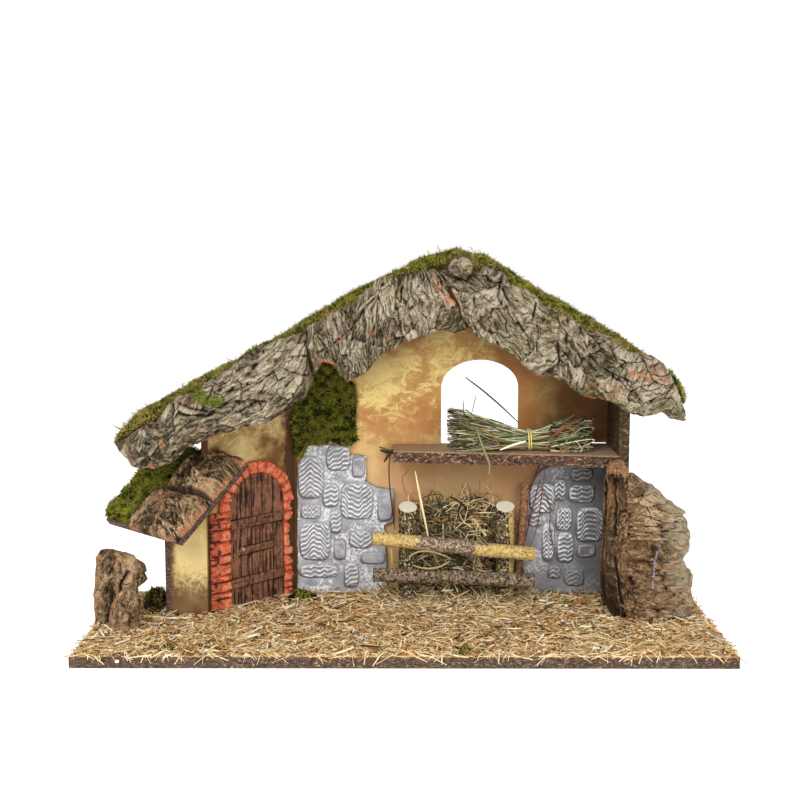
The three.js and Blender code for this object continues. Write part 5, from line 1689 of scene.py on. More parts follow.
@dataclass
class LeanToBark:
    """The two bark pieces on the lean-to's front edge."""

    finish: BarkFinish = BarkFinish(
        "lean_to_bark", pale=rgb(206, 174, 134), middle=rgb(142, 114, 84), dark=rgb(70, 53, 37),
        crack=rgb(24, 17, 11), inner=rgb(206, 138, 100), green=rgb(108, 94, 54),
    )

    def sheet(self, x_range: tuple[float, float], y_range: tuple[float, float], lift: float, seed: int,
              fall: float) -> Shape:
        """A piece of bark lying on the lean-to.

        Args:
            x_range: its reach up the slope.
            y_range: its reach along the eave.
            lift: how high it stands.
            seed: its relief's seed.
            fall: how much lower it is at the far end, as a share.

        Returns:
            The mesh.
        """
        grain = Grain(seed)
        t, s = crossed(np.linspace(0, math.pi, 130), np.linspace(0, math.pi, 150))
        u, v = (1 - np.cos(t)) / 2, (1 - np.cos(s)) / 2
        x = x_range[0] + (x_range[1] - x_range[0]) * u
        y = y_range[0] + (y_range[1] - y_range[0]) * v
        flat = spots(x, y, 0)
        rim = 1 - np.minimum(1, np.minimum(np.minimum(u, 1 - u) * 50, np.minimum(v, 1 - v) * 75) / 9)
        push = 4.5 * grain.swing(flat, 14, 3) * rim
        x = x + push * np.sign(u - 0.5)
        y = y + push * np.sign(v - 0.5)
        skin = BarkSkin(seed, depth=1.15)
        height = skin.relief(y, x)
        height = height + 2.6 * ease(grain.plates(y + push, x - push, 13, 9)[0], 0.0, 0.14) - 1.6
        crown = (np.sin(t) ** 0.4) * (np.sin(s) ** 0.4)
        up = np.maximum(0.6, (lift * (1 - fall * v) * (0.55 + 0.45 * crown) + height) * crown)
        layers = hollows(height, 4)
        layers["tone"] = np.clip(1.7 * skin.tone(y, x) - 0.38 - 0.12 * (fall > 0), 0, 1)
        layers["plate"] = skin.plate(y, x)
        # painted shade in the hollows and in the gap where the two pieces meet
        seam = (1 - ease(np.abs(x - 48), 1.5, 5.0)) * (0.5 + 0.5 * (fall > 0))
        layers["deep"] = np.maximum(layers["deep"] * crown, 0.9 * seam)
        edge = 1 - ease(up, 3, 9)
        edge = edge * ease(grain.layered(flat, 9, 3), 0.36, 0.5)
        layers["inner"] = np.maximum(edge, 0.7 * ease(grain.layered(flat + 30, 9, 4), 0.6, 0.68))
        top, low = spots(x, y, LEAN_TO_TOP + up), spots(x, y, LEAN_TO_TOP)
        return slab(top, low, layers).turned(lean_to_frame())

    def build(self) -> None:
        """Builds both pieces."""
        material = self.finish.make()
        lower = self.sheet((-3.5, 48.5), (-2.5, 80), 15.5, 21, 0.0)
        as_piece("annex_bark_lower", lower, material)
        upper = self.sheet((47.5, 102), (-2.5, 68), 29, 22, 0.4)
        as_piece("annex_bark_upper", upper, material)


@dataclass(frozen=True)
class CorkPiece:
    """An upright piece of cork bark.

    Args:
        node: the CAD node.
        corner: X and Y that its levels are measured from.
        levels: height over the straw, then left, right, front and back reach.
        skin: its relief.
        squareness: how square its section is, lower is squarer.
        lines: horizontal cracks, as heights over the straw.
        splits: upright cracks, as points of X and Z in the front view.
        grey: how grey its right side is, from 0 to 1.
        free_right: whether nothing touches its right side.
        shade_to: how far its dark left side reaches, 0 for none.
        glue: a line of dried glue, as points of X and Z in the front view.
        fresh: the height where its torn cork begins.
    """

    node: str
    corner: tuple[float, float]
    levels: tuple[tuple[float, float, float, float, float], ...]
    skin: BarkSkin
    squareness: float = 0.7
    lines: tuple[float, ...] = ()
    splits: tuple[Pairs, ...] = ()
    grey: float = 0.0
    free_right: bool = False
    shade_to: float = 0.0
    glue: Pairs = ()
    fresh: float = 999.0

    def build(self) -> Shape:
        """Builds the piece's mesh."""
        table = np.array(self.levels, dtype=float)
        height = table[-1, 0]
        z = np.linspace(0, height, int(height / 0.75) + 2)
        angle = full_turn(230)
        x0, x1, y0, y1 = (np.interp(z, table[:, 0], table[:, k])[:, None] for k in (1, 2, 3, 4))
        turns = (np.cos(angle), np.sin(angle))
        shaped_x, shaped_y = (np.sign(turn) * np.abs(turn) ** self.squareness for turn in turns)
        out_x, out_y = (x1 - x0) / 2 * shaped_x, (y1 - y0) / 2 * shaped_y
        x, y = (x0 + x1) / 2 + out_x, (y0 + y1) / 2 + out_y
        level = z[:, None] + 0 * x
        front_x, front_z = x + self.corner[0], level + STRAW_TOP
        grain = Grain(self.skin.seed + 3)
        places = spots(x, y, level)
        height_map = self.skin.relief(level, x * 0.9 + y * 0.35, y)
        wave = 2.0 * grain.swing(places, (16, 16, 9), 3)
        front = ease(-np.sin(angle), -0.1, 0.3)
        sideways = np.cos(angle) - 0.3 if self.free_right else 0 * angle
        facing = np.clip(1.6 * np.maximum(-np.sin(angle), sideways), 0, 1)
        lump = 0.5 - 0.5 * bark_lump(front_x, y + self.corner[1], level)
        crack = np.zeros(x.shape)
        for at in self.lines:
            bend = 9 * grain.swing(spots(x, y, at), 16, 4)
            share = ease(grain.smooth(spots(x, y, 3 * at), 12), 0.35, 0.65)
            crack = np.maximum(crack, (1 - ease(np.abs(level + bend - at), 0.1, 1.3)) * front * share)
        split = np.zeros(x.shape)
        for line in self.splits:
            away = distance_to_line(front_x + 4 * grain.swing(places, 8, 3), front_z, line)
            split = np.maximum(split, (1 - ease(away, 0.6, 3.0)) * front)
        push = np.clip(height_map + wave, -4, 3.0) - 1.5 * crack - 4.5 * split
        push = push * (0.25 + 0.75 * facing) - 5 * facing * lump
        length = np.hypot(out_x, out_y) + 1e-6
        push_share = np.minimum(1, length / 9) * push / length
        x, y = x + push_share * out_x, y + push_share * out_y
        places = spots(x, y, level)
        layers = hollows(push, 4, True)
        shade = np.clip(1 - (x - x0) / max(1.0, self.shade_to), 0, 1) * front * (self.shade_to > 0)
        across = x * 0.9 + y * 0.35
        layers["tone"] = np.clip(self.skin.tone(level, across, y) - 0.6 * shade, 0, 1)
        # painted shade in the hollows, cracks and splits
        layers["deep"] = np.maximum(layers["deep"], np.maximum(0.5 * crack, split))
        layers["plate"] = self.skin.plate(level, across, y)
        share = (x - x0) / (x1 - x0)
        inner = 0.5 * ease(grain.layered(places, (24, 24, 40), 3), 0.55, 0.72)
        inner = np.maximum(inner, 0.9 * ease(level, self.fresh, self.fresh + 4))
        side = ease(share, 0.2, 0.04) * ease(grain.layered(places, 9, 3), 0.45, 0.6)
        layers["inner"] = np.maximum(inner, 0.8 * side * self.free_right)
        layers["grey"] = self.grey * ease(share + 0.35 * (grain.smooth(places, 22) - 0.5), 0.45, 0.85)
        if self.glue:
            bend = 1.5 * grain.swing(places, 5, 2)
            away = distance_to_line(x + self.corner[0] + bend, front_z, self.glue)
            broken = ease(grain.layered(spots(x, y, level + 60), 6, 3), 0.36, 0.5)
            layers["glue"] = (1 - ease(away, 0.2, 1.0)) * front * broken * 0.85
        return self.capped(spots(x + self.corner[0], y + self.corner[1], front_z), layers, grain)

    def capped(self, rings: Array, layers: dict[str, Array], grain: Grain) -> Shape:
        """Closes the piece with a torn top.

        Args:
            rings: the piece's rings, from its foot up.
            layers: named grids of values.
            grain: the noise of its lumps.

        Returns:
            The mesh.
        """
        steps = 14
        last = rings[-1]
        middle = last.mean(0)
        offset = np.array([*self.corner, 0.0])
        all_rings, kept = [rings], {name: [values] for name, values in layers.items()}
        for step in range(1, steps):
            share = step / steps
            ring = middle + (last - middle) * (1 - share)
            bump = 4.5 * grain.swing(ring - offset, 6, 3) + 2.2 * math.sin(math.pi * share * 0.5)
            ring[:, 2] += bump * min(1, share * 5)
            all_rings.append(ring[None])
            for name, values in layers.items():
                level = 0.45 if name == "inner" else 0.2
                kept[name].append(values[-1:] * (1 - share) + level * share)
        joined_layers = {name: np.concatenate(values) for name, values in kept.items()}
        return loft(np.concatenate(all_rings), joined_layers)


@dataclass
class CorkGroup:
    """The column beside the right wall and the stumps at the front left."""

    finish: BarkFinish = BarkFinish(
        "column_cork", pale=rgb(212, 184, 146), middle=rgb(150, 118, 86), dark=rgb(92, 66, 43),
        crack=rgb(34, 22, 13), inner=rgb(190, 140, 98), green=rgb(118, 96, 66),
    )
    stump_finish: BarkFinish = BarkFinish(
        "stump_cork", pale=rgb(202, 174, 134), middle=rgb(142, 114, 84), dark=rgb(80, 62, 43),
        crack=rgb(20, 14, 9), inner=rgb(200, 142, 104), green=rgb(98, 90, 54),
    )
    column: tuple[CorkPiece, ...] = (
        CorkPiece("column_bark_lining", (210.7, 26.0), (
            (0, -9.7, 0, 1, 36), (38, -12.7, 0, 0, 34), (87, -10.7, 0, 1, 30), (128, -11.7, 0, 1, 24),
            (145.2, -8.7, 0, 3, 18)), BarkSkin(51, Run.ALONG, 0.7), shade_to=40),
        CorkPiece("column_bark_front", (221.0, 25.7), (
            (0, -18, 0, -28.7, 0), (28, -23, 0, -30.7, 0), (63, -25, -1, -28.7, 0), (93, -22, 0, -27.7, 0),
            (128, -22, -1, -25.7, 0), (146, -24, -1, -22.7, 0), (154, -21, -7, -17.7, -3.7)),
            BarkSkin(52, Run.ALONG, 0.9),
            splits=(((204, 74), (212, 34), (220, 24)), ((200, 150), (204, 120), (201, 96))),
            shade_to=30, fresh=142.0),
        CorkPiece("column_bark_outer", (221.3, 26.0), (
            (0, -8, 68.4, -34, 20), (17, -8, 65.4, -38, 20), (30, -8, 61.4, -39, 18),
            (46, -8, 61.4, -38, 18), (56, -8, 55.4, -35, 16), (68, -8, 59.4, -38, 14),
            (83, -8, 61.4, -36, 12),
            (94, -8, 58.4, -34, 10), (106, -8, 52.4, -31, 6), (115, -8, 40.4, -30, 4),
            (125, -8, 27.4, -28, 2), (136, -7, 15.4, -25, 0), (141, -6, 9.4, -21, -4)),
            BarkSkin(53, Run.ACROSS, 1.0), lines=(123, 104, 89, 72, 58, 43, 27, 12), grey=0.9,
            free_right=True, glue=((252, 97), (247, 88), (243, 74), (241.5, 60), (240, 47)),
            splits=(((212, 98), (206, 84), (209, 70), (216, 48)),)),
    )
    stumps: tuple[CorkPiece, ...] = (
        CorkPiece("stump_tall", (-299.0, 12.0), (
            (0, 0, 37, -38, -6), (18, 0, 41, -37, -5), (33, 0, 44, -37, -6), (44, 1, 52, -37, -7),
            (51, 2, 54, -36, -9), (59, 3, 52, -36, -12), (67, 4, 44, -35, -15), (73, 7, 22, -32, -20)),
            BarkSkin(54, Run.ALONG, 1.0), free_right=True,
            splits=(((-287, 12), (-284, 30), (-282, 44)), ((-262, 66), (-270, 52), (-266, 40)))),
        CorkPiece("stump_chunk", (-280.0, -26.8), (
            (0, 1, 32, -19.2, -0.2), (12, 0, 33, -19.2, 0), (26, 3, 34, -17.2, 0), (36, 8, 31, -14.2, -0.2),
            (40, 14, 26, -11.2, -2.2)), BarkSkin(55, Run.ALONG, 0.8), free_right=True),
    )

    def build(self) -> None:
        """Builds all five pieces."""
        for pieces, finish in ((self.column, self.finish), (self.stumps, self.stump_finish)):
            material = finish.make()
            for piece in pieces:
                as_piece(piece.node, piece.build(), material)


# Painted reliefs


class StoneCut(Enum):
    """The ridges cast into a stone."""

    PEAK = "arcs with their peak in the middle"
    VALLEY = "arcs hanging down"
    RISING = "ridges rising to the right"
    FALLING = "ridges falling to the right"
    LEVEL = "level ridges"
    PLAIN = "no ridges"
    BLOTCH = "white blotches"


@dataclass(frozen=True)
class CastStone:
    """One stone of a relief.

    Args:
        x: its middle, from the relief's own side.
        z: its middle, over the relief's foot.
        width: how wide it is.
        height: how high it is.
        cut: its ridges.
        white: how much white is on its crests, from 0 to 1.
        tilt: how far it leans, in degrees.
    """

    x: float
    z: float
    width: float
    height: float
    cut: StoneCut
    white: float = 0.9
    tilt: float = 0.0

    def ridges(self, x: Array, z: Array) -> Array:
        """The ridges' height from 0 to 1 at places measured from its middle."""
        slant = {
            StoneCut.PEAK: 7 * (1 - np.cos(np.clip(0.17 * x, -2, 2))),
            StoneCut.VALLEY: -7 * (1 - np.cos(np.clip(0.15 * x, -2, 2))),
            StoneCut.RISING: -0.45 * x,
            StoneCut.FALLING: 0.45 * x,
            StoneCut.LEVEL: -0.12 * x,
            StoneCut.PLAIN: 0 * x,
            StoneCut.BLOTCH: 2 * np.sin(0.8 * x),
        }[self.cut]
        wave = 0.9 * np.sin(0.62 * x + 0.3 * self.x)
        return 0.5 + 0.5 * np.sin(2 * math.pi * (z + slant + wave) / 4.9 + 0.35 * np.sin(1.1 * x + self.z))


@dataclass(frozen=True)
class StoneRelief:
    """A cast panel of stones glued to the back wall.

    Args:
        node: the CAD node.
        origin: X that the panel is measured from.
        outline: its outline in the panel's own measures.
        stones: the measures of each of its stones.
        seed: the seed of its wear.
        base: how much painted shade darkens its ground, from 0 to 1, on the left and on the right.
    """

    node: str
    origin: float
    outline: Pairs
    stones: tuple[tuple, ...]
    seed: int
    base: tuple[float, float] = (0.0, 0.0)

    def build(self) -> Shape:
        """Builds the panel's mesh."""
        xs, zs = zip(*self.outline)
        step = 0.62
        x, z = crossed(np.arange(min(xs), max(xs) + step, step), np.arange(min(zs), max(zs) + step, step))
        grain = Grain(self.seed)
        flat = spots(x, z, 0)
        wobble = 1.5 * grain.swing(flat, 9, 2)
        keep = inside(x[:-1, :-1] + step / 2 + wobble[:-1, :-1], z[:-1, :-1] + step / 2, self.outline)
        out = 5.0 + 0.9 * grain.swing(flat, 12, 3)
        crest = 0.8 * ease(grain.layered(flat, (16, 14, 5), 3), 0.42, 0.6)
        crest = crest * ease(grain.layered(flat, 1.5, 2), 0.42, 0.56)
        # painted shade over the panel, from base's left value to its right one; it also dims the white crests
        share = (x - min(xs)) / (max(xs) - min(xs))
        shade = self.base[0] + (self.base[1] - self.base[0]) * share
        crest = crest * (1 - 0.85 * np.minimum(1, 1.6 * shade))
        groove = np.zeros(x.shape)
        for stone in (CastStone(*measures) for measures in self.stones):
            c, s = math.cos(math.radians(stone.tilt)), math.sin(math.radians(stone.tilt))
            dx, dz = x - stone.x + wobble, z - stone.z + wobble
            a, b = c * dx + s * dz, -s * dx + c * dz
            half_w, half_h = stone.width / 2 + 0.7, stone.height / 2 + 0.7
            reach = (np.abs(a / half_w) ** 4 + np.abs(b / half_h) ** 4) ** 0.25
            inward = (1 - reach) * min(half_w, half_h)
            raised = ease(inward, -0.2, 1.5)
            ridge = stone.ridges(dx, dz)
            rib = 0.0 if stone.cut is StoneCut.PLAIN else 0.95
            out = np.where(inward > -0.3, 5.0 + raised * (2.4 + rib * ridge), out)
            wear = 0.35 + 0.65 * ease(grain.layered(flat + 50, 7, 4), 0.3, 0.5)
            top = stone.white * raised * ease(ridge, 0.6, 0.85) * wear * (1 - 0.75 * shade ** 3)
            if stone.cut is StoneCut.PLAIN:
                top = stone.white * raised * ease(grain.layered(flat, 5, 3), 0.5, 0.65) * 0.5
            rim = 0.75 * stone.white * ease(inward, 0.3, 1.2) * (1 - ease(inward, 1.4, 2.6))
            rim = rim * (b > -0.3 * half_h)
            crest = np.where(inward > -0.3, np.maximum(top, rim), crest)
            # painted shade on the lower left of each stone's outline
            lower_left_shade = ease(-(a / half_w) * 0.6 - (b / half_h), 0.35, 0.95)
            ring = ease(inward, -1.4, -0.3) * (1 - ease(inward, 0.0, 0.8))
            valley = 0.55 * raised * ease(0.42 - ridge, 0.0, 0.35) * (stone.cut is not StoneCut.PLAIN)
            valley = np.maximum(valley, ring * (0.12 + 0.88 * lower_left_shade))
            groove = np.maximum(groove * (inward < -0.3), valley)
        out = out - 0.8 * groove
        layers = {"crest": crest, "groove": groove * 0.85, "shade": shade}
        x, back, z = self.origin + x, WALL_FACE - 0.2, z + RELIEF_FOOT
        return tiled(spots(x, back - out, z), spots(x, back, z), keep, layers)


@dataclass
class StoneWork:
    """Both cast panels on the back wall."""

    finish: StoneFinish = StoneFinish("stone_paint")

    def left(self) -> StoneRelief:
        """The panel beside the angled wall."""
        cut = StoneCut
        return StoneRelief("stone_relief_left", LEFT_PANEL_X, (
            (2, 0), (96, 0), (96, 27.7), (93, 72.7), (102, 76.7), (103, 109.7), (85, 112.7), (73, 119.7),
            (75, 123.7), (74, 145.7), (58, 146.7), (57, 156.7), (34, 157.7), (15, 156.7), (7, 142.7),
            (3, 136.7),
        ), (
            (17, 123.7, 25, 43, cut.PEAK, 1.0), (46, 143.7, 23, 25, cut.RISING, 0.9),
            (67, 134.7, 12, 20, cut.PLAIN, 0.4), (38, 104.7, 15, 23, cut.LEVEL, 0.9),
            (65, 98.7, 32, 37, cut.VALLEY, 1.0), (94.5, 92.7, 14, 30, cut.PLAIN, 0.3),
            (17, 87.7, 20, 14, cut.BLOTCH, 0.8), (43, 76.7, 11, 23, cut.RISING, 0.8),
            (21, 55.7, 31, 39, cut.PEAK, 1.0), (47, 46.7, 11, 21, cut.PLAIN, 0.4),
            (69, 57.7, 23, 17, cut.VALLEY, 0.8), (25, 23.7, 40, 13, cut.LEVEL, 1.0),
            (59, 19.7, 14, 25, cut.RISING, 0.9), (82, 37.7, 24, 12, cut.PLAIN, 0.3),
        ), 61)

    def right(self) -> StoneRelief:
        """The panel beside the column."""
        cut = StoneCut
        return StoneRelief("stone_relief_right", RIGHT_PANEL_X, (
            (-79, 0), (-1, 0), (-1, 139.7), (-68, 139.7), (-75, 120.7), (-82, 104.7), (-82, 86.7),
            (-85, 71.7), (-86, 28.7),
        ), (
            (-26, 126.7, 21, 13, cut.LEVEL, 0.5), (-49, 110.7, 11, 22, cut.BLOTCH, 1.3),
            (-26, 106.7, 25, 18, cut.LEVEL, 1.3), (-67, 101.7, 25, 30, cut.PEAK, 1.4),
            (-44, 79.7, 15, 24, cut.BLOTCH, 1.3), (-17, 73.7, 26, 36, cut.PEAK, 1.3),
            (-74, 78.7, 13, 13, cut.LEVEL, 1.3), (-60, 55.7, 12, 41, cut.BLOTCH, 1.3),
            (-42, 49.7, 16, 32, cut.LEVEL, 1.3), (-20, 45.7, 18, 13, cut.PLAIN, 0.5),
            (-32, 16.7, 19, 17, cut.PEAK, 0.3), (-53, 22.7, 11, 12, cut.BLOTCH, 0.5),
        ), 62, base=(0.0, 0.95))

    def build(self) -> None:
        """Builds both panels."""
        material = self.finish.make()
        for relief in (self.left(), self.right()):
            as_piece(relief.node, relief.build(), material)


@dataclass
class Doorway:
    """The cast door and its bricks on the angled wall.

    Args:
        middle: the door's middle along the wall.
        width: the door's width.
        spring: the height where its arch begins.
        left_jamb: the left jamb's width.
        right_jamb: the right jamb's width.
        ring: the arch's width.
        courses: the heights of the left jamb's joints.
        lift: how far the cast pieces' backs stand over the wall's face.
        bands: the heights of the door's bands.
        latch: the height of its latch.
        bricks: the bricks' paint.
        door: the door's paint.
    """

    middle: float = 59.0
    width: float = 70.0
    spring: float = 112.0
    left_jamb: float = 22.0
    right_jamb: float = 10.0
    ring: float = 12.0
    courses: tuple[float, ...] = (14, 25, 31.5, 42, 49, 60, 69.5, 83, 95, 106, 118)
    lift: float = 0.3
    bands: tuple[float, ...] = (38.0, 98.0)
    latch: float = 70.0
    bricks: PaintFinish = PaintFinish("brick_paint", rgb(208, 90, 58), rgb(236, 146, 106), rgb(64, 32, 24))
    door: PaintFinish = PaintFinish("door_paint", rgb(74, 44, 31), rgb(150, 103, 76), rgb(16, 9, 6))

    def grid(self, s0: float, s1: float, step: float) -> tuple[Array, Array]:
        """A grid over the wall's face, along it and up."""
        top = self.spring + self.width / 2 + self.ring
        return crossed(np.arange(s0, s1 + step, step), np.arange(RELIEF_FOOT, top + step, step))

    def surround(self) -> Shape:
        """The bricks."""
        half = self.width / 2
        corner = self.middle - half - self.left_jamb
        s, z = self.grid(corner, self.middle + half + self.right_jamb, 0.6)
        grain = Grain(71)
        flat = spots(s, z, 0)
        wobble = 1.6 * grain.swing(flat, 8, 2)
        radius = np.hypot(s - self.middle, z - self.spring)
        angle = np.arctan2(z - self.spring, s - self.middle)
        arch = z > self.spring
        opening = np.where(arch, radius < half - 0.2, np.abs(s - self.middle) < half - 0.2)
        ragged = grain.swing(spots(0, z, 0), 6, 3)
        right_edge = self.middle + half + self.right_jamb - 2.5 + 11 * ragged
        outer_ring = half + self.ring + 2.2 * wobble
        outer = np.where(arch, radius < outer_ring, s < right_edge)
        keep = (~opening & outer)[:-1, :-1]
        left = s < self.middle
        shift = np.where(left, 0.0, 4.5)
        joint_jamb = np.min([np.abs(z + 1.1 * wobble - at + shift) for at in self.courses], axis=0)
        voussoir = angle / math.pi * 12 + 0.09 * wobble
        joint_arch = np.abs(voussoir - np.round(voussoir)) * math.pi / 12 * radius
        joint = np.where(arch, joint_arch, joint_jamb)
        jamb_rim = np.where(left, np.minimum(self.middle - half - s, s - corner), right_edge - s)
        rim = np.where(arch, np.minimum(radius - half, outer_ring - radius), jamb_rim)
        body = ease(joint + 0.8 * wobble, 0.3, 2.0) * ease(rim + 0.5, 0.0, 1.8)
        lumps = 2.4 * grain.swing(flat, 5, 3)
        out = 3.0 + body * (3.8 + lumps)
        broken = ease(grain.layered(flat + 7, (9, 4, 4), 3), 0.4, 0.55)
        strength = np.where(arch, 0.55, np.where(left, 0.95, 0.5)) * (0.35 + 0.65 * broken)
        groove = (1 - ease(joint + 0.8 * wobble, 0.3, 1.5)) * strength
        # the recessed strip at the left edge of the left jamb: painted shade, with dark holes over it
        side = left & ~arch & (s < corner + 8)
        holes = ease(grain.layered(flat + 30, (4, 3, 3), 3), 0.52, 0.62)
        seam = 1 - ease(np.abs(s - corner - 8 - wobble), 0.3, 1.4)
        seam = 0.85 * seam * (left & ~arch) * broken
        groove = np.maximum(groove, np.where(side, 0.3 + 0.65 * holes, seam))
        pits = ease(grain.layered(flat + 60, 3, 2), 0.66, 0.74)
        groove = np.maximum(groove, 0.6 * pits)
        front, back = spots(s, z, self.lift + out - 2.2 * side), spots(s, z, self.lift)
        layers = {"groove": groove, "crest": ease(grain.layered(flat, 4, 3), 0.5, 0.64) * body * ~side}
        return tiled(front, back, keep, layers).turned(door_frame())

    def panel(self) -> Shape:
        """The door itself."""
        half = self.width / 2 - 0.5
        s, z = self.grid(self.middle - half, self.middle + half, 0.5)
        grain = Grain(72)
        radius = np.hypot(s - self.middle, z - self.spring)
        keep = np.where(z > self.spring, radius < half, True)[:-1, :-1]
        flat = spots(s, z, 0)
        plank = (s - self.middle + half) / (2 * half) * 5
        joint = np.abs(plank - np.round(plank)) * 2 * half / 5
        veins = grain.ridged(flat, (2.6, 24, 4), 3)
        knots = grain.layered(flat, (6, 14, 6), 2)
        out = 2.4 + 1.7 * veins * ease(joint, 0.3, 1.5)
        groove = np.maximum(1 - ease(joint, 0.2, 1.2), ease(0.7 - veins, 0.0, 0.2) * 0.9)
        for height in self.bands:
            band = ease(5.2 - np.abs(z - height - 0.02 * (s - self.middle)), 0.0, 1.0)
            levels = grain.ridged(flat, (24, 1.9, 4), 2)
            out = out * (1 - band) + band * (4.4 + 0.8 * levels)
            groove = groove * (1 - band) + band * ease(0.6 - levels, 0, 0.25) * 0.6
            shadow = ease(6.2 - np.abs(z - height), 0, 1) * (1 - band)
            groove = np.maximum(groove, shadow)
        near = np.abs(z - self.latch - 0.04 * (s - self.middle))
        left = self.middle - half
        reach = ease(s, left + 8, left + 10) * ease(self.middle + 20 - s, 0, 1)
        latch = ease(4.0 - near, 0.0, 1.0) * reach
        out = out * (1 - latch) + latch * 4.6
        # painted shadow round the raised latch
        groove = np.maximum(groove * (1 - latch), ease(5.4 - near, 0, 1) * (1 - latch) * reach)
        knob = 1 - ease(np.hypot(s - left - 15, z - self.latch - 1.5), 1.5, 2.3)
        out = out + knob * 2.2
        # lighter knots, and a painted highlight on the vein crests
        crest = np.maximum(ease(knots, 0.5, 0.7) * 0.5, ease(veins, 0.8, 0.95))
        front, back = spots(s, z, self.lift + out), spots(s, z, self.lift)
        layers = {"groove": np.clip(groove, 0, 1) * (1 - knob), "crest": crest, "knob": knob * 0.9}
        return tiled(front, back, keep, layers).turned(door_frame())

    def build(self) -> None:
        """Builds the bricks and the door."""
        as_piece("brick_surround", self.surround(), self.bricks.make())
        as_piece("door_relief", self.panel(), self.door.make())


# Moss on walls and ground


@dataclass
class SmallMoss:
    """The moss patch on the back wall and the clumps on the ground."""

    material: bpy.types.Material

    def patch(self) -> Shape:
        """The patch in the corner above the left relief."""
        corners = (
            (62, 160.7), (62, 220.7), (53, 220.7), (48, 237.7), (20, 237.7), (6, 219.7), (2.5, 192.7),
            (2.5, 147.7), (4.5, 144.7), (14, 158.7), (34, 159.7),
        )
        x, z = crossed(np.arange(0.0, 66.0), np.arange(140.0, 242.0))
        grain = Grain(81)
        flat = spots(x, z, 0)
        sway = 8 * grain.swing(flat, 11, 4)
        keep = inside(x[:-1, :-1] + sway[:-1, :-1], z[:-1, :-1] + sway[:-1, :-1], corners)
        out = np.maximum(1.0, 3 + 15 * (grain.layered(flat, 11, 3) - 0.36))
        x, back, z = LEFT_PANEL_X + x, WALL_FACE - 0.3, z + RELIEF_FOOT
        return tiled(spots(x, back - out, z), spots(x, back, z), keep, mossy(out))

    def clump(self, x: float, y: float, half_x: float, half_y: float, height: float, seed: int) -> Shape:
        """A lumpy clump on the ground.

        Args:
            x: its middle.
            y: its middle.
            half_x: its reach sideways.
            half_y: its reach to the front and back.
            height: how high it is.
            seed: the seed of its lumps.

        Returns:
            The mesh.
        """
        grain = Grain(seed)
        angle = full_turn(48)
        lift = np.linspace(0.0, math.pi / 2 * 0.97, 16)[:, None]
        px = np.cos(angle) * np.cos(lift)
        py = np.sin(angle) * np.cos(lift)
        places = spots(px * half_x, py * half_y, np.sin(lift) * height)
        swell = 1 + 0.7 * grain.swing(places + 100, max(half_x, height) * 0.6, 3)
        points = places * swell[..., None]
        points[..., 2] = np.maximum(points[..., 2], 0) + STRAW_TOP - 0.5
        return loft(points + np.array([x, y, 0.0]))

    def build(self) -> None:
        """Builds the patch and the clumps."""
        patch = MossBed(12000, 81, (2.0, 7.0), (0.0, -1.0, -0.1), 0.08, light=0.16).grown(self.patch())
        as_piece("moss_corner", patch, self.material)
        clumps = (
            ("moss_mound", -249, 34, 12, 14, 23, 82, 900, 0.9),
            ("moss_tuft_door", -104, 70.5, 14, 8, 9, 83, 700, 0.3),
            ("moss_tuft_front", 54, -98, 8, 5, 5.5, 84, 350, 0.2),
            ("moss_tuft_right", 166, 50, 6, 5, 4.5, 85, 250, 0.2),
            ("moss_tuft_left", -216, -90, 6, 5, 4, 86, 250, 0.3),
        )
        for name, x, y, half_x, half_y, height, seed, count, dry in clumps:
            bed = self.clump(x, y, half_x, half_y, height, seed)
            grown = MossBed(count, seed, (1.5, 5.0), (0.0, -0.3, 1.0), dry).grown(bed)
            as_piece(name, grown, self.material)


# Straw and hay


def straight_paths(middle: Array, along: Array, length: Array) -> Array:
    """Each straw's two ends and its middle, in order.

    Args:
        middle: where each straw's middle is.
        along: which way each points.
        length: how long each is.

    Returns:
        Three points for each straw.
    """
    share = np.array([-0.5, 0.0, 0.5])
    return middle[:, None] + along[:, None] * (share[None, :, None] * length[:, None, None])


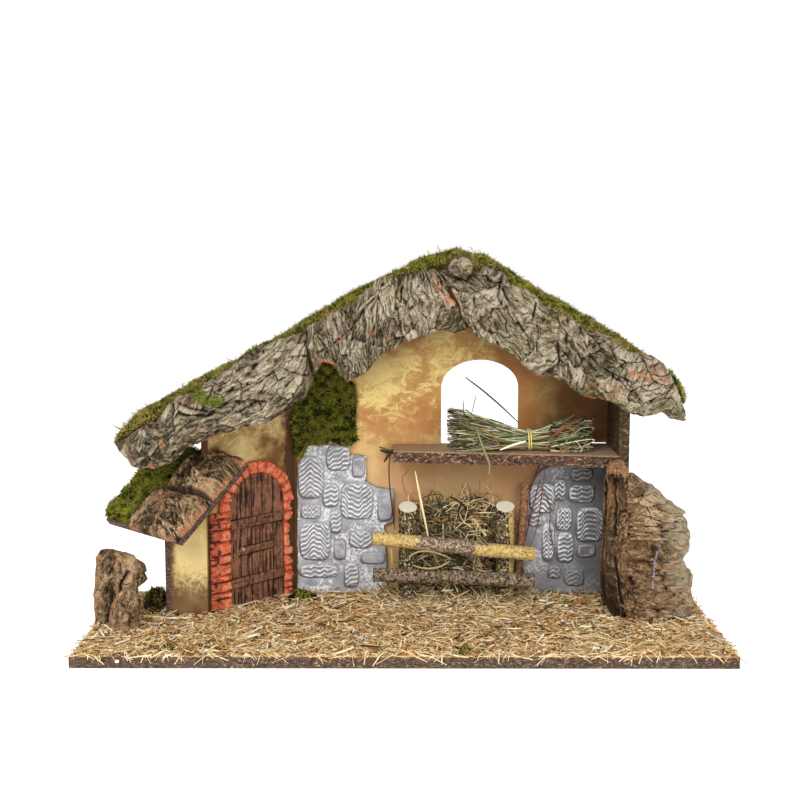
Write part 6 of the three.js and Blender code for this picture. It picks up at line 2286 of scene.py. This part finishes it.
@dataclass
class Ground:
    """The straw glued over the base.

    Args:
        count: how many single straws.
        half_x: how far the chaff reaches sideways.
        half_y: how far the chaff reaches to the front.
        wall: how far it reaches to the back.
        finish: the straw's finish.
    """

    count: int = 13500
    half_x: float = 299.4
    half_y: float = 104.6
    wall: float = 103.0
    finish: StalkFinish = StalkFinish("ground_straw", (
        (0.0, rgb(84, 52, 26)), (0.14, rgb(176, 122, 66)), (0.36, rgb(240, 198, 134)),
        (0.6, rgb(254, 230, 176)), (0.84, rgb(255, 244, 208)), (0.92, rgb(226, 142, 72)),
        (0.96, rgb(226, 142, 72)), (0.985, rgb(255, 250, 234)),
    ), rgb(70, 44, 22))

    def bed(self) -> Shape:
        """The chaff under the straws."""
        x, y = crossed(np.linspace(-self.half_x, self.half_x, 300), np.linspace(-self.half_y, self.wall, 106))
        grain = Grain(91)
        flat = spots(x, y, 0)
        z = 11.4 + 2.2 * (grain.layered(flat, 12, 2) - 0.4) + 2.2 * grain.swing(flat, (5, 3, 3), 2)
        rim = np.minimum(1, np.minimum(self.half_x - np.abs(x), self.half_y - np.abs(y)) / 1.6)
        foot = BASE_TOP + 0.2
        top, low = spots(x, y, foot + (z - foot) * (0.3 + 0.7 * rim)), spots(x, y, BASE_TOP + 0.05)
        tint = 0.1 + 0.5 * grain.layered(flat, 4, 3)
        # painted shade on the chaff between the straws
        deep = 0.35 + 0.4 * ease(grain.layered(flat + 9, (4, 3, 3), 3), 0.55, 0.4)
        return slab(top, low, {"tint": tint, "deep": deep})

    def straws(self) -> Shape:
        """The single straws."""
        rng = np.random.default_rng(92)
        n = self.count
        x = rng.uniform(-298, 298, n)
        y = self.wall - 207 * rng.random(n) ** 0.8
        heading = rng.uniform(-math.pi, math.pi, n)
        length = 3 + 21 * rng.random(n) ** 3.6
        tilt = rng.normal(0, 0.24, n)
        along = spots(np.cos(heading), np.sin(heading), tilt)
        bend = spots(-np.sin(heading), np.cos(heading), 0) * rng.normal(0, 0.05, n)[:, None]
        z = 12.4 + 3.6 * rng.random(n) ** 1.5
        middle = spots(x, y, z)
        paths = straight_paths(middle, along, length)
        paths[:, ::2] += (bend * length[:, None])[:, None]
        paths[..., 0] = np.clip(paths[..., 0], -301.0, 301.0)
        paths[..., 1] = np.clip(paths[..., 1], -107.0, 104.0)
        paths[..., 2] = np.maximum(paths[..., 2], 11.4)
        width = 0.36 + 0.95 * rng.random(n) ** 2.2 + 0.9 * (rng.random(n) < 0.04)
        radius = width[:, None] * np.array([0.9, 1.0, 0.8])[None]
        tint = np.clip(rng.normal(0.52, 0.3, n), 0, 1)
        return stalks(paths, radius, 0.4, tint, 93, 3)

    def overhang(self) -> Shape:
        """The straws that hang over the front edge."""
        rng = np.random.default_rng(94)
        n = 260
        x = rng.uniform(-297, 297, n)
        slant = rng.normal(0, 11, n)
        drop = -0.6 + 9 * rng.random(n) ** 2.4
        start = spots(x, rng.uniform(-103, -92, n), 12.6 + 1.4 * rng.random(n))
        edge = spots(x + 0.6 * slant, -105.6, 11.4 + 0.8 * rng.random(n))
        end = spots(x + 1.2 * slant, -106.3, 11.0 - drop)
        radius = (0.35 + 0.6 * rng.random(n) ** 1.6)[:, None] * np.array([0.9, 1.0, 0.8])[None]
        tint = np.clip(rng.normal(0.6, 0.28, n), 0, 1)
        return stalks(np.stack([start, edge, end], 1), radius, 0.4, tint, 95, 3)

    def chips(self) -> Shape:
        """The larger chips and sticks that can be told apart in the photo."""
        kept = (
            (144, 616.5, 165, 618, 2.4, 0.5), (167, 618, 191, 618, 1.1, 1.0), (238, 606, 246, 612, 1.2, 0.98),
            (115, 661, 119, 661.5, 1.6, 0.99), (150, 658, 165, 650, 0.9, 0.7), (212, 605, 220, 612, 1.0, 0.9),
            (634, 606, 637, 622, 2.0, 0.5), (530, 640, 562, 643, 0.7, 0.45), (537, 600, 548, 601, 1.3, 0.99),
            (441, 598, 470, 599, 1.3, 0.99), (580, 626, 592, 627, 1.2, 0.8), (300, 640, 322, 636, 1.0, 0.6),
        )
        edge, hanging = -105.0, -105.8
        made = []
        for x0, y0, x1, y1, radius, tint in kept:
            pixels = ((x0, y0), (x1, y1))
            ends = np.array([VIEW.on_ground(*pixel, 15.0) for pixel in pixels])
            for end, pixel in zip(ends, pixels):
                if end[1] < edge:
                    end[0], end[2] = VIEW.spot(*pixel, hanging)
                    end[1] = hanging
            path = ends[0] + (ends[1] - ends[0]) * np.linspace(0, 1, 4)[:, None]
            widths = radius * np.array([[0.8, 1.0, 1.0, 0.6]])
            made.append(stalks(path[None], widths, 0.5, np.array([tint]), 96))
        return joined(made)

    def build(self) -> None:
        """Builds the straw."""
        material = self.finish.make()
        straws = joined([self.straws(), self.overhang(), self.chips()])
        as_piece("straw_ground", straws, material)
        as_piece("straw_bed", self.bed(), material, ("straw_ground",))


@dataclass
class Rack:
    """The hay rack: two posts, two rails, a leaning stick and the hay."""

    bark: LimbFinish = LimbFinish(
        "limb_bark", rgb(92, 72, 52), rgb(16, 11, 8), rgb(232, 218, 162), 0.42)
    lower: LimbFinish = LimbFinish(
        "lower_limb", rgb(134, 114, 96), rgb(36, 28, 26), rgb(214, 188, 138), 0.38)
    rail: LimbFinish = LimbFinish(
        "lichen_limb", rgb(142, 114, 92), rgb(70, 52, 46), rgb(216, 202, 170), 0.52)
    smooth: LimbFinish = LimbFinish(
        "smooth_limb", rgb(160, 116, 84), rgb(104, 70, 48), rgb(176, 134, 98), 0.3)
    hay: StalkFinish = StalkFinish("rack_hay", (
        (0.0, rgb(30, 24, 12)), (0.18, rgb(72, 66, 36)), (0.4, rgb(128, 122, 80)),
        (0.58, rgb(178, 164, 116)), (0.68, rgb(160, 108, 62)), (0.84, rgb(112, 66, 36)),
        (0.91, rgb(236, 206, 148)), (1.0, rgb(252, 238, 198)),
    ), rgb(14, 10, 5))

    def limb(self, start: Triple, end: Triple, radius: float, seed: int,
             bare: Pairs = (), rough: float = 1.0,
             strip: tuple[float, ...] = ()) -> Shape:
        """A thin branch with cut ends.

        Args:
            start: one end.
            end: the other end.
            radius: half its thickness.
            seed: its relief's seed.
            bare: stretches without bark, as shares of its length.
            rough: how deep its bark is.
            strip: a peeled strip along all of it, as shares of a turn from its left side over the front.

        Returns:
            The mesh.
        """
        start_at, end_at = np.array(start), np.array(end)
        length = float(np.linalg.norm(end_at - start_at))
        axis = (end_at - start_at) / length
        side = np.cross(axis, [0.0, 1.0, 0.0])
        side /= np.linalg.norm(side)
        other = np.cross(axis, side)
        rows, sides = int(length / 0.9) + 2, 52
        u = np.linspace(0, length, rows)[:, None]
        angle = full_turn(sides)
        grain = Grain(seed)
        round_places = spots(u, radius * np.cos(angle), radius * np.sin(angle))
        bumps = 1.6 * grain.swing(round_places, (14, 5, 5), 3) + 1.0 * grain.swing(round_places, 2.6, 2)
        ridge = grain.ridged(round_places, (16, 2.6, 2.6), 2)
        peeled = np.zeros((rows, sides))
        for low, high in bare:
            place = u / length + 0.3 * grain.swing(round_places, (12, 4, 4), 4)
            ending = ease(place, high - 0.03, high + 0.03)
            peeled = np.maximum(peeled, ease(place, low - 0.03, low + 0.03) * (1 - ending))
        if strip:
            place = angle / (2 * math.pi) + 0.2 * grain.swing(round_places, (9, 4, 4), 4)
            ending = ease(place, strip[1], strip[1] + 0.01)
            peeled = np.maximum(peeled, ease(place, strip[0] - 0.01, strip[0]) * (1 - ending))
        reach = radius - 0.6 + rough * bumps * (1 - 0.6 * peeled) + 0.5 * ridge * (1 - peeled)
        bend = 0.012 * length * (grain.smooth(spots(u, 0, 0), 30) - 0.5)
        centre = start_at + axis * u + other * bend
        spoke = side * np.cos(angle)[..., None] + other * np.sin(angle)[..., None]
        ring = centre[:, None] + reach[..., None] * spoke
        # painted shade in the bark's grooves
        deep = ease(0.5 - ridge, 0, 0.3) * 0.7 * (1 - peeled)
        ends = (0.05, 0.4, 0.75, 0.97)
        first = [centre[0] + (ring[0] - centre[0]) * share for share in ends]
        last = [centre[-1] + (ring[-1] - centre[-1]) * share for share in reversed(ends)]
        pad = ((len(ends), len(ends)), (0, 0))
        cut = np.pad(np.zeros((rows, sides)), pad, constant_values=1.0)
        layers = {"cut": cut, "deep": np.pad(deep, pad), "bare": np.pad(peeled, pad)}
        return loft(np.array([*first, *ring, *last]), layers)

    def heap(self) -> Shape:
        """The hay between the posts and the wall."""
        rng = np.random.default_rng(101)
        grain = Grain(101)
        levels = np.array([(0, 1), (0.11, 1.02), (0.27, 1), (0.45, 0.97), (0.62, 0.9), (0.77, 0.78),
                           (0.89, 0.56), (1, 0.3)])
        lift = np.linspace(0, 1, 60)[:, None]
        angle = full_turn(90)
        share = np.interp(lift, levels[:, 0], levels[:, 1])
        x = 53 * share * np.cos(angle)
        swell = np.where(np.sin(angle) < 0, 14 * share * np.exp(-((x / 26.5) ** 4)), 0)
        y = 86.5 + 10.8 * np.sin(angle) * (0.5 + 0.5 * share) - swell
        middle = 53.6
        core = spots(middle + x * 0.86, y, STRAW_TOP + 0.88 * 109 * lift)
        push = 5 * (grain.layered(core, 8, 3) - 0.62)
        core[..., 1] += np.where(np.sin(angle) < 0, -push, 0)
        core[..., 0] += push * np.sign(np.cos(angle))
        # painted shade in the heap's core
        deep = 0.8 + 0.2 * grain.layered(core, 6, 3)
        body = loft(core, {"deep": deep, "tint": grain.layered(core, 5, 3)})
        n = 1500
        x0 = rng.normal(55, 30, n)
        z0 = STRAW_TOP + 104 * rng.random(n) ** 0.9
        width = 53 * np.interp((z0 - STRAW_TOP) / 112, levels[:, 0], levels[:, 1])
        x0 = np.clip(x0, middle - width, middle + width)
        front = 80 - 14 * np.exp(-(((x0 - middle) / 26.5) ** 4))
        y0 = front + rng.normal(0, 3.6, n) - 1
        heading = rng.uniform(-0.1 * math.pi, 1.1 * math.pi, n)
        length = 11 + 40 * rng.random(n) ** 2.4
        curve = rng.normal(0, 0.8, n)
        steps = np.linspace(-0.5, 0.5, 7)
        turn = heading[:, None] + curve[:, None] * steps[None]
        step_x = np.cos(turn) * (length / 6)[:, None]
        step_z = np.sin(turn) * (length / 6)[:, None]
        path_x = np.cumsum(step_x, 1) - step_x.sum(1, keepdims=True) / 2 + x0[:, None]
        path_z = np.cumsum(step_z, 1) - step_z.sum(1, keepdims=True) / 2 + z0[:, None]
        path_y = y0[:, None] + rng.normal(0, 3.0, (n, 1)) * steps[None] + 2 * steps[None] ** 2
        path_z = np.clip(path_z, 12.6, 141)
        path_y = np.clip(path_y, 57.5, 97.5)
        paths = spots(path_x, path_y, path_z)
        radius = (0.5 + 1.5 * rng.random(n) ** 2.6)[:, None] * np.linspace(1.0, 0.4, 7)[None]
        # pale stalks, more of them low down as painted light on the hay that the rails and shelf shade
        bright = rng.random(n) < np.where(z0 < 66, 0.42, 0.12)
        tint = np.where(bright, rng.uniform(0.9, 1.0, n), rng.random(n) ** 0.9)
        blades = stalks(paths, radius, 0.35, tint, 102, 3)
        # painted shade on a share of the stalks
        blades.layers["deep"] = np.repeat(0.8 * (rng.random(n) < 0.2), 21)
        return joined([body, blades, *self.single_blades(), self.drift(rng)])

    def drift(self, rng: np.random.Generator) -> Shape:
        """The straw heaped up along the foot of the rack.

        Args:
            rng: the source of the straws' places.

        Returns:
            The mesh.
        """
        n = 820
        x = rng.uniform(-34, 136, n)
        y = rng.uniform(46, 84, n)
        height = 14 * np.exp(-(((y - 66) / 14) ** 2)) * (0.6 + 0.4 * np.sin(x / 13) ** 2)
        middle = spots(x, y, 13 + height * rng.random(n))
        heading = rng.uniform(0, math.pi, n)
        along = spots(np.cos(heading), 0.5 * np.sin(heading), rng.normal(0, 0.55, n))
        length = 7 + 18 * rng.random(n) ** 2
        paths = straight_paths(middle, along, length)
        paths[..., 2] = np.maximum(paths[..., 2], STRAW_TOP + 0.2)
        radius = (0.45 + 1.0 * rng.random(n) ** 2)[:, None] * np.array([0.9, 1.0, 0.7])[None]
        tint = np.where(rng.random(n) < 0.25, rng.uniform(0.5, 0.7, n), rng.uniform(0.9, 1.0, n))
        return stalks(paths, radius, 0.4, tint, 108, 3)

    def single_blades(self) -> list[Shape]:
        """The blades, sticks and twigs that can be told apart in the photo."""
        kept = (
            (((392, 449), (389, 462), (389, 478), (391, 500), (395, 530)), 84, 0.9, 0.3, 0.15),
            (((380, 450), (386, 452), (393, 453)), 88, 1.6, 0.3, 0.12),
            (((384, 462), (388, 456), (393, 450)), 88, 1.6, 0.3, 0.16),
            (((379, 447), (385, 449), (392, 451)), 86, 1.2, 0.3, 0.3),
            (((415, 471), (419, 492), (423, 512), (428, 536)), 58, 1.5, 0.6, 0.95),
            (((418, 480), (420, 500), (421, 520)), 60, 1.0, 0.5, 0.6),
            (((409, 560), (411, 555), (416, 552.5), (423, 551), (431, 551.5), (438, 553.5), (445, 556),
              (451, 559)), 43, 1.1, 0.3, 0.6),
            (((412, 565), (420, 568), (430, 569), (440, 567), (450, 561)), 43, 1.2, 0.3, 0.56),
            (((391, 547), (392, 564)), 45, 1.7, 1.0, 0.62),
            (((409, 470), (401, 478), (406, 496)), 70, 0.5, 1.0, 0.8),
            (((540, 484), (551, 506), (549, 528), (556, 560)), 88, 0.6, 1.0, 0.84),
            (((545, 470), (541, 500), (537, 530), (524, 560)), 88, 0.6, 1.0, 0.82),
            (((520, 512), (534, 520), (551, 508), (560, 492)), 87, 0.5, 1.0, 0.85),
            (((530, 486), (540, 470), (556, 463)), 88, 1.3, 1.0, 0.8),
            (((524, 545), (532, 510), (540, 480)), 87, 0.9, 1.0, 0.82),
        )
        return VIEW.blades(kept, 109)

    def build(self) -> None:
        """Builds the rack and its hay."""
        bark, rail = self.bark.make(), self.rail.make()
        posts = (("rack_post_left", 4.0, 103, ()), ("rack_post_right", 103.3, 104, (0.33, 0.48)))
        middle, top = 65, 111
        for name, x, seed, strip in posts:
            post = self.limb((x, middle, STRAW_TOP), (x, middle, top), 9.6, seed, strip=strip)
            y, z = post.points[:, 1], post.points[:, 2]
            post.points[:, 2] += (z > top - 6) * 0.42 * (y - middle) * ease(z, top - 11, top)
            as_piece(name, post, bark)
        upper = self.limb((-31.5, 47.5, 82.3), (132, 47.5, 65.6), 7.6, 105, ((-0.3, 0.3), (0.66, 1.3)))
        as_piece("rack_rail_upper", upper, rail)
        lower = self.limb((-31.5, 47.9, 44.4), (132, 47.9, 38.6), 7.2, 106)
        as_piece("rack_rail_lower", lower, self.lower.make())
        stick = self.limb((115.8, 74.6, 12.4), (126, 86, 131), 4.7, 107, (), 0.4)
        as_piece("rack_end_stick", stick, self.smooth.make())
        as_piece("rack_hay", self.heap(), self.hay.make())


@dataclass
class Loft:
    """The loft's shelf, the hay bundle on it and the bundle's tie.

    Args:
        waist: X of the bundle's waist.
        middle: Y of the bundle's middle.
        lowest: how low the bundle lies.
        shelf_finish: the shelf's finish.
        bundle_finish: the bundle's finish.
        band: the tie's finish.
    """

    waist: float = 126.0
    middle: float = 58.0
    lowest: float = 171.0
    shelf_finish: BoardFinish = BoardFinish(
        "shelf_wood", rgb(28, 17, 12), rgb(92, 66, 50), rgb(206, 172, 136), 700)
    bundle_finish: StalkFinish = StalkFinish("bundle_hay", (
        (0.0, rgb(38, 40, 20)), (0.22, rgb(98, 102, 60)), (0.46, rgb(158, 158, 112)),
        (0.7, rgb(208, 204, 160)), (0.84, rgb(246, 242, 218)), (0.91, rgb(124, 80, 46)),
        (1.0, rgb(166, 112, 64)),
    ), rgb(26, 24, 12))
    band: StalkFinish = StalkFinish("tie_band", ((0.0, rgb(236, 206, 110)), (1.0, rgb(244, 222, 140))),
                                    rgb(176, 140, 60))

    def shelf(self) -> Shape:
        """The shelf board with its ragged front edge."""
        grain = Grain(111)
        x = np.linspace(-11, 211, 260)
        front = 55 + (26 - 55) * (x + 11) / 222
        low, top = 157.8, 170.0
        sections = [self.section(edge, low, top) for edge in front]
        rings = np.array([[(at, y, z) for y, z in section] for at, section in zip(x, sections)])
        rough = 2.4 * grain.swing(rings, (26, 6, 5), 3) + 1.0 * grain.swing(rings, 3.2, 2)
        open_side = rings[..., 1] < front[:, None] + 1.0
        under = rings[..., 2] < low + 0.7
        rings[..., 1] += np.where(open_side, rough - 0.6, 0)
        rings[..., 2] += np.where(under & open_side, 0.9 * rough + 0.6, 0)
        # top marks the upper face for its painted highlight
        return loft(rings, {"top": (rings[..., 2] > top - 0.1) * 1.0})

    @staticmethod
    def section(front: float, low: float, top: float) -> Pairs:
        """The board's outline at one place along it, as Y and Z."""
        up = [(front, low + (top - low) * k / 9) for k in range(10)]
        over = [(front + (WALL_FACE - front) * k / 6, top) for k in range(1, 7)]
        back = [(WALL_FACE - (WALL_FACE - front) * k / 6, low) for k in range(0, 6)]
        return (*up, *over, *back)

    def bundle(self) -> Shape:
        """The hay: stalks that run through the waist and spread at both ends."""
        rng = np.random.default_rng(112)
        n = 980
        stations = np.array([50, 56, 70, 90, 108, 118, 126, 134, 144, 156, 170, 181])
        half_y = np.array([15, 15, 14.5, 13, 10.6, 9.2, 8.7, 9.2, 11.2, 14, 15, 13])
        half_z = np.array([17, 17, 16, 14, 11, 9.4, 8.7, 9.4, 11.6, 14, 15, 12])
        centre_z = np.array([190, 189.5, 187.5, 184.8, 182.4, 181.4, 181.3, 181.4, 182.6, 184.6, 185.5, 184])
        angle = rng.uniform(0, 2 * math.pi, n)
        reach = np.sqrt(rng.random(n)) * 1.02
        swirl = rng.normal(0, 0.55, n)
        first = 43 + 30 * rng.random(n) ** 1.3 + 9 * np.maximum(0, -np.sin(angle)) * reach
        last = rng.uniform(140, 188, n)
        steps = np.linspace(0, 1, 12)
        x = first[:, None] + (last - first)[:, None] * steps[None]
        spread = angle[:, None] + swirl[:, None] * (x - self.waist) / 60
        loose = np.minimum(1, np.abs(x - self.waist) / 45)
        wave = np.sin(x / rng.uniform(7, 16, (n, 1)) + rng.uniform(0, 6, (n, 1)))
        share = reach[:, None] * (1 + 0.22 * loose * wave)
        y = self.middle + np.interp(x, stations, half_y) * share * np.cos(spread)
        z = np.interp(x, stations, centre_z) + np.interp(x, stations, half_z) * share * np.sin(spread)
        curl = ease(x, 150, 187) * rng.normal(0, 5, (n, 1)) + ease(x, 80, 44) * rng.normal(0, 5.0, (n, 1))
        z = np.clip(z + curl, self.lowest, 212 + rng.normal(0, 3, (n, 1)))
        radius = (0.32 + 0.8 * rng.random(n) ** 2.4)[:, None]
        radius = radius * np.interp(x, [50, self.waist, 187], [1.1, 0.85, 0.8])
        straight = stalks(spots(x, y, z), radius, 0.6, rng.random(n) ** 1.1, 113, 3)
        # painted shade on the inner stalks and among the cut ends at the left
        dark = 0.9 * np.maximum(ease(reach, 0.95, 0.6), rng.random(n) < 0.08)
        dark = dark[:, None] * ease(x, 56, 66) + 0.7 * (rng.random((n, 1)) < 0.3) * (1 - ease(x, 50, 60))
        straight.layers["deep"] = np.repeat(dark.ravel(), 3)
        leaves = self.leaves(rng)
        core_x = np.linspace(58, 178, 40)[:, None]
        around = full_turn(28)
        core_y = self.middle + 0.8 * np.interp(core_x, stations, half_y) * np.cos(around)
        core_z = np.interp(core_x, stations, centre_z)
        core_z = core_z + 0.8 * np.interp(core_x, stations, half_z) * np.sin(around)
        core = spots(core_x, core_y, np.maximum(core_z, self.lowest))
        # a dark core: painted shade inside the bundle
        body = loft(core, {"deep": np.full(core.shape[:2], 0.85), "tint": np.full(core.shape[:2], 0.2)})
        return joined([body, straight, leaves, *self.single_blades()])

    def leaves(self, rng: np.random.Generator) -> Shape:
        """The folded leaves at the right end.

        Args:
            rng: the source of the leaves' places.

        Returns:
            The mesh.
        """
        n = 220
        steps = np.linspace(0, 1, 11)[None]
        start_y, start_z = 56 + rng.normal(0, 8, (n, 1)), 183 + rng.normal(0, 6, (n, 1))
        far = rng.uniform(168, 190, (n, 1))
        swing = rng.normal(0, 8, (n, 1))
        x = 146 + (far - 146) * np.sin(math.pi * steps * 0.82)
        y = start_y + rng.normal(0, 6, (n, 1)) * steps
        z = start_z + swing * np.sin(math.pi * steps) + rng.normal(0, 10, (n, 1)) * steps ** 2
        z = np.clip(z, self.lowest + 0.5, 200 + rng.normal(0, 4, (n, 1)))
        y = np.clip(y, 40, 74)
        radius = (0.4 + 0.9 * rng.random((n, 1)) ** 1.5) * (1.1 - 0.8 * steps)
        made = stalks(spots(x, y, z), radius, 0.3, rng.random(n), 114)
        # painted shade on a share of the leaves
        made.layers["deep"] = np.repeat(0.8 * (rng.random(n) < 0.25), 44)
        return made

    @staticmethod
    def single_blades() -> list[Shape]:
        """The blades that can be told apart in the photo."""
        kept = (
            (((519, 423), (500, 405), (480, 388), (465.5, 377.5)), 50, 1.2, 0.7, 0.05),
            (((500, 450), (510, 446), (519, 443), (526, 441)), 41, 1.9, 0.7, 0.84),
            (((476, 428), (484, 450), (490, 464), (489, 474)), 27, 1.8, 0.7, 0.36),
            (((472, 436), (480, 430), (492, 434), (500, 446)), 39, 1.0, 0.7, 0.98),
            (((462, 446), (457, 436), (459, 428)), 48, 0.9, 0.7, 0.02),
            (((458, 428), (462, 434), (470, 438)), 46, 0.8, 0.7, 0.02),
            (((466, 418), (463, 411), (464, 400)), 50, 0.7, 0.7, 0.05),
            (((470, 420), (474, 404), (476, 396)), 50, 0.6, 0.7, 0.15),
            (((500, 466), (508, 456), (514, 451)), 30, 0.7, 0.7, 0.9),
            (((545, 450), (556, 432), (566, 424), (572, 430)), 42, 1.3, 0.7, 0.97),
            (((560, 450), (570, 436), (582, 428)), 43, 1.2, 0.7, 0.4),
        )
        return VIEW.blades(kept, 116)

    def tie(self) -> Shape:
        """The tie: two turns round the waist."""
        turns, pitch, radius, height = 2.0, 2.2, 10.5, 181.45
        t = np.linspace(0, 1, 240)
        angle = 2 * math.pi * turns * t
        x = self.waist + pitch * turns * (t - 0.5)
        path = spots(x, self.middle + radius * np.cos(angle), height + radius * np.sin(angle))
        return stalks(path[None], np.full((1, len(t)), 0.62), 1.0, np.array([0.5]), 115, 8)

    def build(self) -> None:
        """Builds the shelf, the bundle and the tie."""
        as_piece("loft_shelf", self.shelf(), self.shelf_finish.make(), smooth=False)
        as_piece("hay_bundle", self.bundle(), self.bundle_finish.make())
        as_piece("bundle_tie", self.tie(), self.band.make())


# Boards that keep their CAD shape


@dataclass
class Boards:
    """The flat boards: they keep the frame's shape and get their finish here."""

    def build(self) -> None:
        """Dresses each board."""
        wall = WallFinish("back_wall_paint").make()
        door_wall = DoorWallFinish(
            "door_wall_paint", rgb(255, 234, 168), rgb(220, 182, 112), rgb(140, 100, 58),
            rgb(84, 56, 34), 0.0,
        ).make()
        panel = AnnexWallFinish(
            "annex_wall_paint", rgb(226, 200, 138), rgb(200, 166, 104), rgb(176, 140, 84),
            rgb(108, 78, 50), 0.0,
        ).make()
        dark = BoardFinish("dark_board").make()
        base = BoardFinish("base_edge", rgb(44, 32, 26), rgb(92, 72, 58), rgb(184, 160, 130), 900).make()
        edge = BoardFinish("mottled_edge", rgb(30, 22, 16), rgb(70, 54, 36), rgb(196, 164, 88), 900).make()
        dress = {
            "back_wall": wall, "door_wall": door_wall, "annex_front_panel": panel, "annex_side_wall": dark,
            "side_wall_right": edge, "roof_board_left": dark, "roof_board_right": dark,
            "annex_roof_board": dark, "base_board": base,
        }
        for name, material in dress.items():
            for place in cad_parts[name].material_slots:
                place.material = material


# Studio


@dataclass
class Studio:
    """The white studio that the photo was taken in.

    Args:
        lamps: each lamp's name, place, power and width.
    """

    lamps: tuple[tuple[str, Triple, float, float], ...] = (
        ("key", (-0.75, -1.7, 1.35), 29, 0.9),
        ("fill", (0.9, -1.8, 0.75), 15, 1.2),
    )

    def floor(self) -> None:
        """A pale floor that shows as white and keeps the shadow."""
        mesh = bpy.data.meshes.new("floor")
        reach = 4.0
        corners = [(-reach, -reach, 0), (reach, -reach, 0), (reach, reach, 0), (-reach, reach, 0)]
        mesh.from_pydata(corners, [], [(0, 1, 2, 3)])
        board = Recipe("floor_white")
        where = board.place()
        tone = board.blend(board.noise(where, 3.0), rgb(250, 250, 250), rgb(253, 253, 253))
        diffuse = board.node("ShaderNodeBsdfDiffuse", None, {"Color": tone})
        glow = board.node("ShaderNodeEmission", None, {"Color": (1.0, 1.0, 1.0, 1.0), "Strength": 0.55})
        board.node_out(board.node("ShaderNodeAddShader", None, {0: diffuse, 1: glow}))
        mesh.materials.append(board.owner)
        floor = bpy.data.objects.new("floor", mesh)
        floor.location = (0, 0, -0.0004)
        bpy.context.scene.collection.objects.link(floor)

    def world(self) -> None:
        """Soft light from all sides, and pure white behind."""
        board = Recipe("studio", world=True)
        kinds = ("Is Camera Ray", "Is Glossy Ray", "Is Transmission Ray")
        rays = [board.node("ShaderNodeLightPath", output=kind) for kind in kinds]
        seen = rays[0].sum_of("MAXIMUM", rays[1].sum_of("MAXIMUM", rays[2]))
        light = board.node("ShaderNodeBackground", None, {"Color": (1.0, 0.99, 0.97, 1.0), "Strength": 0.6})
        white = board.node("ShaderNodeBackground", None, {"Color": (1.0, 1.0, 1.0, 1.0)})
        board.node_out(board.node("ShaderNodeMixShader", None, {0: seen, 1: light, 2: white}))
        bpy.context.scene.world = board.owner

    def lamp(self, name: str, at: Triple, power: float, size: float) -> None:
        """A soft lamp that faces the stable.

        Args:
            name: its name.
            at: its place in metres.
            power: its power in watts.
            size: its width in metres.
        """
        light = bpy.data.lights.new(name, "AREA")
        light.energy, light.size = power, size
        lamp = bpy.data.objects.new(name, light)
        lamp.location = at
        lamp.rotation_euler = (Vector((0, 0, 0.15)) - Vector(at)).to_track_quat("-Z", "Y").to_euler()
        bpy.context.scene.collection.objects.link(lamp)

    def camera(self) -> None:
        """The photo's camera."""
        data = bpy.data.cameras.new("camera")
        data.sensor_width = 36.0
        data.lens = VIEW.focal * data.sensor_width / PICTURE
        data.clip_start, data.clip_end = 0.05, 20
        camera = bpy.data.objects.new("camera", data)
        camera.location = Vector(VIEW.at) * MM
        camera.rotation_euler = (math.radians(90 - VIEW.pitch), 0, VIEW.turn)
        bpy.context.scene.collection.objects.link(camera)
        scene = bpy.context.scene
        scene.camera = camera
        scene.render.resolution_x = scene.render.resolution_y = PICTURE
        scene.render.resolution_percentage = 100
        scene.view_settings.view_transform = "Standard"

    def build(self) -> None:
        """Builds the studio."""
        self.floor()
        self.world()
        for lamp in self.lamps:
            self.lamp(*lamp)
        self.camera()


def main() -> None:
    """Builds every sub-assembly in order."""
    logging.basicConfig(level=logging.INFO, format="%(name)s %(message)s")
    Boards().build()
    RoofBark().build()
    LeanToBark().build()
    moss = MossFinish().make()
    RoofMoss(moss).build()
    SmallMoss(moss).build()
    CorkGroup().build()
    StoneWork().build()
    Doorway().build()
    Ground().build()
    Rack().build()
    Loft().build()
    Studio().build()
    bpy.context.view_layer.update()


if __name__ == "__main__":
    main()
